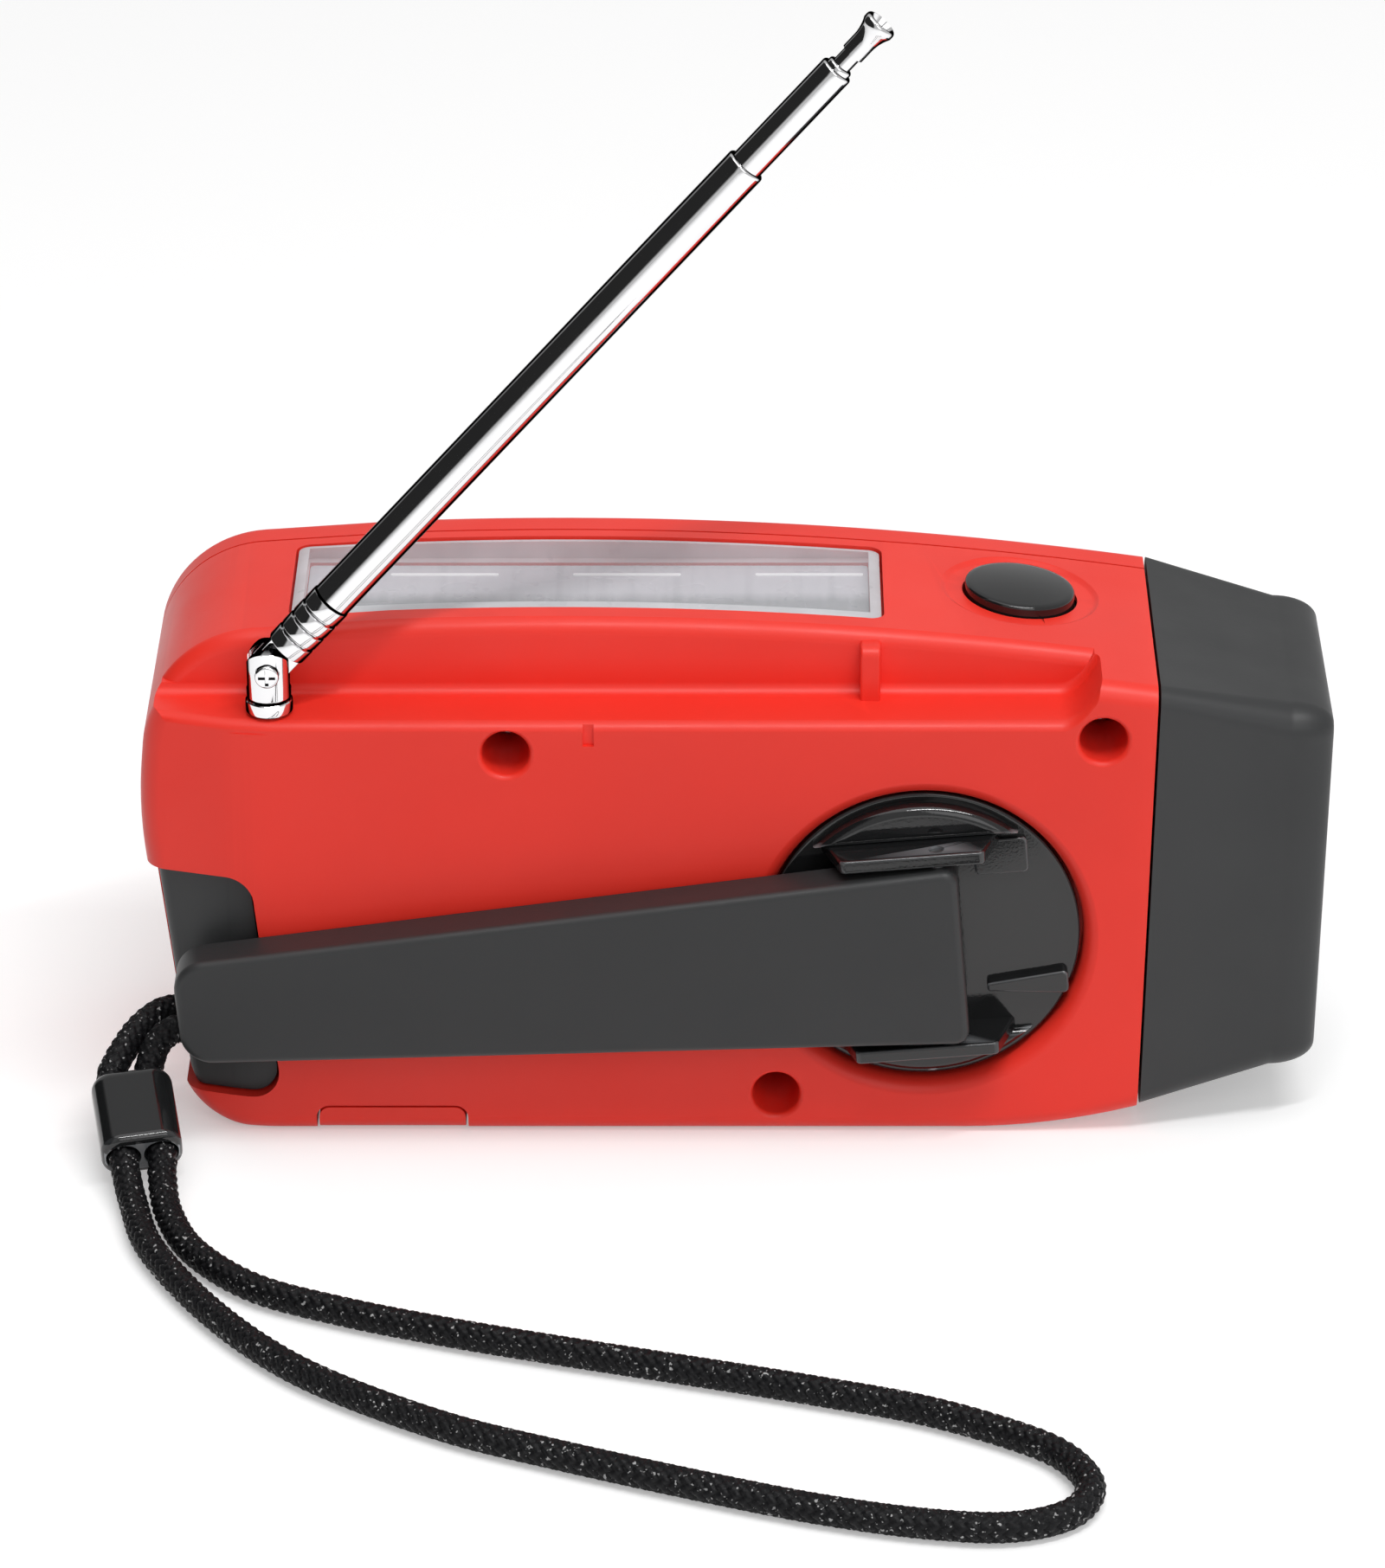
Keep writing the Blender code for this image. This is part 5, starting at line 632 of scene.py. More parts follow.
def rounded_box(u_low, u_high, v_low, v_high, radius, steps=6):
    """Rectangle with round corners."""
    corners = [(u_low, v_low), (u_high, v_low), (u_high, v_high), (u_low, v_high)]
    return filleted([(u, v, radius) for u, v in corners], steps)


def inset(points, distance):
    """The outline moved inwards by a distance; a negative distance moves it outwards."""
    moved = []
    for k, point in enumerate(points):
        here = Vector(point)
        into = (here - Vector(points[k - 1])).normalized()
        out = (Vector(points[(k + 1) % len(points)]) - here).normalized()
        side = Vector((-into.y - out.y, into.x + out.x)).normalized()
        lean = side.dot(Vector((-into.y, into.x)))
        moved.append(tuple(here + side * (distance / lean)))
    return moved


# Solids
def placed(axis, u, v, w):
    """World point of outline coordinates (u, v) at w along an axis."""
    return {"X": (w, u, v), "Y": (u, w, v), "Z": (u, v, w)}[axis]


def skinned(mesh, rings):
    """Closed skin through equal rings of corners."""
    count = len(rings[0])
    for low, high in zip(rings, rings[1:]):
        for k in range(count):
            after = (k + 1) % count
            mesh.faces.new((low[k], low[after], high[after], high[k]))
    mesh.faces.new(rings[0])
    mesh.faces.new(rings[-1])
    bmesh.ops.recalc_face_normals(mesh, faces=mesh.faces)
    return mesh


def stacked(levels, axis):
    """Closed solid through equal outlines, each (outline, place along the axis)."""
    mesh = bmesh.new()
    rings = [[mesh.verts.new(placed(axis, u, v, w)) for u, v in outline] for outline, w in levels]
    return skinned(mesh, rings)


def prism(outline, low, high, axis="Y"):
    """Outline extruded along an axis."""
    return stacked([(outline, low), (outline, high)], axis)


def rounded_prism(outline, low, high, low_radius, high_radius, axis="Y", steps=4):
    """Outline extruded along an axis, the edges of either end rounded by a radius."""
    levels = []
    for end, radius, way in ((low, low_radius, 1), (high, high_radius, -1)):
        edge = quarter_round(radius, steps)
        ring = [(inset(outline, inwards), end + way * along) for inwards, along in edge]
        levels += ring if way == 1 else ring[::-1]
    return stacked(levels, axis)


def box(low, high):
    """Block between two corners."""
    outline = [(low[0], low[1]), (high[0], low[1]), (high[0], high[1]), (low[0], high[1])]
    return prism(outline, low[2], high[2], "Z")


def turned(profile, axis="Y", centre=(0, 0), sides=64):
    """Solid of revolution; profile points are (radius, place along the axis)."""
    mesh = bmesh.new()
    rings = []
    for radius, w in profile:
        around = circle(radius, sides, centre) if radius else [centre]
        rings.append([mesh.verts.new(placed(axis, u, v, w)) for u, v in around])
    hollow = profile[0][0] > 0 and profile[-1][0] > 0
    pairs = list(zip(rings, rings[1:] + rings[:1])) if hollow else list(zip(rings, rings[1:]))
    for low, high in pairs:
        if len(low) == 1 and len(high) == 1:
            continue
        for k in range(sides):
            after = (k + 1) % sides
            corners = [low[k % len(low)], low[after % len(low)], high[after % len(high)], high[k % len(high)]]
            mesh.faces.new(list(dict.fromkeys(corners)))
    bmesh.ops.recalc_face_normals(mesh, faces=mesh.faces)
    return mesh


def bar_profile(radius, low, high, bore=0):
    """Turned profile of a plain bar, or of a ring with a bore."""
    return [(bore, low), (radius, low), (radius, high), (bore, high)]


def softened(profile, radius, steps=3):
    """Turned profile whose corners off the axis are rounded by up to a radius."""
    points = []
    for k, point in enumerate(profile):
        if k in (0, len(profile) - 1):
            points.append(point)
            continue
        here = Vector(point)
        before = Vector(profile[k - 1]) - here
        after = Vector(profile[k + 1]) - here
        reach = min(radius, before.length * SOFT_REACH, after.length * SOFT_REACH)
        start = here + before.normalized() * reach
        end = here + after.normalized() * reach
        for t in shares(steps):
            points.append(tuple(start * (1 - t) ** 2 + here * 2 * t * (1 - t) + end * t ** 2))
    return points


def rod(radius, low, high, axis="Y", centre=(0, 0), sides=48):
    """Plain round bar, used as a cutter."""
    return prism(circle(radius, sides, centre), low, high, axis)


def sliced(mesh, point, normal):
    """Take away what lies beyond a plane, and close the cut."""
    geometry = list(mesh.verts) + list(mesh.edges) + list(mesh.faces)
    bmesh.ops.bisect_plane(mesh, geom=geometry, plane_co=point, plane_no=normal, clear_outer=True)
    open_edges = [edge for edge in mesh.edges if edge.is_boundary]
    bmesh.ops.holes_fill(mesh, edges=open_edges)
    bmesh.ops.recalc_face_normals(mesh, faces=mesh.faces)
    return mesh


def striped(mesh, stations):
    """Edges across a solid at each x, so that its flat faces can bend."""
    for x in stations:
        geometry = list(mesh.verts) + list(mesh.edges) + list(mesh.faces)
        bmesh.ops.bisect_plane(mesh, geom=geometry, plane_co=(x, 0, 0), plane_no=(1, 0, 0))
    return mesh


# Objects
def solid(name, mesh):
    """Object made of a solid."""
    data = bpy.data.meshes.new(name)
    mesh.to_mesh(data)
    mesh.free()
    item = bpy.data.objects.new(name, data)
    bpy.context.scene.collection.objects.link(item)
    return item


def combine(item, mesh, operation):
    """Join, cut or trim an object by a solid."""
    tool = solid("tool", mesh)
    modifier = item.modifiers.new("shape", "BOOLEAN")
    modifier.operation = operation
    modifier.solver = "EXACT"
    modifier.object = tool
    bpy.context.view_layer.update()
    result = bpy.data.meshes.new_from_object(item.evaluated_get(bpy.context.evaluated_depsgraph_get()))
    item.modifiers.clear()
    before = item.data
    item.data = result
    bpy.data.meshes.remove(before)
    bpy.data.objects.remove(tool)


def cut(item, *meshes):
    """Cut solids out of an object."""
    for mesh in meshes:
        combine(item, mesh, "DIFFERENCE")


def join(item, *meshes):
    """Join solids to an object as one body."""
    for mesh in meshes:
        combine(item, mesh, "UNION")


def trim(item, mesh):
    """Keep only what an object shares with a solid."""
    combine(item, mesh, "INTERSECT")


def melted(item):
    """An object's mesh as a solid; the object goes."""
    mesh = bmesh.new()
    mesh.from_mesh(item.data)
    bpy.data.objects.remove(item)
    return mesh


def dressed(item, body, slot, *nodes, material=None, angle=30):
    """Shade a piece, paint it, and set it in the place of the solids that it stands for."""
    data = item.data
    data.materials.clear()
    data.materials.append(material or finish(slot))
    data.shade_smooth()
    data.set_sharp_from_angle(angle=radians(angle))
    evener = item.modifiers.new("even shading", "WEIGHTED_NORMAL")
    evener.keep_sharp = True
    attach(item, body)
    if nodes:
        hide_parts(*nodes)
    return item


def hub_turn():
    """Matrix from the hub's own frame, which leans with the crank."""
    return Matrix.Translation((HUB_X, 0, HUB_Z)) @ Matrix.Rotation(CRANK_ANGLE, 4, "Y")


def antenna_turn():
    """Matrix from the antenna's own frame, along the raised mast."""
    hinge = Matrix.Translation((ANTENNA_X, ANTENNA_Y, ANTENNA_HINGE_Z))
    return hinge @ Matrix.Rotation(-ANTENNA_TILT, 4, "Y")


def moved(item, matrix):
    """Move an object's mesh by a matrix."""
    item.data.transform(matrix)
    return item


# Finishes
def new_finish(name, colour, roughness, metallic=0.0):
    """Plain Principled material, its tree and its shader."""
    material = bpy.data.materials.new(name)
    material.use_nodes = True
    tree = material.node_tree
    shader = tree.nodes["Principled BSDF"]
    shader.inputs["Base Color"].default_value = (*colour, 1)
    shader.inputs["Roughness"].default_value = roughness
    shader.inputs["Metallic"].default_value = metallic
    return material, tree, shader


def noise(tree, size, detail=3.0, stretch=(1, 1, 1)):
    """Noise with features of a real size, in the object's own coordinates."""
    place = tree.nodes.new("ShaderNodeTexCoord")
    scale = tree.nodes.new("ShaderNodeMapping")
    scale.inputs["Scale"].default_value = [share / size for share in stretch]
    texture = tree.nodes.new("ShaderNodeTexNoise")
    texture.inputs["Scale"].default_value = 1.0
    texture.inputs["Detail"].default_value = detail
    tree.links.new(place.outputs["Object"], scale.inputs["Vector"])
    tree.links.new(scale.outputs["Vector"], texture.inputs["Vector"])
    return texture.outputs["Fac"]


def ranged(tree, value, low, high, from_low=0.3, from_high=0.7):
    """A texture's value brought to a range."""
    node = tree.nodes.new("ShaderNodeMapRange")
    node.inputs["From Min"].default_value = from_low
    node.inputs["From Max"].default_value = from_high
    node.inputs["To Min"].default_value = low
    node.inputs["To Max"].default_value = high
    tree.links.new(value, node.inputs["Value"])
    return node.outputs["Result"]


def blended(tree, share, first, second):
    """Colour between two, each a plain colour or another node's output."""
    mix = tree.nodes.new("ShaderNodeMix")
    mix.data_type = "RGBA"
    tree.links.new(share, mix.inputs["Factor"])
    for name, colour in (("A", first), ("B", second)):
        if isinstance(colour, bpy.types.NodeSocket):
            tree.links.new(colour, mix.inputs[name])
        else:
            mix.inputs[name].default_value = (*colour, 1)
    return mix.outputs["Result"]


def scaled(colour, share):
    """A colour made lighter or darker."""
    return [min(1, part * share) for part in colour]


def varied(tree, shader, colour, size, spread):
    """Slight drift of a colour over the surface."""
    value = ranged(tree, noise(tree, size), 0, 1)
    tint = blended(tree, value, scaled(colour, 1 - spread), scaled(colour, 1 + spread))
    tree.links.new(tint, shader.inputs["Base Color"])
    return tint


def worn(tree, shader, tint, share, light):
    """Lighter colour along outer edges: faint where handling has rubbed it, and strong, as a painted
    highlight, on polished plastic.
    """
    form = tree.nodes.new("ShaderNodeNewGeometry")
    # Pointiness lightens the outer edges: a little for rubbing, much more where the colour paints a highlight
    edge = ranged(tree, form.outputs["Pointiness"], 0, share, *WEAR_AND_GLINT_POINTINESS)
    tree.links.new(blended(tree, edge, tint, light), shader.inputs["Base Color"])


def uneven(tree, shader, size, low, high, stretch=(1, 1, 1)):
    """Roughness that drifts over the surface."""
    tree.links.new(ranged(tree, noise(tree, size, 4.0, stretch), low, high), shader.inputs["Roughness"])


def grained(tree, shader, size, height, stretch=(1, 1, 1)):
    """Fine relief of a real height."""
    bump = tree.nodes.new("ShaderNodeBump")
    bump.inputs["Strength"].default_value = 1.0
    bump.inputs["Distance"].default_value = height
    tree.links.new(noise(tree, size, 2.0, stretch), bump.inputs["Height"])
    tree.links.new(bump.outputs["Normal"], shader.inputs["Normal"])


def surface(name, colour, roughness, metallic=0.0, drift=None, gloss=None, grain=None, sockets=None):
    """Material with a colour drift (size, spread), a gloss (size, low, high) and a grain (size, height)."""
    material, tree, shader = new_finish(name, colour, roughness, metallic)
    for socket, value in (sockets or {}).items():
        shader.inputs[socket].default_value = value
    if drift:
        varied(tree, shader, colour, *drift)
    if gloss:
        uneven(tree, shader, *gloss)
    if grain:
        grained(tree, shader, *grain)
    return material


def moulded(name, colour, low, high, wear_and_glint=0.25, shine=0.4, edge_light=1.5):
    """Moulded plastic: fine grain, drifting colour and gloss, edges lightened a little by rubbing and, on
    polished plastic, strongly as a painted highlight.
    """
    material, tree, shader = new_finish(name, colour, low)
    tint = varied(tree, shader, colour, size=0.030, spread=0.04)
    worn(tree, shader, tint, wear_and_glint, scaled(colour, edge_light))
    uneven(tree, shader, size=0.012, low=low, high=high)
    grained(tree, shader, finishes().grain, height=0.000006)
    shader.inputs["Specular IOR Level"].default_value = shine
    return material


def red_plastic():
    """Satin red of the shells and the socket cover."""
    return moulded("moulded_red", finishes().red, 0.36, 0.46)


def dark_grey_plastic():
    """Matte dark grey of head, arm, inlay and front controls."""
    return moulded("moulded_dark_grey", finishes().dark_grey, 0.40, 0.52)


def gloss_black_plastic():
    """Glossy near-black of hub, button, finger knob and slider, with painted highlights that make it much
    paler along its edges.
    """
    # The strong edge colour here is a painted highlight, not rubbing
    return moulded("polished_dark_grey", finishes().hub_grey, 0.06, 0.12, wear_and_glint=0.85, shine=0.6, edge_light=36)


def white_plastic():
    """Natural white gear plastic."""
    return moulded("gear_white", (0.80, 0.79, 0.76), 0.40, 0.52, wear_and_glint=0.1)


def cell_sleeve():
    """Shrunk plastic sleeve of a battery cell."""
    return moulded("shrunk_sleeve", (0.05, 0.22, 0.12), 0.28, 0.40, wear_and_glint=0.2)


def clear_plastic():
    """Clear lens with faint ripples."""
    return surface("clear_plastic_fine", (0.92, 0.93, 0.96), 0.03, gloss=(0.020, 0.02, 0.06),
                   grain=(0.009, 0.000012), sockets={"Transmission Weight": 1.0, "IOR": 1.49})


def window_plastic():
    """Clear window with a painted pale sheen: a faint white veil that stands in for the light it reflects."""
    return surface("clear_window", (0.90, 0.90, 0.94), 0.05, drift=(0.020, 0.05), gloss=(0.020, 0.03, 0.08),
                   grain=(0.009, 0.000012), sockets={"IOR": 1.49, "Alpha": 0.17})


def frosted_bevel():
    """Matte white edge of the clear window, a painted highlight along its bevel."""
    return surface("clear_plastic_edge", (0.72, 0.72, 0.75), 0.35, drift=(0.006, 0.10),
                   gloss=(0.004, 0.25, 0.45), sockets={"IOR": 1.49, "Alpha": 0.65})


def tinned_ribbon():
    """Tinned contact ribbon of the solar cell, almost white."""
    return surface("tinned_ribbon", (0.95, 0.95, 0.96), 0.35, drift=(0.003, 0.04), gloss=(0.002, 0.25, 0.45))


def solar_glass():
    """Streaky grey cell with a painted reflection that makes it paler towards the front of the radio."""
    dark = (0.24, 0.25, 0.26)
    pale = (0.56, 0.54, 0.58)
    material, tree, shader = new_finish("solar_cell_fine", pale, 0.3)
    place = tree.nodes.new("ShaderNodeTexCoord")
    parts = tree.nodes.new("ShaderNodeSeparateXYZ")
    tree.links.new(place.outputs["Object"], parts.inputs["Vector"])
    streaks = ranged(tree, noise(tree, 0.0016, 4.0, (1, 0.02, 1)), -0.25, 0.25)
    # Painted reflection: the grey turns pale towards +Y, and the cell's own streaks are added on top
    band = tree.nodes.new("ShaderNodeMath")
    band.operation = "ADD"
    tree.links.new(ranged(tree, parts.outputs["Y"], 0, 1, *CELL_REFLECTION_RANGE), band.inputs[0])
    tree.links.new(streaks, band.inputs[1])
    tint = blended(tree, ranged(tree, band.outputs[0], 0, 1, 0, 1), dark, pale)
    tree.links.new(tint, shader.inputs["Base Color"])
    uneven(tree, shader, 0.006, 0.22, 0.38)
    return material


def chrome():
    """Bright plated metal with a painted dark reflection along its rims, and a faint unevenness."""
    material, tree, shader = new_finish("bright_chrome", finishes().chrome, 0.07, 1.0)
    tint = varied(tree, shader, finishes().chrome, size=0.010, spread=0.03)
    # Painted dark reflection: the colour turns near-black where the surface turns away from the view
    rim = tree.nodes.new("ShaderNodeLayerWeight")
    share = ranged(tree, rim.outputs["Facing"], 0, 1, *CHROME_DARK_REFLECTION_FACING)
    tree.links.new(blended(tree, share, tint, (0.03, 0.03, 0.033)), shader.inputs["Base Color"])
    shader.inputs["Specular Tint"].default_value = (0.25, 0.25, 0.25, 1)
    uneven(tree, shader, 0.0015, 0.04, 0.10)
    grained(tree, shader, size=0.0020, height=0.0000015)
    return material


def metal(name, colour, low, high):
    """Plain turned or pressed metal."""
    return surface(name, colour, low, 1.0, drift=(0.004, 0.08), gloss=(0.0012, low, high),
                   grain=(0.0004, 0.000004))


def steel():
    """Zinc-plated steel."""
    return metal("plated_steel", (0.55, 0.55, 0.56), 0.24, 0.38)


def brass():
    """Sintered brass of the bush."""
    return metal("bush_brass", (0.70, 0.52, 0.25), 0.28, 0.40)


def copper():
    """Enamelled copper wire."""
    return metal("coil_copper", (0.72, 0.35, 0.18), 0.25, 0.38)


def board_green():
    """Lacquered circuit board with a faint cloth of glass fibre."""
    return surface("board_lacquer", (0.03, 0.16, 0.07), 0.35, drift=(0.0012, 0.18),
                   gloss=(0.003, 0.30, 0.45), grain=(0.0006, 0.00001))


def led_resin():
    """Milky clear resin of the light-emitting diodes."""
    return surface("diode_resin", (0.92, 0.94, 0.92), 0.08, gloss=(0.002, 0.05, 0.12),
                   sockets={"Transmission Weight": 0.7, "IOR": 1.5})


def paper_cone():
    """Fibrous dark paper of the loudspeaker."""
    return surface("cone_paper", (0.06, 0.06, 0.065), 0.8, drift=(0.0008, 0.3), grain=(0.0005, 0.00005))


def ferrite():
    """Dark ground ferrite."""
    return surface("ground_ferrite", (0.03, 0.03, 0.033), 0.6, drift=(0.001, 0.3), grain=(0.0003, 0.00002))


def black_cord():
    """Black polyester braid with pale specks of painted sparkle."""
    colour = finishes().cord_black
    material, tree, shader = new_finish("braided_black", colour, 0.5)
    # Pale specks in the colour are painted sparkle of the braid's strands
    painted_sparkle = ranged(tree, noise(tree, 0.00050, 1.0), 0, 1, *SPARKLE_NOISE)
    tree.links.new(blended(tree, painted_sparkle, colour, (0.38, 0.38, 0.38)), shader.inputs["Base Color"])
    uneven(tree, shader, 0.0006, 0.35, 0.65)
    shader.inputs["Specular IOR Level"].default_value = 0.2
    grained(tree, shader, size=0.00018, height=0.00006)
    return material


FINISH_MAKERS = {
    maker.__name__: maker
    for maker in (red_plastic, dark_grey_plastic, gloss_black_plastic, clear_plastic, solar_glass, chrome,
                  steel, brass, copper, white_plastic, board_green, led_resin, paper_cone, cell_sleeve,
                  ferrite, black_cord)
}
made_finishes = {}


def finish(slot):
    """The material of one slot, made when it is first needed."""
    if slot not in made_finishes:
        made_finishes[slot] = FINISH_MAKERS[slot]()
    return made_finishes[slot]


def piece(name, mesh, body, slot, *nodes, turn=None, angle=30):
    """One fine piece from a solid."""
    item = solid(name, mesh)
    if turn:
        moved(item, turn)
    return dressed(item, body, slot, *nodes, angle=angle)


# Casing
def crown_z(x):
    """Height of the crowned top at x."""
    return CROWN_Z - (x - CROWN_X) ** 2 / (2 * CROWN_RADIUS)


def rise_z(x):
    """Height of the underside at x, right of the flat foot."""
    return (x - CASE_FOOT_RIGHT_X) ** 2 / (2 * CASE_RISE_RADIUS)


def crease_drop(x):
    """How far the back face falls back at x, left of its soft crease."""
    slope = CREASE_DROP / CREASE_WIDTH
    blend = shape().crease_blend
    past = CREASE_X - x
    if past <= -blend:
        return 0
    if past >= blend:
        return slope * past
    return slope * (past + blend) ** 2 / (4 * blend)


def case_outline():
    """Side view of the casing in X and Z, run on past the head seam."""
    crown_steps = shape().crown_steps
    rise_steps = crown_steps // 4
    run_x = HEAD_SEAM_X + OVERRUN
    top_x = CASE_TOP_LEFT_X + 2 * CASE_TOP_RADIUS
    corners = [(CASE_FOOT_LEFT_X, 0, CASE_FOOT_RADIUS)]
    for k in range(rise_steps + 1):
        x = CASE_FOOT_RIGHT_X + (run_x - CASE_FOOT_RIGHT_X) * k / rise_steps
        corners.append((x, rise_z(x), 0))
    for k in range(crown_steps + 1):
        x = run_x + (top_x - run_x) * k / crown_steps
        corners.append((x, crown_z(x), 0))
    corners.append((CASE_TOP_LEFT_X, crown_z(CASE_TOP_LEFT_X), CASE_TOP_RADIUS))
    corners.append((CASE_LEFT_X, CASE_LEFT_Z, CASE_LEFT_RADIUS))
    return filleted(corners, shape().corner_steps)


def case_block(depth, right_x):
    """The casing's full solid, a depth below its outside, creased left and cut off at right_x."""
    outline = case_outline()
    rim = quarter_round(CASE_RIM_RADIUS - depth, shape().rim_steps)
    levels = [(inset(outline, depth + inwards), CASE_BACK_Y + depth + along) for inwards, along in rim]
    levels += [(level, CASE_FRONT_Y + CASE_BACK_Y - y) for level, y in levels[::-1]]
    mesh = stacked(levels, "Y")
    blend = shape().crease_blend
    striped(mesh, [CREASE_X + blend * (1 - 2 * share) for share in shares(8)])
    for corner in mesh.verts:
        if corner.co.y < 0:
            corner.co.y += crease_drop(corner.co.x)
    return sliced(mesh, (right_x, 0, crown_z(HEAD_SEAM_X)), (1, 0, -tan(SEAM_LEAN)))


def brow_block():
    """What stays behind the antenna groove: the casing's outline with a rounded edge at the groove's wall."""
    outline = inset(case_outline(), -GAP / 10)
    edge = quarter_round(shape().brow_radius, shape().rim_steps)
    levels = [(inset(outline, inwards), LEDGE_WALL_Y + along) for inwards, along in edge]
    levels.append((outline, CASE_FRONT_Y))
    return stacked(levels, "Y")


def groove_section(x, lift):
    """Section of the groove's space in Y and Z: round lip, floor and hollow corner."""
    lip = shape().lip_radius
    fillet = shape().floor_fillet
    floor_z = LEDGE_Z + lift
    front_y = CASE_BACK_Y + crease_drop(x) - GAP / 10
    back_y = LEDGE_WALL_Y + shape().brow_radius
    section = [(front_y - OVERRUN, floor_z - lip)]
    section += arc((front_y + lip, floor_z - lip), lip, pi, pi / 2, 8)
    section += arc((LEDGE_WALL_Y - fillet, floor_z + fillet), fillet, -pi / 2, 0, 6)
    section += [(back_y, floor_z + fillet), (back_y, CROWN_Z + OVERRUN),
                (front_y - OVERRUN, CROWN_Z + OVERRUN)]
    return section


def groove_space():
    """Space of the antenna groove, open to the left, its floor rising to the right end."""
    levels = [(groove_section(CASE_LEFT_X, 0), CASE_LEFT_X - OVERRUN)]
    run = LEDGE_END_X - CASE_LEFT_X
    steps = shape().crown_steps // 2
    for k in range(steps):
        x = CASE_LEFT_X + run * k / steps
        levels.append((groove_section(x, 0), x))
    for share in shares(12):
        x = LEDGE_END_X + LEDGE_END_RUN * share
        levels.append((groove_section(x, LEDGE_END_RISE * share ** 2), x))
    groove = solid("groove", stacked(levels, "X"))
    cut(groove, brow_block())
    return melted(groove)


def screw_well(place):
    """Well of a case screw with a rounded mouth."""
    flare = shape().well_flare
    profile = [(0, CASE_BACK_Y - OVERRUN), (WELL_RADIUS + flare, CASE_BACK_Y - OVERRUN)]
    profile += arc((WELL_RADIUS + flare, CASE_BACK_Y + flare - GAP / 10), flare, -pi / 2, -pi, 5)
    return turned(profile + [(WELL_RADIUS, WELL_FLOOR_Y), (0, WELL_FLOOR_Y)], "Y", place, 48)


def hub_recess():
    """Round recess of the hub with a broad rounded mouth."""
    flare = shape().recess_flare
    profile = [(0, CASE_BACK_Y - OVERRUN), (HUB_RECESS_RADIUS + flare, CASE_BACK_Y - OVERRUN)]
    profile += arc((HUB_RECESS_RADIUS + flare, CASE_BACK_Y + flare - GAP / 10), flare, -pi / 2, -pi, 10)
    profile += [(HUB_RECESS_RADIUS, HUB_RECESS_Y), (0, HUB_RECESS_Y)]
    return turned(profile, "Y", (HUB_X, HUB_Z), 128)


def inlay_outline(margin):
    """Side view of the left end's inlay, larger by a margin."""
    left_x = CASE_LEFT_X - OVERRUN
    corners = [(left_x, INLAY_LOW_Z, 0), (INLAY_LOW_X, INLAY_LOW_Z, INLAY_CORNER),
               (INLAY_TOP_X, INLAY_TOP_Z, INLAY_CORNER), (left_x, INLAY_TOP_Z, 0)]
    return inset(filleted(corners, 8), -margin)


def solar_outline(margin):
    """Top view of the solar window, larger by a margin."""
    half = SOLAR_WIDTH / 2
    window = rounded_box(SOLAR_LEFT_X, SOLAR_RIGHT_X, SOLAR_Y - half, SOLAR_Y + half, SOLAR_CORNER, 6)
    return inset(window, -margin)


def solar_tray_z():
    """Height of the floor that the solar cell lies on."""
    return SOLAR_COVER_UNDER_Z - SOLAR_CELL_THICK - 2 * GAP


def port_outline(margin):
    """Back view of the socket cover in X and Z, larger by a margin."""
    corners = [(PORT_LEFT_X, -OVERRUN, 0), (PORT_RIGHT_X, -OVERRUN, 0),
               (PORT_RIGHT_X, PORT_TOP_Z, PORT_CORNER), (PORT_LEFT_X, PORT_TOP_Z, PORT_CORNER)]
    return inset(filleted(corners, 6), -margin)


def switch_seat_z():
    """Floor of the pocket that holds the torch switch."""
    return BUTTON_DISH_Z - BUTTON_WELL_DEPTH - SWITCH_POCKET_DEPTH


def idler_place():
    """Axis of the intermediate gear in X and Z."""
    reach = FIRST_MODULE * (DRIVE_TEETH + IDLER_PINION_TEETH) / 2
    return (HUB_X + reach * cos(IDLER_BEARING), HUB_Z + reach * sin(IDLER_BEARING))


def battery_left_x(index):
    """Left end of one battery cell."""
    return BATTERY_LEFT_X + index * (BATTERY_LENGTH + BATTERY_CAP_HEIGHT + GAP)


def leaning(mesh, centre_x, low_z=0):
    """Shear what lies above a height so that it follows the crown's slope at centre_x."""
    slope = (CROWN_X - centre_x) / CROWN_RADIUS
    for corner in mesh.verts:
        if corner.co.z > low_z:
            corner.co.z += slope * (corner.co.x - centre_x)
    return mesh


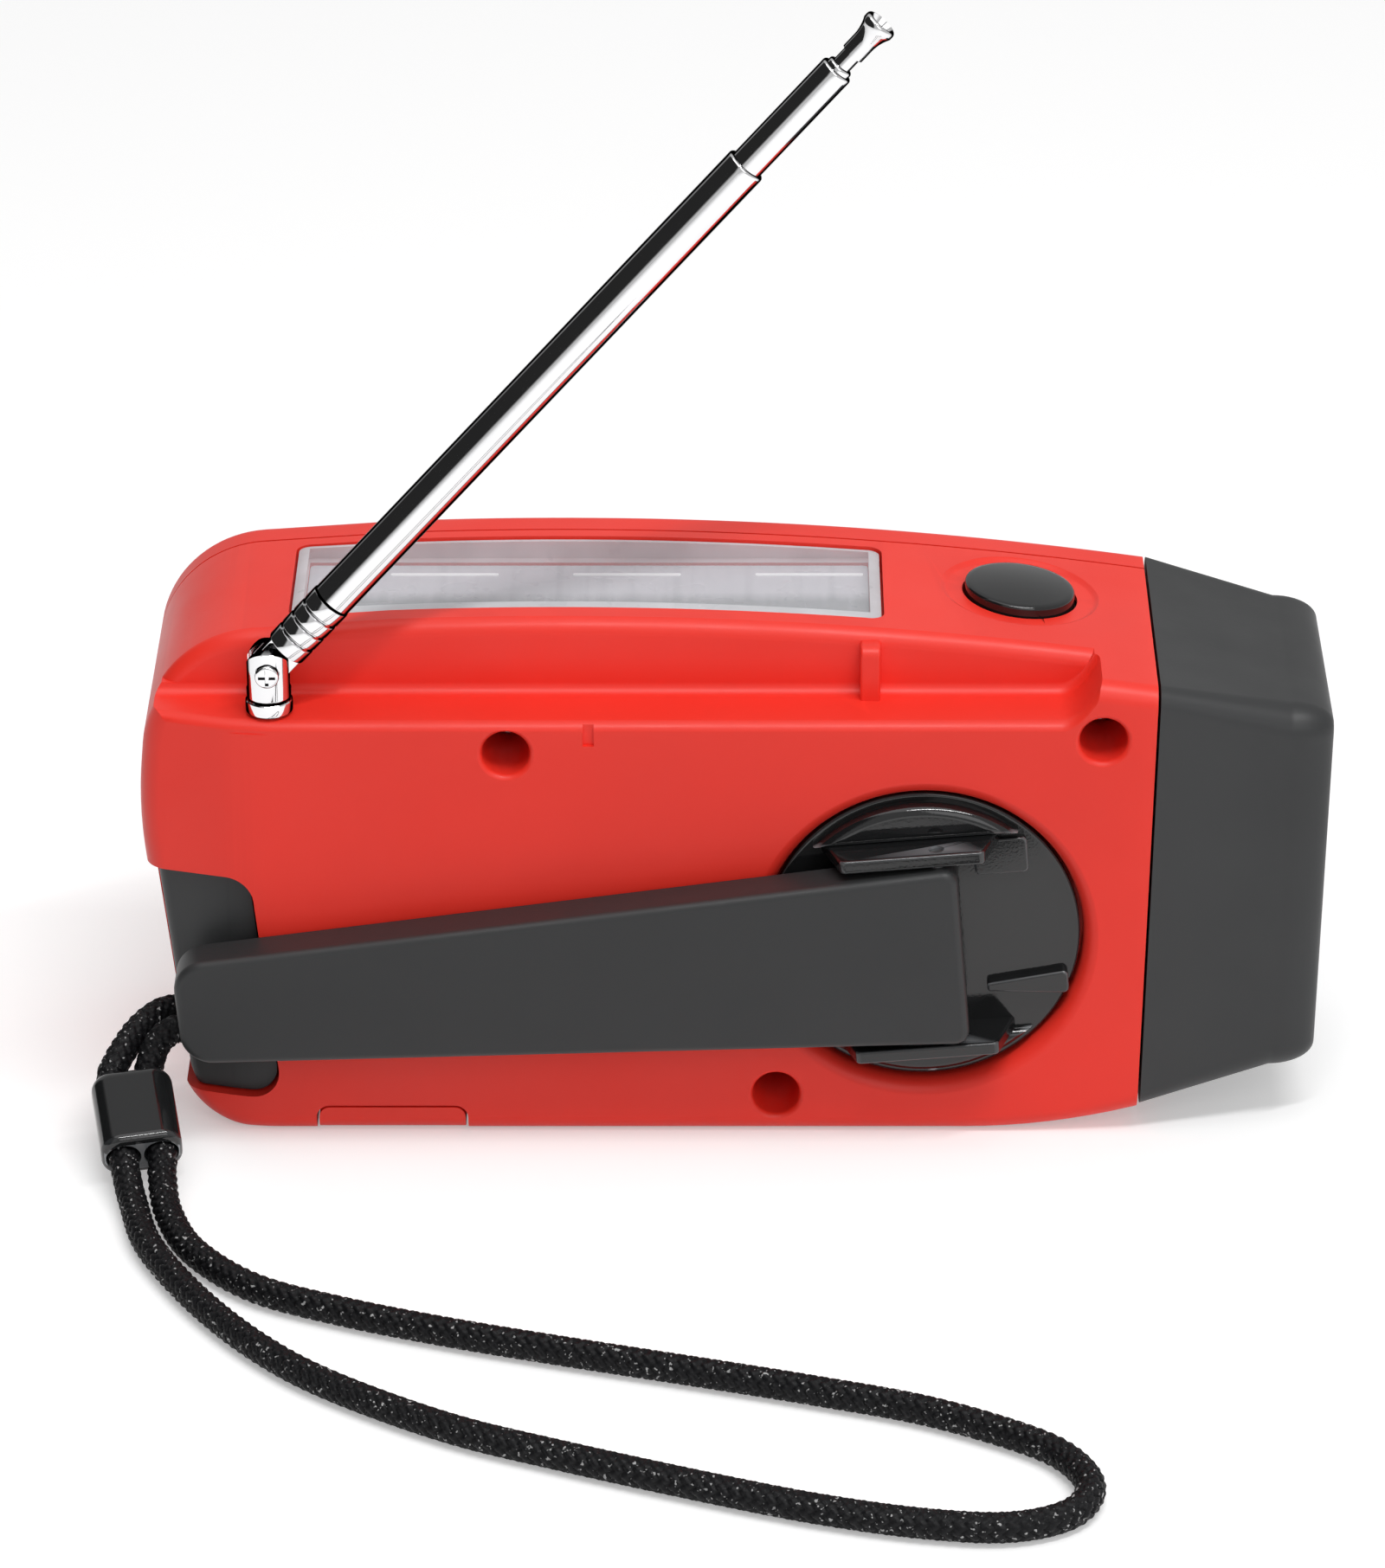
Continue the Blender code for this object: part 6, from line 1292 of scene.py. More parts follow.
def case_cavity():
    """Hollow of the casing, less all that its walls thicken to."""
    hollow = solid("cavity", case_block(CASE_WALL, HEAD_SEAM_X - CASE_WALL))
    cut(hollow, box((CASE_LEFT_X - OVERRUN, CASE_BACK_Y, LEDGE_Z - CASE_WALL),
                    (HEAD_SEAM_X, LEDGE_WALL_Y + CASE_WALL, CROWN_Z)))
    cut(hollow, rod(HUB_RECESS_RADIUS + HUB_RECESS_WALL, CASE_BACK_Y, HUB_RECESS_Y + HUB_RECESS_WALL,
                    "Y", (HUB_X, HUB_Z), 96))
    pocket_wall = GAP + INLAY_POCKET_WALL
    cut(hollow, prism(inlay_outline(pocket_wall), CASE_BACK_Y, INLAY_FRONT_Y + pocket_wall))
    for place in SCREW_PLACES.values():
        cut(hollow, rod(WELL_RADIUS + WELL_WALL, CASE_BACK_Y, WELL_FLOOR_Y + WELL_FLOOR_THICK, "Y", place))
    cut(hollow, prism(solar_outline(GAP + SOLAR_TRAY_WALL), solar_tray_z() - SOLAR_TRAY_WALL, CROWN_Z, "Z"))
    well = BUTTON_RADIUS + BUTTON_FLANGE + GAP + SWITCH_POCKET_WALL
    well_low_z = BUTTON_DISH_Z - BUTTON_WELL_DEPTH - SWITCH_POCKET_WALL
    pocket = SWITCH_POCKET_RADIUS + SWITCH_POCKET_WALL
    place = (BUTTON_X, BUTTON_Y)
    cut(hollow, rod(well, well_low_z, CROWN_Z, "Z", place))
    cut(hollow, rod(pocket, switch_seat_z() - SWITCH_POCKET_WALL, CROWN_Z, "Z", place))
    for place in POST_PLACES.values():
        cut(hollow, rod(POST_RADIUS, CASE_BACK_Y, PLATE_BACK_Y - GAP, "Y", place))
    cut(hollow, rod(AXLE_BOSS_RADIUS, CASE_BACK_Y, DRIVE_BACK_Y - GAP, "Y", idler_place()))
    return melted(hollow)


def antenna_clip():
    """Snap rib on the groove's wall that holds the folded antenna."""
    left_x = CLIP_X - CLIP_WIDTH / 2
    outline = filleted([(LEDGE_WALL_Y - CLIP_DEPTH, LEDGE_Z - GAP, 0),
                        (LEDGE_WALL_Y + CLIP_DEPTH, LEDGE_Z - GAP, 0),
                        (LEDGE_WALL_Y + CLIP_DEPTH, LEDGE_Z + CLIP_HEIGHT, 0),
                        (LEDGE_WALL_Y - CLIP_DEPTH, LEDGE_Z + CLIP_HEIGHT, CLIP_DEPTH / 2)])
    return rounded_prism(outline, left_x, left_x + CLIP_WIDTH, GAP, GAP, "X", 3)


def button_dish():
    """Shallow soft-edged dish round the torch button, following the crown."""
    surface_z = crown_z(BUTTON_X)
    floor_z = surface_z - shape().dish_depth
    inner = BUTTON_RADIUS + (BUTTON_DISH_RADIUS - BUTTON_RADIUS) * 2 / 3
    profile = [(0, floor_z), (inner, floor_z)]
    for share in shares(6)[1:]:
        rise = shape().dish_depth * (1 - cos(pi * share)) / 2
        profile.append((inner + (BUTTON_DISH_RADIUS - inner) * share, floor_z + rise))
    profile += [(BUTTON_DISH_RADIUS + GAP, surface_z + GAP), (BUTTON_DISH_RADIUS + GAP, surface_z + OVERRUN),
                (0, surface_z + OVERRUN)]
    return leaning(turned(profile, "Z", (BUTTON_X, BUTTON_Y), 96), BUTTON_X)


def ferrite_saddle(x):
    """Hanger under the tray that holds the ferrite rod."""
    half = FERRITE_RADIUS + SADDLE_THICK
    return box((x - SADDLE_THICK / 2, FERRITE_Y - half, FERRITE_Z - SADDLE_THICK / 2),
               (x + SADDLE_THICK / 2, FERRITE_Y + half, solar_tray_z() - SOLAR_TRAY_WALL / 2))


def sink_screws(shell):
    """Screw wells and the holes in their floors."""
    for place in SCREW_PLACES.values():
        cut(shell, screw_well(place))
        cut(shell, rod(SCREW_RADIUS + GAP, WELL_FLOOR_Y - GAP, WELL_FLOOR_Y + WELL_FLOOR_THICK + OVERRUN,
                       "Y", place, 24))


def seat_button(shell):
    """Dish, bore, flange room and switch pocket of the torch button."""
    cut(shell, button_dish())
    place = (BUTTON_X, BUTTON_Y)
    flange = BUTTON_RADIUS + BUTTON_FLANGE + GAP
    well_low_z = BUTTON_DISH_Z - BUTTON_WELL_DEPTH
    cut(shell, rod(BUTTON_RADIUS + GAP, well_low_z, CROWN_Z + OVERRUN, "Z", place, 96))
    cut(shell, rod(flange, well_low_z, BUTTON_DISH_Z - BUTTON_WELL_WALL, "Z", place, 96))
    cut(shell, rod(SWITCH_POCKET_RADIUS, switch_seat_z(), well_low_z + GAP, "Z", place))


def carry_batteries(shell):
    """Cradles that the two battery cells lie in."""
    for index in range(2):
        left_x = battery_left_x(index)
        for x in (left_x + CRADLE_INSET, left_x + BATTERY_LENGTH - CRADLE_INSET):
            join(shell, box((x - CRADLE_THICK / 2, PORT_HINGE_Y + 2 * GAP, CASE_WALL / 2),
                            (x + CRADLE_THICK / 2, BATTERY_Y + BATTERY_RADIUS, BATTERY_Z - CRADLE_REACH)))
    cut(shell, rod(BATTERY_RADIUS + GAP, BATTERY_LEFT_X - OVERRUN, battery_left_x(2), "X",
                   (BATTERY_Y, BATTERY_Z)))


def carry_ferrite(shell):
    """Two hangers that the ferrite rod is pushed through."""
    for x in (FERRITE_LEFT_X + SADDLE_THICK, SADDLE_RIGHT_X):
        join(shell, ferrite_saddle(x))
    cut(shell, rod(FERRITE_RADIUS + GAP, FERRITE_LEFT_X - GAP, SADDLE_RIGHT_X + OVERRUN, "X",
                   (FERRITE_Y, FERRITE_Z)))


def back_casing():
    """The red back shell."""
    half_gap = GAP / 2
    shell = solid("casing_back", case_block(0, HEAD_SEAM_X - half_gap))
    cut(shell, case_cavity())
    far_x = CASE_LEFT_X - OVERRUN
    cut(shell, box((far_x, SHELL_SEAM_Y - half_gap, -OVERRUN),
                   (HEAD_SEAM_X + OVERRUN, CASE_FRONT_Y + OVERRUN, CROWN_Z + OVERRUN)))
    cut(shell, groove_space())
    join(shell, antenna_clip())
    cut(shell, box((NOTCH_X - NOTCH_WIDTH / 2, CASE_BACK_Y - OVERRUN, LEDGE_Z - NOTCH_DROP),
                   (NOTCH_X + NOTCH_WIDTH / 2, CASE_BACK_Y + NOTCH_DEPTH, LEDGE_Z + NOTCH_DROP)))
    sink_screws(shell)
    cut(shell, hub_recess())
    cut(shell, rod(BUSH_RADIUS + RUNNING, HUB_RECESS_Y - GAP, HUB_RECESS_Y + HUB_RECESS_WALL + OVERRUN,
                   "Y", (HUB_X, HUB_Z)))
    cut(shell, prism(inlay_outline(GAP), CASE_BACK_Y - OVERRUN, INLAY_FRONT_Y + GAP))
    cut(shell, prism(solar_outline(GAP), solar_tray_z(), CROWN_Z + OVERRUN, "Z"))
    seat_button(shell)
    cut(shell, rod(FOOT_STEM_RADIUS + RUNNING, LEDGE_Z - CASE_WALL - OVERRUN, LEDGE_Z + OVERRUN, "Z",
                   (ANTENNA_X, ANTENNA_Y)))
    cut(shell, prism(port_outline(GAP), CASE_BACK_Y - OVERRUN, PORT_HINGE_Y + GAP))
    cut(shell, rod(IDLER_AXLE_RADIUS + RUNNING, HUB_RECESS_Y + HUB_RECESS_WALL / 2 - GAP, PLATE_BACK_Y, "Y",
                   idler_place(), 24))
    carry_batteries(shell)
    carry_ferrite(shell)
    return dressed(shell, "root", "red_plastic", "back_shell")


def grille_slots():
    """Slots of the loudspeaker grille."""
    slots = []
    for k in range(GRILLE_ROWS):
        z = (k - (GRILLE_ROWS - 1) / 2) * GRILLE_PITCH
        half = sqrt(GRILLE_RADIUS ** 2 - z ** 2)
        outline = rounded_box(SPEAKER_X - half, SPEAKER_X + half, SPEAKER_Z + z - GRILLE_SLOT / 2,
                              SPEAKER_Z + z + GRILLE_SLOT / 2, GRILLE_SLOT * SLOT_END_SHARE, 4)
        slots.append(prism(outline, CASE_FRONT_Y - CASE_WALL - OVERRUN, CASE_FRONT_Y + OVERRUN))
    return slots


def board_posts():
    """Posts that carry the main board, in X and Z."""
    left_x = BOARD_LEFT_X + BOARD_POST_INSET
    right_x = BOARD_RIGHT_X - BOARD_POST_INSET
    low_z = BOARD_LOW_Z + BOARD_POST_INSET
    high_z = BOARD_HIGH_Z - BOARD_POST_INSET
    return [(left_x + BOARD_POST_INSET, low_z), (right_x, low_z), (right_x, high_z)]


def front_casing():
    """The red front shell with grille and control holes."""
    half_gap = GAP / 2
    shell = solid("casing_front", case_block(0, HEAD_SEAM_X - half_gap))
    cut(shell, case_block(CASE_WALL, HEAD_SEAM_X - CASE_WALL))
    cut(shell, box((CASE_LEFT_X - OVERRUN, CASE_BACK_Y - OVERRUN, -OVERRUN),
                   (HEAD_SEAM_X + OVERRUN, SHELL_SEAM_Y + half_gap, CROWN_Z + OVERRUN)))
    inside_y = CASE_FRONT_Y - CASE_WALL / 2
    for place in SCREW_PLACES.values():
        join(shell, rod(PILLAR_RADIUS, WELL_FLOOR_Y + WELL_FLOOR_THICK + GAP, inside_y, "Y", place))
        screw_end_y = WELL_FLOOR_Y + SCREW_LENGTH + GAP
        cut(shell, rod(SCREW_RADIUS + RUNNING, WELL_FLOOR_Y, screw_end_y, "Y", place, 24))
    for place in board_posts():
        join(shell, rod(BOARD_POST_RADIUS, BOARD_BACK_Y + BOARD_THICK + GAP, inside_y, "Y", place, 24))
    cut(shell, *grille_slots())
    out_y = CASE_FRONT_Y + OVERRUN
    in_y = CASE_FRONT_Y - CASE_WALL - OVERRUN
    cut(shell, rod(DIAL_STEM_RADIUS + GAP, in_y, out_y, "Y", (DIAL_X, DIAL_Z)))
    cut(shell, rod(VOLUME_STEM_RADIUS + GAP, in_y, out_y, "Y", (VOLUME_X, VOLUME_Z)))
    half_x = BAND_STEM_WIDTH / 2 + GAP
    slot_low_z = BAND_Z - BAND_STEM_LENGTH / 2 - GAP
    slot_high_z = BAND_Z + BAND_STEM_LENGTH / 2 + BAND_TRAVEL + GAP
    cut(shell, box((BAND_X - half_x, in_y, slot_low_z), (BAND_X + half_x, out_y, slot_high_z)))
    return dressed(shell, "root", "red_plastic", "front_shell")


# Solar window
def window_cover():
    """Clear cover that follows the crown, with a broad bevel all round."""
    bevel = shape().window_bevel
    drop = bevel / 4
    outline = solar_outline(0)
    top_z = CROWN_Z
    levels = [(inset(outline, bevel), SOLAR_COVER_UNDER_Z), (outline, SOLAR_COVER_UNDER_Z),
              (outline, top_z - drop)]
    for share in shares(4)[1:]:
        levels.append((inset(outline, bevel * share), top_z - drop * (1 - share) ** 2))
    mesh = stacked(levels, "Z")
    striped(mesh, [SOLAR_LEFT_X + (SOLAR_RIGHT_X - SOLAR_LEFT_X) * k / 24 for k in range(1, 24)])
    for corner in mesh.verts:
        if corner.co.z > top_z - 2 * drop:
            corner.co.z += crown_z(corner.co.x) - top_z
    cover = solid("window_cover", mesh)
    dressed(cover, "root", "clear_plastic", "solar_cover", material=window_plastic())
    # The bevel's faces take a matte white that paints its highlight
    cover.data.materials.append(frosted_bevel())
    for face in cover.data.polygons:
        place = face.center
        inside_x = SOLAR_LEFT_X + bevel < place.x < SOLAR_RIGHT_X - bevel
        if abs(place.y - SOLAR_Y) > SOLAR_WIDTH / 2 - bevel or not inside_x:
            face.material_index = 1
    return cover


def window_cell():
    """The cell under the cover, with its contact ribbons."""
    half = SOLAR_WIDTH / 2 - SOLAR_CELL_MARGIN
    outline = rounded_box(SOLAR_LEFT_X + SOLAR_CELL_MARGIN, SOLAR_RIGHT_X - SOLAR_CELL_MARGIN,
                          SOLAR_Y - half, SOLAR_Y + half, 2 * GAP, 4)
    low_z = solar_tray_z() + GAP
    high_z = SOLAR_COVER_UNDER_Z - GAP
    cell = solid("window_cell", rounded_prism(outline, low_z, high_z, 0, GAP / 2, "Z", 2))
    dressed(cell, "root", "solar_glass", "solar_cell")
    place_y = SOLAR_Y + half - RIBBON_INSET
    for k in range(RIBBON_COUNT):
        right_x = SOLAR_RIGHT_X - RIBBON_END_ROOM - RIBBON_PITCH * k
        ribbon = rounded_box(right_x - RIBBON_LENGTH, right_x, place_y, place_y + RIBBON_WIDTH,
                             RIBBON_WIDTH / 3, 3)
        mesh = prism(ribbon, high_z - GAP / 3, high_z + GAP / 3, "Z")
        dressed(solid("cell_ribbon_%d" % (k + 1), mesh), "root", "steel", material=tinned_ribbon())


# Torch button
def button_cap():
    """Domed push button that follows the crown's slope."""
    low = BUTTON_DISH_Z - BUTTON_SKIRT
    flange_top = BUTTON_DISH_Z - BUTTON_WELL_WALL - GAP
    flange_low = flange_top - BUTTON_FLANGE
    stand = crown_z(BUTTON_X) - shape().dish_depth + BUTTON_STAND
    edge = BUTTON_DOME / 2
    dome = arc((BUTTON_RADIUS - edge, stand), edge, 0, pi / 3, 6)
    start_radius, start_z = dome[-1]
    top = stand + BUTTON_DOME
    for share in shares(12)[1:-1]:
        radius = start_radius * (1 - share)
        dome.append((radius, top - (top - start_z) * (radius / start_radius) ** 2))
    base = [(0, low), (BUTTON_STEM_RADIUS, low), (BUTTON_STEM_RADIUS, flange_low),
            (BUTTON_RADIUS + BUTTON_FLANGE, flange_low), (BUTTON_RADIUS + BUTTON_FLANGE, flange_top),
            (BUTTON_RADIUS, flange_top)]
    mesh = turned(base + dome + [(0, top)], "Z", (BUTTON_X, BUTTON_Y), 96)
    piece("button_cap", leaning(mesh, BUTTON_X, flange_top + GAP), "button", "gloss_black_plastic",
          "torch_button")


# Left end
def left_inlay():
    """Dark inlay of the left end with the lanyard's notch."""
    inlay = solid("left_inlay", case_block(INLAY_DROP, HEAD_SEAM_X))
    trim(inlay, rounded_prism(inlay_outline(0), CASE_BACK_Y - OVERRUN, INLAY_FRONT_Y, 0, 0))
    half = LANYARD_NOTCH_HEIGHT / 2
    notch = rounded_box(CASE_LEFT_X - OVERRUN, LANYARD_NOTCH_X, LANYARD_NOTCH_Z - half,
                        LANYARD_NOTCH_Z + half, 2 * GAP, 4)
    cut(inlay, prism(notch, LANYARD_NOTCH_BACK_Y, LANYARD_NOTCH_FRONT_Y))
    low_z = LANYARD_NOTCH_Z - half - LANYARD_BAR_SEAT
    high_z = LANYARD_NOTCH_Z + half + LANYARD_BAR_SEAT
    place = (LANYARD_BAR_X, (LANYARD_NOTCH_BACK_Y + LANYARD_NOTCH_FRONT_Y) / 2)
    cut(inlay, rod(LANYARD_BAR_RADIUS + RUNNING, low_z, high_z, "Z", place, 32))
    dressed(inlay, "root", "dark_grey_plastic", "end_inlay")
    bar = softened(bar_profile(LANYARD_BAR_RADIUS, low_z + RUNNING, high_z - RUNNING), GAP / 2)
    piece("notch_bar", turned(bar, "Z", place, 32), "root", "steel", "lanyard_bar")


def socket_flap():
    """Red flap over the charging socket."""
    flap = solid("socket_flap", case_block(PORT_DROP, HEAD_SEAM_X))
    trim(flap, prism(port_outline(0), CASE_BACK_Y - OVERRUN, PORT_HINGE_Y))
    cut(flap, case_block(PORT_DROP + PORT_THICK, HEAD_SEAM_X + OVERRUN))
    dressed(flap, "port_flap", "red_plastic", "port_cover")


# Crank
def segment_outline(radius, inner_z, upper):
    """Part of a disc beyond a chord."""
    side = acos(inner_z / radius)
    middle = pi / 2 if upper else -pi / 2
    return arc((0, 0), radius, middle - side, middle + side, 40)


def pad(radius, inner_z, upper, front_y, root_y):
    """Raised segment of the hub with a rounded ridge round its front."""
    ridge = 4 * shape().edge_radius
    levels = [(segment_outline(radius - inwards, inner_z + inwards, upper), front_y + along)
              for inwards, along in quarter_round(ridge, 5)]
    levels.append((segment_outline(radius, inner_z, upper), root_y))
    return stacked(levels, "Y")


def ear_outline():
    """Side view of one ear in X and Y, wider at its root."""
    root = HUB_FACE_Y + HUB_EDGE
    return filleted([(EAR_LEFT_X, root, 0), (EAR_LEFT_X + EAR_SLOPE, EAR_TOP_Y, EAR_THICK / 2),
                     (EAR_RIGHT_X - EAR_SLOPE, EAR_TOP_Y, EAR_THICK / 2), (EAR_RIGHT_X, root, 0)], 6)


def arm_pin_y():
    """Depth of the arm's pin, in the middle of the arm."""
    return ARM_OUTER_Y + ARM_THICK / 2


def hub():
    """Hub disc with two ears, pads, channel step and wedge rib."""
    edge = shape().edge_radius
    back_y = HUB_RECESS_Y - GAP
    disc = softened(bar_profile(HUB_RADIUS, back_y, HUB_FACE_Y), HUB_EDGE, 4)
    body = solid("hub", turned(disc, "Y", (0, 0), 128))
    ear_low = ARM_HUB_HALF + GAP
    ear_high = ear_low + EAR_THICK
    for low, high in ((ear_low, ear_high), (-ear_high, -ear_low)):
        join(body, rounded_prism(ear_outline(), low, high, edge, edge, "Z"))
    pad_radius = HUB_RADIUS - PAD_MARGIN
    root_y = HUB_FACE_Y + HUB_EDGE / 2
    for upper, pad_y in ((True, UPPER_PAD_Y), (False, LOWER_PAD_Y)):
        join(body, pad(pad_radius, ear_high - GAP, upper, pad_y, root_y))
    step_right_x = sqrt(pad_radius ** 2 - ear_low ** 2) - edge
    step = rounded_box(CHANNEL_STEP_LEFT_X, step_right_x, CHANNEL_STEP_HALF, ear_low + GAP, 2 * edge, 3)
    join(body, rounded_prism(step, HUB_FACE_Y - CHANNEL_STEP_HEIGHT, root_y - GAP / 2, edge, 0))
    thin_round = 1.2 * edge
    thick_round = 2 * edge
    wedge = filleted([(WEDGE_LEFT_X, WEDGE_Z - WEDGE_THIN, thin_round),
                      (WEDGE_RIGHT_X, WEDGE_Z - WEDGE_THICK, thick_round),
                      (WEDGE_RIGHT_X, WEDGE_Z + WEDGE_THICK, thick_round),
                      (WEDGE_LEFT_X, WEDGE_Z + WEDGE_THIN, thin_round)], 4)
    join(body, rounded_prism(wedge, HUB_FACE_Y - WEDGE_HEIGHT, root_y - GAP / 4, edge, 0))
    cut(body, rod(ARM_PIN_RADIUS + RUNNING, -ear_high - OVERRUN, ear_high + OVERRUN, "Z",
                  (ARM_PIN_X, arm_pin_y()), 32))
    cut(body, rod(SHAFT_RADIUS + RUNNING, back_y - SHAFT_HUB_DEPTH, back_y + OVERRUN, "Y", (0, 0), 32))
    moved(body, hub_turn())
    return dressed(body, "crank", "dark_grey_plastic", "crank_hub", material=finish("gloss_black_plastic"))


def arm_outline():
    """Back view of the arm, tapered to its free end."""
    return filleted([(ARM_LEFT_X, -ARM_FREE_HALF, ARM_END_RADIUS),
                     (ARM_RIGHT_X, -ARM_HUB_HALF, 2 * ARM_CORNER_RADIUS),
                     (ARM_RIGHT_X, ARM_HUB_HALF, 2 * ARM_CORNER_RADIUS),
                     (ARM_LEFT_X, ARM_FREE_HALF, ARM_END_RADIUS)], 10)


def arm():
    """Hollow arm with rounded edges."""
    inner_y = ARM_OUTER_Y + ARM_THICK
    outline = arm_outline()
    body = solid("arm", rounded_prism(outline, ARM_OUTER_Y, inner_y, ARM_EDGE, GAP / 2, "Y", 5))
    hollow_right_x = ARM_RIGHT_X - ARM_SOLID_LENGTH
    hollow = prism(inset(outline, ARM_WALL), ARM_OUTER_Y + ARM_WALL, inner_y + OVERRUN)
    cut(body, sliced(hollow, (hollow_right_x, 0, 0), (1, 0, 0)))
    reach = ARM_HUB_HALF + OVERRUN
    cut(body, rod(ARM_PIN_RADIUS + RUNNING, -reach, reach, "Z", (ARM_PIN_X, arm_pin_y()), 32))
    moved(body, hub_turn())
    return dressed(body, "arm", "dark_grey_plastic", "crank_arm")


def crank_small_parts():
    """Arm pin, finger knob and the knob's rivet."""
    pin_half = ARM_HUB_HALF + EAR_THICK
    pin = softened(bar_profile(ARM_PIN_RADIUS, -pin_half, pin_half), GAP / 2)
    piece("pin", turned(pin, "Z", (ARM_PIN_X, arm_pin_y()), 32), "crank", "steel", "arm_pin", turn=hub_turn())
    floor_y = ARM_OUTER_Y + ARM_WALL + GAP
    face_y = ARM_OUTER_Y + ARM_THICK - GAP
    knob = softened(bar_profile(KNOB_RADIUS, floor_y, face_y, RIVET_RADIUS + RUNNING), KNOB_EDGE, 4)
    piece("finger_knob", turned(knob, "Y", (KNOB_X, 0), 64), "knob", "gloss_black_plastic", "crank_knob",
          turn=hub_turn())
    rivet = softened(bar_profile(RIVET_RADIUS, floor_y - GAP + RUNNING, face_y), GAP)
    piece("rivet", turned(rivet, "Y", (KNOB_X, 0), 32), "arm", "steel", "knob_rivet", turn=hub_turn())


# Torch head
def head_ring(low_z, high_z, half, margin, corner):
    """Round-cornered section of the head in Y and Z."""
    radius = max(corner - margin, HEAD_INNER_CORNER)
    return rounded_box(margin - half, half - margin, low_z + margin, high_z - margin, radius, 8)


def head_block(depth):
    """The head's full solid, a depth below its outside."""
    seam = head_ring(rise_z(HEAD_SEAM_X), crown_z(HEAD_SEAM_X), CASE_FRONT_Y, depth, CASE_RIM_RADIUS)
    levels = [(seam, HEAD_SEAM_X + GAP / 2 - depth)]
    reach = HEAD_END_X - HEAD_SHOULDER_X - depth
    for k in range(13):
        turn = pi / 2 * k / 12
        margin = depth + HEAD_END_INSET * (1 - cos(turn))
        level = head_ring(HEAD_SHOULDER_LOW_Z, HEAD_SHOULDER_HIGH_Z, HEAD_SHOULDER_HALF, margin, HEAD_CORNER)
        levels.append((level, HEAD_SHOULDER_X + reach * sin(turn)))
    return stacked(levels, "X")


def head_leaned(item):
    """Lean a piece of the head with the seam, which runs to the left as it goes down."""
    top_z = crown_z(HEAD_SEAM_X)
    for vertex in item.data.vertices:
        vertex.co.x -= tan(SEAM_LEAN) * (top_z - vertex.co.z)
    return item


def torch_head():
    """Dark housing with lens, reflector and light-emitting diodes."""
    housing = solid("head_casing", head_block(0))
    cut(housing, sliced(head_block(HEAD_WALL), (HEAD_END_X - HEAD_FACE_THICK, 0, 0), (1, 0, 0)))
    place = (0, LENS_Z)
    low_x = HEAD_END_X - HEAD_FACE_THICK - OVERRUN
    mouth = LENS_RADIUS + GAP
    lip = arc((mouth + 2 * GAP, HEAD_END_X - 2 * GAP), 2 * GAP, pi, pi / 2, 4)
    profile = [(0, low_x), (mouth, low_x)] + lip
    profile += [(mouth + 2 * GAP, HEAD_END_X + OVERRUN), (0, HEAD_END_X + OVERRUN)]
    cut(housing, turned(profile, "X", place, 96))
    head_leaned(dressed(housing, "root", "dark_grey_plastic", "head_housing"))
    front_x = HEAD_END_X - LENS_RECESS
    back_x = front_x - LENS_THICK
    lens = softened(bar_profile(LENS_RADIUS, back_x, front_x), GAP)
    head_leaned(piece("lens", turned(lens, "X", place, 96), "root", "clear_plastic", "head_lens"))
    reflector(back_x - GAP, place)


def reflector(rim_x, place):
    """Bright bowl behind the lens, and three diodes in it."""
    base_x = REFLECTOR_BACK_X
    wall = REFLECTOR_WALL
    outer = [(0, base_x)]
    inner = []
    for share in shares(16):
        radius = REFLECTOR_BASE_RADIUS + (LENS_RADIUS - REFLECTOR_BASE_RADIUS) * share
        outer.append((radius, base_x + (rim_x - wall - base_x) * share ** REFLECTOR_CURVE))
        inner.append((radius - wall, base_x + wall + (rim_x - base_x - wall) * share ** REFLECTOR_CURVE))
    profile = outer + [(LENS_RADIUS, rim_x)] + inner[::-1] + [(0, base_x + wall)]
    bowl = solid("bowl", turned(profile, "X", place, 96))
    orbit = [(LED_ORBIT * cos(turn), LENS_Z + LED_ORBIT * sin(turn))
             for turn in (pi / 2, pi / 2 + 2 * pi / 3, pi / 2 - 2 * pi / 3)]
    for spot in orbit:
        cut(bowl, rod(LED_RADIUS + GAP, base_x - OVERRUN, base_x + OVERRUN, "X", spot, 32))
    head_leaned(dressed(bowl, "root", "chrome", "head_reflector"))
    for number, spot in enumerate(orbit, 1):
        shoulder_x = base_x + LED_LENGTH - LED_RADIUS
        dome = arc((0, shoulder_x), LED_RADIUS, 0, pi / 2, 10)[:-1]
        profile = [(0, base_x), (LED_RADIUS, base_x)] + dome + [(0, base_x + LED_LENGTH)]
        head_leaned(piece("diode_" + str(number), turned(profile, "X", spot, 40), "root", "led_resin",
                          "led_" + str(number)))


# Antenna
def antenna_foot():
    """Foot on the ledge with its hollow stem."""
    pivot = SWIVEL_PIVOT_RADIUS + RUNNING
    stem_low_z = FOOT_LOW_Z - FOOT_STEM_LENGTH
    profile = [(pivot, stem_low_z), (FOOT_STEM_RADIUS, stem_low_z), (FOOT_STEM_RADIUS, FOOT_LOW_Z),
               (FOOT_RADIUS, FOOT_LOW_Z), (FOOT_RADIUS, FOOT_HIGH_Z), (pivot, FOOT_HIGH_Z)]
    mesh = turned(softened(profile, FOOT_EDGE), "Z", (ANTENNA_X, ANTENNA_Y), 64)
    piece("foot", mesh, "root", "chrome", "antenna_foot")


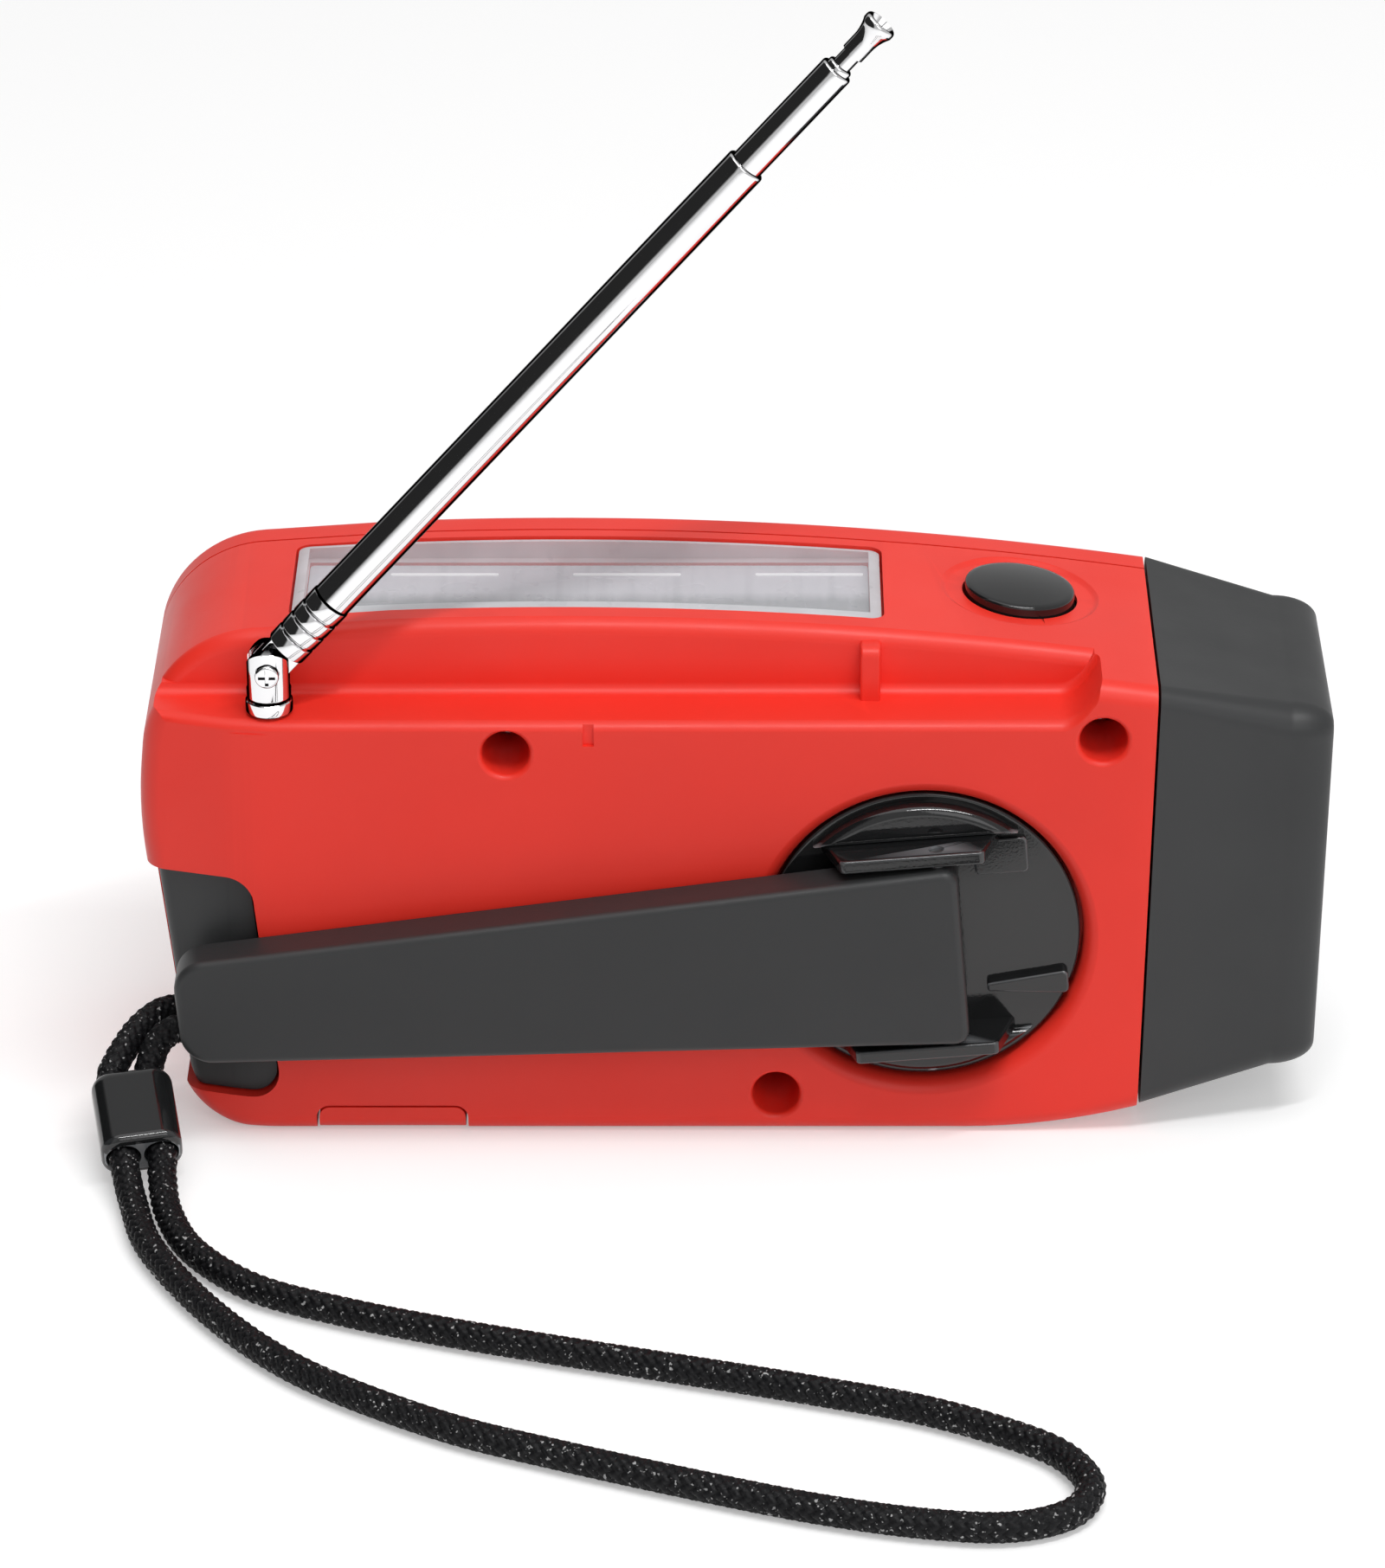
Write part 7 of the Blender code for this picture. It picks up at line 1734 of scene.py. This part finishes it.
def antenna_swivel():
    """Fork that turns in the foot and holds the mast between its cheeks."""
    low = FOOT_HIGH_Z + GAP
    top = ANTENNA_HINGE_Z + SWIVEL_RADIUS
    bottom = low - SWIVEL_PIVOT_LENGTH
    barrel = [(0, bottom), (SWIVEL_PIVOT_RADIUS, bottom), (SWIVEL_PIVOT_RADIUS, low), (SWIVEL_RADIUS, low),
              (SWIVEL_RADIUS, top), (0, top)]
    fork = solid("fork", turned(softened(barrel, GAP / 2), "Z", (0, 0), 64))
    cheek = [(-SWIVEL_RADIUS - GAP, bottom - GAP), (SWIVEL_RADIUS + GAP, bottom - GAP)]
    cheek += arc((0, ANTENNA_HINGE_Z), SWIVEL_RADIUS + RUNNING, 0, pi, 32)
    trim(fork, prism(cheek, -SWIVEL_RADIUS - OVERRUN, SWIVEL_RADIUS + OVERRUN))
    half_slot = SWIVEL_SLOT / 2
    cut(fork, box((-OVERRUN, -half_slot, ANTENNA_HINGE_Z - SWIVEL_SLOT_DROP),
                  (OVERRUN, half_slot, top + OVERRUN)))
    hinge = (0, ANTENNA_HINGE_Z)
    cut(fork, rod(HINGE_PIN_RADIUS + RUNNING, -OVERRUN, OVERRUN, "Y", hinge, 32))
    cut(fork, rod(HINGE_HEAD_RADIUS + RUNNING, HINGE_HEAD_LOW_Y - OVERRUN, HINGE_HEAD_HIGH_Y + RUNNING, "Y",
                  hinge, 48))
    moved(fork, Matrix.Translation((ANTENNA_X, ANTENNA_Y, 0)))
    dressed(fork, "antenna_base", "chrome", "antenna_swivel")


def hinge_screw():
    """Cross-slotted screw that the mast tilts on."""
    pin_end = SWIVEL_RADIUS - GAP
    profile = [(0, HINGE_HEAD_LOW_Y), (HINGE_HEAD_RADIUS, HINGE_HEAD_LOW_Y),
               (HINGE_HEAD_RADIUS, HINGE_HEAD_HIGH_Y), (HINGE_PIN_RADIUS, HINGE_HEAD_HIGH_Y),
               (HINGE_PIN_RADIUS, pin_end), (0, pin_end)]
    screw = solid("hinge_screw", turned(softened(profile, GAP, 4), "Y", (0, ANTENNA_HINGE_Z), 48))
    reach = HINGE_HEAD_RADIUS * HINGE_CROSS_SHARE
    half = SCREW_SLOT_WIDTH / 3
    slot_end_y = HINGE_HEAD_LOW_Y + HINGE_HEAD_HEIGHT * HINGE_CROSS_DEPTH_SHARE
    for half_x, half_z in ((reach, half), (half, reach)):
        cut(screw, box((-half_x, HINGE_HEAD_LOW_Y - OVERRUN, ANTENNA_HINGE_Z - half_z),
                       (half_x, slot_end_y, ANTENNA_HINGE_Z + half_z)))
    moved(screw, Matrix.Translation((ANTENNA_X, ANTENNA_Y, 0)))
    dressed(screw, "antenna_base", "chrome", "antenna_pin")


def ferrule():
    """Ringed fitting between hinge and first tube."""
    ring_profile = [(0, FERRULE_START), (FERRULE_RADIUS, FERRULE_START)]
    pitch = (FERRULE_END - FERRULE_START) / (FERRULE_RINGS + 1)
    for k in range(1, FERRULE_RINGS + 1):
        x = FERRULE_START + pitch * k
        half = FERRULE_RING_DEPTH / 2
        ring_profile += [(FERRULE_RADIUS, x - half), (FERRULE_RADIUS - FERRULE_RING_DEPTH, x - half / 2),
                         (FERRULE_RADIUS - FERRULE_RING_DEPTH, x + half / 2), (FERRULE_RADIUS, x + half)]
    ring_profile += [(FERRULE_RADIUS, FERRULE_END), (0, FERRULE_END)]
    body = solid("ringed_ferrule", turned(softened(ring_profile, GAP / 3, 2), "X", (0, 0), 64))
    half_blade = BLADE_THICK / 2
    blade = [(FERRULE_START + GAP, -BLADE_RADIUS), (FERRULE_START + GAP, BLADE_RADIUS)]
    blade += arc((0, 0), BLADE_RADIUS, pi / 2, 3 * pi / 2, 24)
    join(body, rounded_prism(blade, -half_blade, half_blade, GAP / 3, GAP / 3, "Y", 2))
    cut(body, rod(HINGE_PIN_RADIUS + RUNNING, -OVERRUN, OVERRUN, "Y", (0, 0), 32))
    moved(body, antenna_turn())
    dressed(body, "antenna_mast", "chrome", "antenna_ferrule")


def tube(name, radius, start, end, body, node):
    """One thin section with a rolled-in lip."""
    lip = TUBE_WALL
    inner = radius - TUBE_WALL
    profile = [(inner, start), (radius, start), (radius, end - 3 * lip)]
    profile += arc((radius - lip, end - lip), lip, 0, pi / 2, 6)
    profile += [(inner, end)]
    piece(name, turned(profile, "X", (0, 0), 64), body, "chrome", node, turn=antenna_turn())


def mast_tubes():
    """The three tubes of the mast."""
    tube("section_1", TUBE_ONE_RADIUS, FERRULE_END + GAP, TUBE_ONE_TOP, "antenna_mast", "antenna_tube_1")
    tube("section_2", TUBE_TWO_RADIUS, TUBE_TWO_TOP - TUBE_TWO_LENGTH, TUBE_TWO_TOP, "mast_2",
         "antenna_tube_2")
    tube("section_3", TUBE_THREE_RADIUS, TUBE_THREE_TOP - TUBE_THREE_LENGTH, TUBE_THREE_TOP, "mast_3",
         "antenna_tube_3")


def mast_rod():
    """Innermost rod and its flared tip."""
    bar = softened(bar_profile(ROD_RADIUS, ROD_TOP - ROD_LENGTH, ROD_TOP), GAP / 2)
    piece("inner_rod", turned(bar, "X", (0, 0), 48), "mast_rod", "chrome", "antenna_rod", turn=antenna_turn())
    start = ROD_TOP - TIP_NECK_LENGTH
    dish = ANTENNA_TIP - TIP_HOLLOW
    bore = ROD_RADIUS + RUNNING
    flare = [(TIP_NECK_RADIUS + (TIP_RADIUS - TIP_NECK_RADIUS) * share ** 2,
              ROD_TOP + (dish - ROD_TOP) * share) for share in shares(8)]
    tip = [(0, ROD_TOP + RUNNING), (bore, ROD_TOP + RUNNING), (bore, start), (TIP_NECK_RADIUS, start)] + flare
    tip += arc((TIP_RADIUS - TIP_HOLLOW / 2, dish + TIP_HOLLOW / 2), TIP_HOLLOW / 2, 0, pi / 2, 5)
    tip += [(TIP_RADIUS * TIP_DISH_SHARE, dish), (0, dish)]
    piece("mast_tip", turned(tip, "X", (0, 0), 64), "mast_rod", "chrome", "antenna_tip",
          turn=antenna_turn())


# Front controls
def turned_control(name, place, sizes, stem_end_y, ribs):
    """Knob on the front with a ribbed edge and a stem."""
    radius, thick, stem_radius = sizes
    back_y = CASE_FRONT_Y + GAP
    front_y = back_y + thick
    profile = [(0, stem_end_y), (stem_radius, stem_end_y), (stem_radius, back_y), (radius, back_y),
               (radius, front_y), (0, front_y)]
    knob = solid(name, turned(softened(profile, DIAL_EDGE, 4), "Y", place, ribs * 4))
    centre = Vector((place[0], 0, place[1]))
    for corner in knob.data.vertices:
        away = Vector((corner.co.x, 0, corner.co.z)) - centre
        if away.length > radius - DIAL_EDGE and corner.co.y > back_y + GAP / 2:
            turn = atan2(away.z, away.x)
            share = 1 - GAP / 2 * (1 - cos(ribs * turn)) / radius
            corner.co.x = centre.x + away.x * share
            corner.co.z = centre.z + away.z * share
    return knob


def dial_marks():
    """Plain numbers and ticks that stand a little proud of the dial."""
    marks = bmesh.new()
    face_y = CASE_FRONT_Y + GAP + DIAL_THICK
    for k in range(TICK_COUNT):
        if k % TICKS_TO_GAP == TICKS_TO_GAP - 1:
            continue
        turn = 2 * pi * k / TICK_COUNT
        long_tick = k % TICKS_TO_LONG == 0
        inner = DIAL_RADIUS * (LONG_TICK_INNER_SHARE if long_tick else TICK_INNER_SHARE)
        outer = DIAL_RADIUS * TICK_OUTER_SHARE
        half = GAP / 2 if long_tick else GAP / 3
        tick = prism([(inner, -half), (outer, -half), (outer, half), (inner, half)], -GAP / 2, GAP / 3)
        tick.transform(Matrix.Rotation(turn, 4, "Y"))
        tick.transform(Matrix.Translation((DIAL_X, face_y, DIAL_Z)))
        join_meshes(marks, tick)
    for k, number in enumerate(DIAL_NUMBERS):
        turn = 2 * pi * k / len(DIAL_NUMBERS)
        join_meshes(marks, number_mesh(str(number), turn, face_y))
    piece("dial_marks", marks, "dial", "white_plastic")


def join_meshes(target, mesh):
    """Add one solid's faces to another mesh."""
    data = bpy.data.meshes.new("part")
    mesh.to_mesh(data)
    mesh.free()
    target.from_mesh(data)
    bpy.data.meshes.remove(data)


def number_mesh(text, turn, face_y):
    """A plain number on the dial's face, its foot towards the dial's middle."""
    curve = bpy.data.curves.new("number", "FONT")
    curve.body = text
    curve.size = DIAL_NUMBER_SIZE
    curve.extrude = GAP / 3
    curve.align_x = "CENTER"
    curve.align_y = "CENTER"
    item = bpy.data.objects.new("number", curve)
    bpy.context.scene.collection.objects.link(item)
    bpy.context.view_layer.update()
    data = bpy.data.meshes.new_from_object(item)
    mesh = bmesh.new()
    mesh.from_mesh(data)
    bmesh.ops.remove_doubles(mesh, verts=mesh.verts, dist=GAP / 100)
    bpy.data.objects.remove(item)
    upright = Matrix.Rotation(pi, 4, "Z") @ Matrix.Rotation(pi / 2, 4, "X")
    out = Matrix.Translation((0, 0, DIAL_RADIUS * DIAL_NUMBER_SHARE))
    spin = Matrix.Rotation(turn, 4, "Y")
    mesh.transform(Matrix.Translation((DIAL_X, face_y, DIAL_Z)) @ spin @ out @ upright)
    return mesh


def tuning_dial():
    """Tuning dial with its numbers."""
    stem_end_y = BOARD_SEAT_Y + CAPACITOR_HEIGHT + GAP
    dial = turned_control("dial_disc", (DIAL_X, DIAL_Z), (DIAL_RADIUS, DIAL_THICK, DIAL_STEM_RADIUS),
                          stem_end_y, DIAL_RIBS)
    dressed(dial, "dial", "dark_grey_plastic", "tuning_dial")
    dial_marks()


def volume_knob():
    """Volume knob with a line on its face."""
    stem_end_y = BOARD_SEAT_Y + VOLUME_BOX_HEIGHT + GAP
    knob = turned_control("volume_disc", (VOLUME_X, VOLUME_Z),
                          (VOLUME_RADIUS, VOLUME_THICK, VOLUME_STEM_RADIUS), stem_end_y, VOLUME_RIBS)
    front_y = CASE_FRONT_Y + GAP + VOLUME_THICK
    cut(knob, box((VOLUME_X - GAP, front_y - GAP, VOLUME_Z + VOLUME_RADIUS / 3),
                  (VOLUME_X + GAP, front_y + GAP, VOLUME_Z + VOLUME_RADIUS * VOLUME_LINE_SHARE)))
    dressed(knob, "volume", "dark_grey_plastic", "volume_knob")


def band_slider():
    """Cap of the band switch with three grip grooves, and its stem."""
    back_y = CASE_FRONT_Y + GAP
    front_y = back_y + BAND_CAP_THICK
    half_x = BAND_CAP_WIDTH / 2
    half_z = BAND_CAP_LENGTH / 2
    cap = rounded_box(BAND_X - half_x, BAND_X + half_x, BAND_Z - half_z, BAND_Z + half_z, DIAL_EDGE, 5)
    slider = solid("band_cap", rounded_prism(cap, back_y, front_y, 0, GAP))
    for k in (-1, 0, 1):
        z = BAND_Z + k * BAND_CAP_LENGTH / 5
        cut(slider, rod(GAP, BAND_X - half_x - GAP, BAND_X + half_x + GAP, "X", (front_y, z), 12))
    half_width = BAND_STEM_WIDTH / 2
    half_length = BAND_STEM_LENGTH / 2
    join(slider, box((BAND_X - half_width, BOARD_SEAT_Y + BAND_BOX_HEIGHT + GAP, BAND_Z - half_length),
                     (BAND_X + half_width, back_y + BAND_CAP_THICK / 2, BAND_Z + half_length)))
    dressed(slider, "band", "dark_grey_plastic", "band_slider")


# Lanyard
def smooth_route(points, samples):
    """Points of a smooth curve through the route's own points."""
    padded = [points[0]] + list(points) + [points[-1]]
    route = []
    for before, start, end, after in zip(padded, padded[1:], padded[2:], padded[3:]):
        p0, p1, p2, p3 = (Vector(p) for p in (before, start, end, after))
        for t in shares(samples)[:-1]:
            route.append(0.5 * (2 * p1 + (p2 - p0) * t + (2 * p0 - 5 * p1 + 4 * p2 - p3) * t ** 2
                                + (3 * p1 - p0 - 3 * p2 + p3) * t ** 3))
    return route + [Vector(points[-1])]


def evenly(route, step):
    """Points at equal steps along a route, and the route's length."""
    lengths = [0]
    for start, end in zip(route, route[1:]):
        lengths.append(lengths[-1] + (end - start).length)
    count = round(lengths[-1] / step)
    spaced = []
    k = 0
    for number in range(count + 1):
        wanted = lengths[-1] * number / count
        while k < len(route) - 2 and lengths[k + 1] < wanted:
            k += 1
        share = (wanted - lengths[k]) / (lengths[k + 1] - lengths[k])
        spaced.append(route[k].lerp(route[k + 1], min(share, 1)))
    return spaced, lengths[-1]


def braid_height(around, along):
    """Height of a woven surface from 0, between strands, to 1, over a strand's crown."""
    first = around + along
    second = around - along
    over = (floor(first) + floor(second)) % 2 == 0
    across, run = (first, second) if over else (second, first)
    ridge = sqrt(max(0, 1 - (2 * (across - floor(across)) - 1) ** 2))
    swell = sin(pi * (run - floor(run)))
    return ridge * (1 - BRAID_SWELL + BRAID_SWELL * swell)


def braided_cord():
    """Round braid along the lanyard's route, and its ring centres."""
    strands = shape().braid_strands
    relief = shape().braid_relief
    pitch = 2 * pi * CORD_RADIUS / strands
    sides = strands * BRAID_STEPS
    path, length = evenly(smooth_route(CORD_ROUTE, ROUTE_SAMPLES), pitch / BRAID_STEPS)
    mesh = bmesh.new()
    rings = []
    normal = Vector((0, 0, 1))
    for k, place in enumerate(path):
        ahead = path[min(k + 1, len(path) - 1)] - path[max(k - 1, 0)]
        ahead.normalize()
        normal = (normal - ahead * normal.dot(ahead)).normalized()
        across = ahead.cross(normal)
        ring = []
        for side in range(sides):
            height = braid_height(strands * side / sides, k / BRAID_STEPS)
            radius = CORD_RADIUS - relief * (1 - height)
            turn = 2 * pi * side / sides
            ring.append(mesh.verts.new(place + (normal * cos(turn) + across * sin(turn)) * radius))
        rings.append(ring)
    skinned(mesh, rings)
    return mesh, path, length


def slider_block():
    """Rounded block that slides on the lanyard's two strands."""
    top = Vector(SLIDER_TOP)
    foot = Vector(SLIDER_FOOT)
    half = (top - foot).length / 2
    half_width = SLIDER_WIDTH / 2
    half_depth = SLIDER_DEPTH / 2
    outline = rounded_box(-half_width, half_width, -half_depth, half_depth, SLIDER_CORNER, 8)
    block = solid("cord_slider", rounded_prism(outline, -half, half, 3 * GAP, 6 * GAP, "Z", 6))
    for side in (-1, 1):
        centre = side * SLIDER_BORE_SPACING / 2
        cut(block, rod(CORD_RADIUS + GAP, -half - OVERRUN, half + OVERRUN, "Z", (centre, 0), 48))
    along = (top - foot).normalized()
    width = (Vector((1, 0, 0)) - along * along.x).normalized()
    depth = along.cross(width)
    turn = Matrix((width, depth, along)).transposed().to_4x4()
    moved(block, Matrix.Translation((top + foot) / 2) @ turn)
    return dressed(block, "root", "gloss_black_plastic", "lanyard_slider")


# Operators, in the order in which they run
class RADIO_OT_camera(Operator):
    """Place the camera at the photograph's viewing angle"""

    bl_idname = "radio.camera"
    bl_label = "Camera"

    def execute(self, context):
        data = bpy.data.cameras.new("camera")
        data.sensor_width = CAMERA_SENSOR
        data.lens = CAMERA_SENSOR * CAMERA_FOCAL / IMAGE_HEIGHT
        data.shift_x = CAMERA_SHIFT[0]
        data.shift_y = CAMERA_SHIFT[1]
        data.clip_start = CAMERA_NEAR
        camera = bpy.data.objects.new("camera", data)
        tilt = radians(CAMERA_ELEVATION)
        away = Vector((0, -cos(tilt), sin(tilt))) * CAMERA_DISTANCE
        camera.location = Vector(CAMERA_TARGET) + away
        camera.rotation_euler = (pi / 2 - tilt, 0, 0)
        context.scene.collection.objects.link(camera)
        context.scene.camera = camera
        return {"FINISHED"}


class RADIO_OT_lanyard(Operator):
    """Braid the lanyard and put its slider on it"""

    bl_idname = "radio.lanyard"
    bl_label = "Lanyard"

    def execute(self, context):
        slider = slider_block()
        mesh, path, length = braided_cord()
        cord = piece("wrist_cord", mesh, "root", "black_cord", "lanyard_cord", angle=180)
        return {"FINISHED"}


class RADIO_OT_casing(Operator):
    """Shape the red back and front shells"""

    bl_idname = "radio.casing"
    bl_label = "Casing"

    def execute(self, context):
        back_casing()
        front_casing()
        return {"FINISHED"}


class RADIO_OT_window(Operator):
    """Shape the solar window and its cell"""

    bl_idname = "radio.window"
    bl_label = "Solar window"

    def execute(self, context):
        window_cover()
        window_cell()
        return {"FINISHED"}


class RADIO_OT_button(Operator):
    """Shape the torch button"""

    bl_idname = "radio.button"
    bl_label = "Torch button"

    def execute(self, context):
        button_cap()
        return {"FINISHED"}


class RADIO_OT_left_end(Operator):
    """Shape the dark inlay, its bar and the socket cover"""

    bl_idname = "radio.left_end"
    bl_label = "Left end"

    def execute(self, context):
        left_inlay()
        socket_flap()
        return {"FINISHED"}


class RADIO_OT_crank(Operator):
    """Shape the hub, the arm, its pin and the finger knob"""

    bl_idname = "radio.crank"
    bl_label = "Crank"

    def execute(self, context):
        hub()
        arm()
        crank_small_parts()
        return {"FINISHED"}


class RADIO_OT_head(Operator):
    """Shape the torch head"""

    bl_idname = "radio.head"
    bl_label = "Torch head"

    def execute(self, context):
        torch_head()
        return {"FINISHED"}


class RADIO_OT_antenna(Operator):
    """Shape the antenna from its foot to its tip"""

    bl_idname = "radio.antenna"
    bl_label = "Antenna"

    def execute(self, context):
        antenna_foot()
        antenna_swivel()
        hinge_screw()
        ferrule()
        mast_tubes()
        mast_rod()
        return {"FINISHED"}


class RADIO_OT_front_controls(Operator):
    """Shape the dial, the volume knob and the band slider"""

    bl_idname = "radio.front_controls"
    bl_label = "Front controls"

    def execute(self, context):
        tuning_dial()
        volume_knob()
        band_slider()
        return {"FINISHED"}


class RADIO_OT_inner_finishes(Operator):
    """Paint the solids that keep their own shape"""

    bl_idname = "radio.inner_finishes"
    bl_label = "Inner finishes"

    def execute(self, context):
        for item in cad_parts.values():
            if item.hide_render:
                continue
            for holder in item.material_slots:
                slot = holder.material.name.split(".")[0]
                holder.material = finish(slot)
        return {"FINISHED"}


class RADIO_OT_stage(Operator):
    """Lay the pale floor and set the soft lights"""

    bl_idname = "radio.stage"
    bl_label = "Floor and lights"

    def execute(self, context):
        lay_floor()
        set_lights()
        set_surroundings()
        context.scene.view_settings.view_transform = "Standard"
        return {"FINISHED"}


# Studio
def lay_floor():
    """Wide pale floor, a little bright by itself for the camera, so that only the shadow shows."""
    mesh = bmesh.new()
    bmesh.ops.create_grid(mesh, x_segments=8, y_segments=8, size=FLOOR_HALF)
    item = solid("floor", mesh)
    item.location.z = -RUNNING
    material, tree, shader = new_finish("pale_floor", studio().floor_colour, 0.9)
    varied(tree, shader, studio().floor_colour, size=0.4, spread=0.01)
    grained(tree, shader, size=0.002, height=0.00001)
    rays = tree.nodes.new("ShaderNodeLightPath")
    seen = rays.outputs["Is Camera Ray"]
    for kind in ("Is Glossy Ray", "Is Transmission Ray"):
        either = tree.nodes.new("ShaderNodeMath")
        either.operation = "MAXIMUM"
        tree.links.new(seen, either.inputs[0])
        tree.links.new(rays.outputs[kind], either.inputs[1])
        seen = either.outputs[0]
    shader.inputs["Emission Color"].default_value = (1, 1, 1, 1)
    tree.links.new(ranged(tree, seen, 0, FLOOR_GLOW, 0, 1), shader.inputs["Emission Strength"])
    item.data.materials.append(material)


def set_lights():
    """Soft lamp overhead, a narrow one for bright edges and a weaker one beside the camera."""
    for name, place, size, power in (("key", KEY_PLACE, KEY_SIZE, studio().key_power),
                                     ("strip", STRIP_PLACE, STRIP_SIZE, studio().strip_power),
                                     ("fill", FILL_PLACE, FILL_SIZE, studio().fill_power)):
        data = bpy.data.lights.new(name, "AREA")
        data.shape = "RECTANGLE"
        data.size, data.size_y = size
        data.energy = power
        lamp = bpy.data.objects.new(name, data)
        lamp.location = place
        lamp.rotation_euler = (Vector(place) - Vector(CAMERA_TARGET)).to_track_quat("Z", "Y").to_euler()
        bpy.context.scene.collection.objects.link(lamp)


def set_surroundings():
    """White surroundings with one dark side, which bright metal reflects."""
    world = bpy.data.worlds.new("studio")
    world.use_nodes = True
    tree = world.node_tree
    background = tree.nodes["Background"]
    place = tree.nodes.new("ShaderNodeTexCoord")
    towards = tree.nodes.new("ShaderNodeVectorMath")
    towards.operation = "DOT_PRODUCT"
    towards.inputs[1].default_value = Vector(DARK_SIDE).normalized()
    tree.links.new(place.outputs["Generated"], towards.inputs[0])
    shade = ranged(tree, towards.outputs["Value"], 0, 1, *DARK_EDGE)
    tint = blended(tree, shade, [studio().sky_level] * 3, [studio().dark_level] * 3)
    rays = tree.nodes.new("ShaderNodeLightPath")
    seen = blended(tree, rays.outputs["Is Camera Ray"], tint, (1, 1, 1))
    tree.links.new(seen, background.inputs["Color"])
    bpy.context.scene.world = world


class RADIO_PT_panel(Panel):
    """Sizes, colours and steps of the radio"""

    bl_label = "Radio"
    bl_idname = "RADIO_PT_panel"
    bl_space_type = "VIEW_3D"
    bl_region_type = "UI"
    bl_category = "Radio"

    def draw(self, context):
        layout = self.layout
        for group in (context.scene.radio_shape, context.scene.radio_finish, context.scene.radio_studio):
            column = layout.column(align=True)
            for name in type(group).__annotations__:
                column.prop(group, name)
        for step in STEPS:
            layout.operator(step.bl_idname)


STEPS = (RADIO_OT_camera, RADIO_OT_lanyard, RADIO_OT_casing, RADIO_OT_window, RADIO_OT_button,
         RADIO_OT_left_end, RADIO_OT_crank, RADIO_OT_head, RADIO_OT_antenna, RADIO_OT_front_controls,
         RADIO_OT_inner_finishes, RADIO_OT_stage)
CLASSES = (RadioShape, RadioFinish, RadioStudio) + STEPS + (RADIO_PT_panel,)


def register():
    """Make the classes and their settings known to Blender."""
    for item in CLASSES:
        bpy.utils.register_class(item)
    bpy.types.Scene.radio_shape = PointerProperty(type=RadioShape)
    bpy.types.Scene.radio_finish = PointerProperty(type=RadioFinish)
    bpy.types.Scene.radio_studio = PointerProperty(type=RadioStudio)


def unregister():
    """Take them away again."""
    del bpy.types.Scene.radio_studio
    del bpy.types.Scene.radio_finish
    del bpy.types.Scene.radio_shape
    for item in reversed(CLASSES):
        bpy.utils.unregister_class(item)


def main():
    """Build the whole scene."""
    register()
    bpy.ops.radio.camera()
    bpy.ops.radio.lanyard()
    bpy.ops.radio.casing()
    bpy.ops.radio.window()
    bpy.ops.radio.button()
    bpy.ops.radio.left_end()
    bpy.ops.radio.crank()
    bpy.ops.radio.head()
    bpy.ops.radio.antenna()
    bpy.ops.radio.front_controls()
    bpy.ops.radio.inner_finishes()
    bpy.ops.radio.stage()


if __name__ == "__main__":
    main()
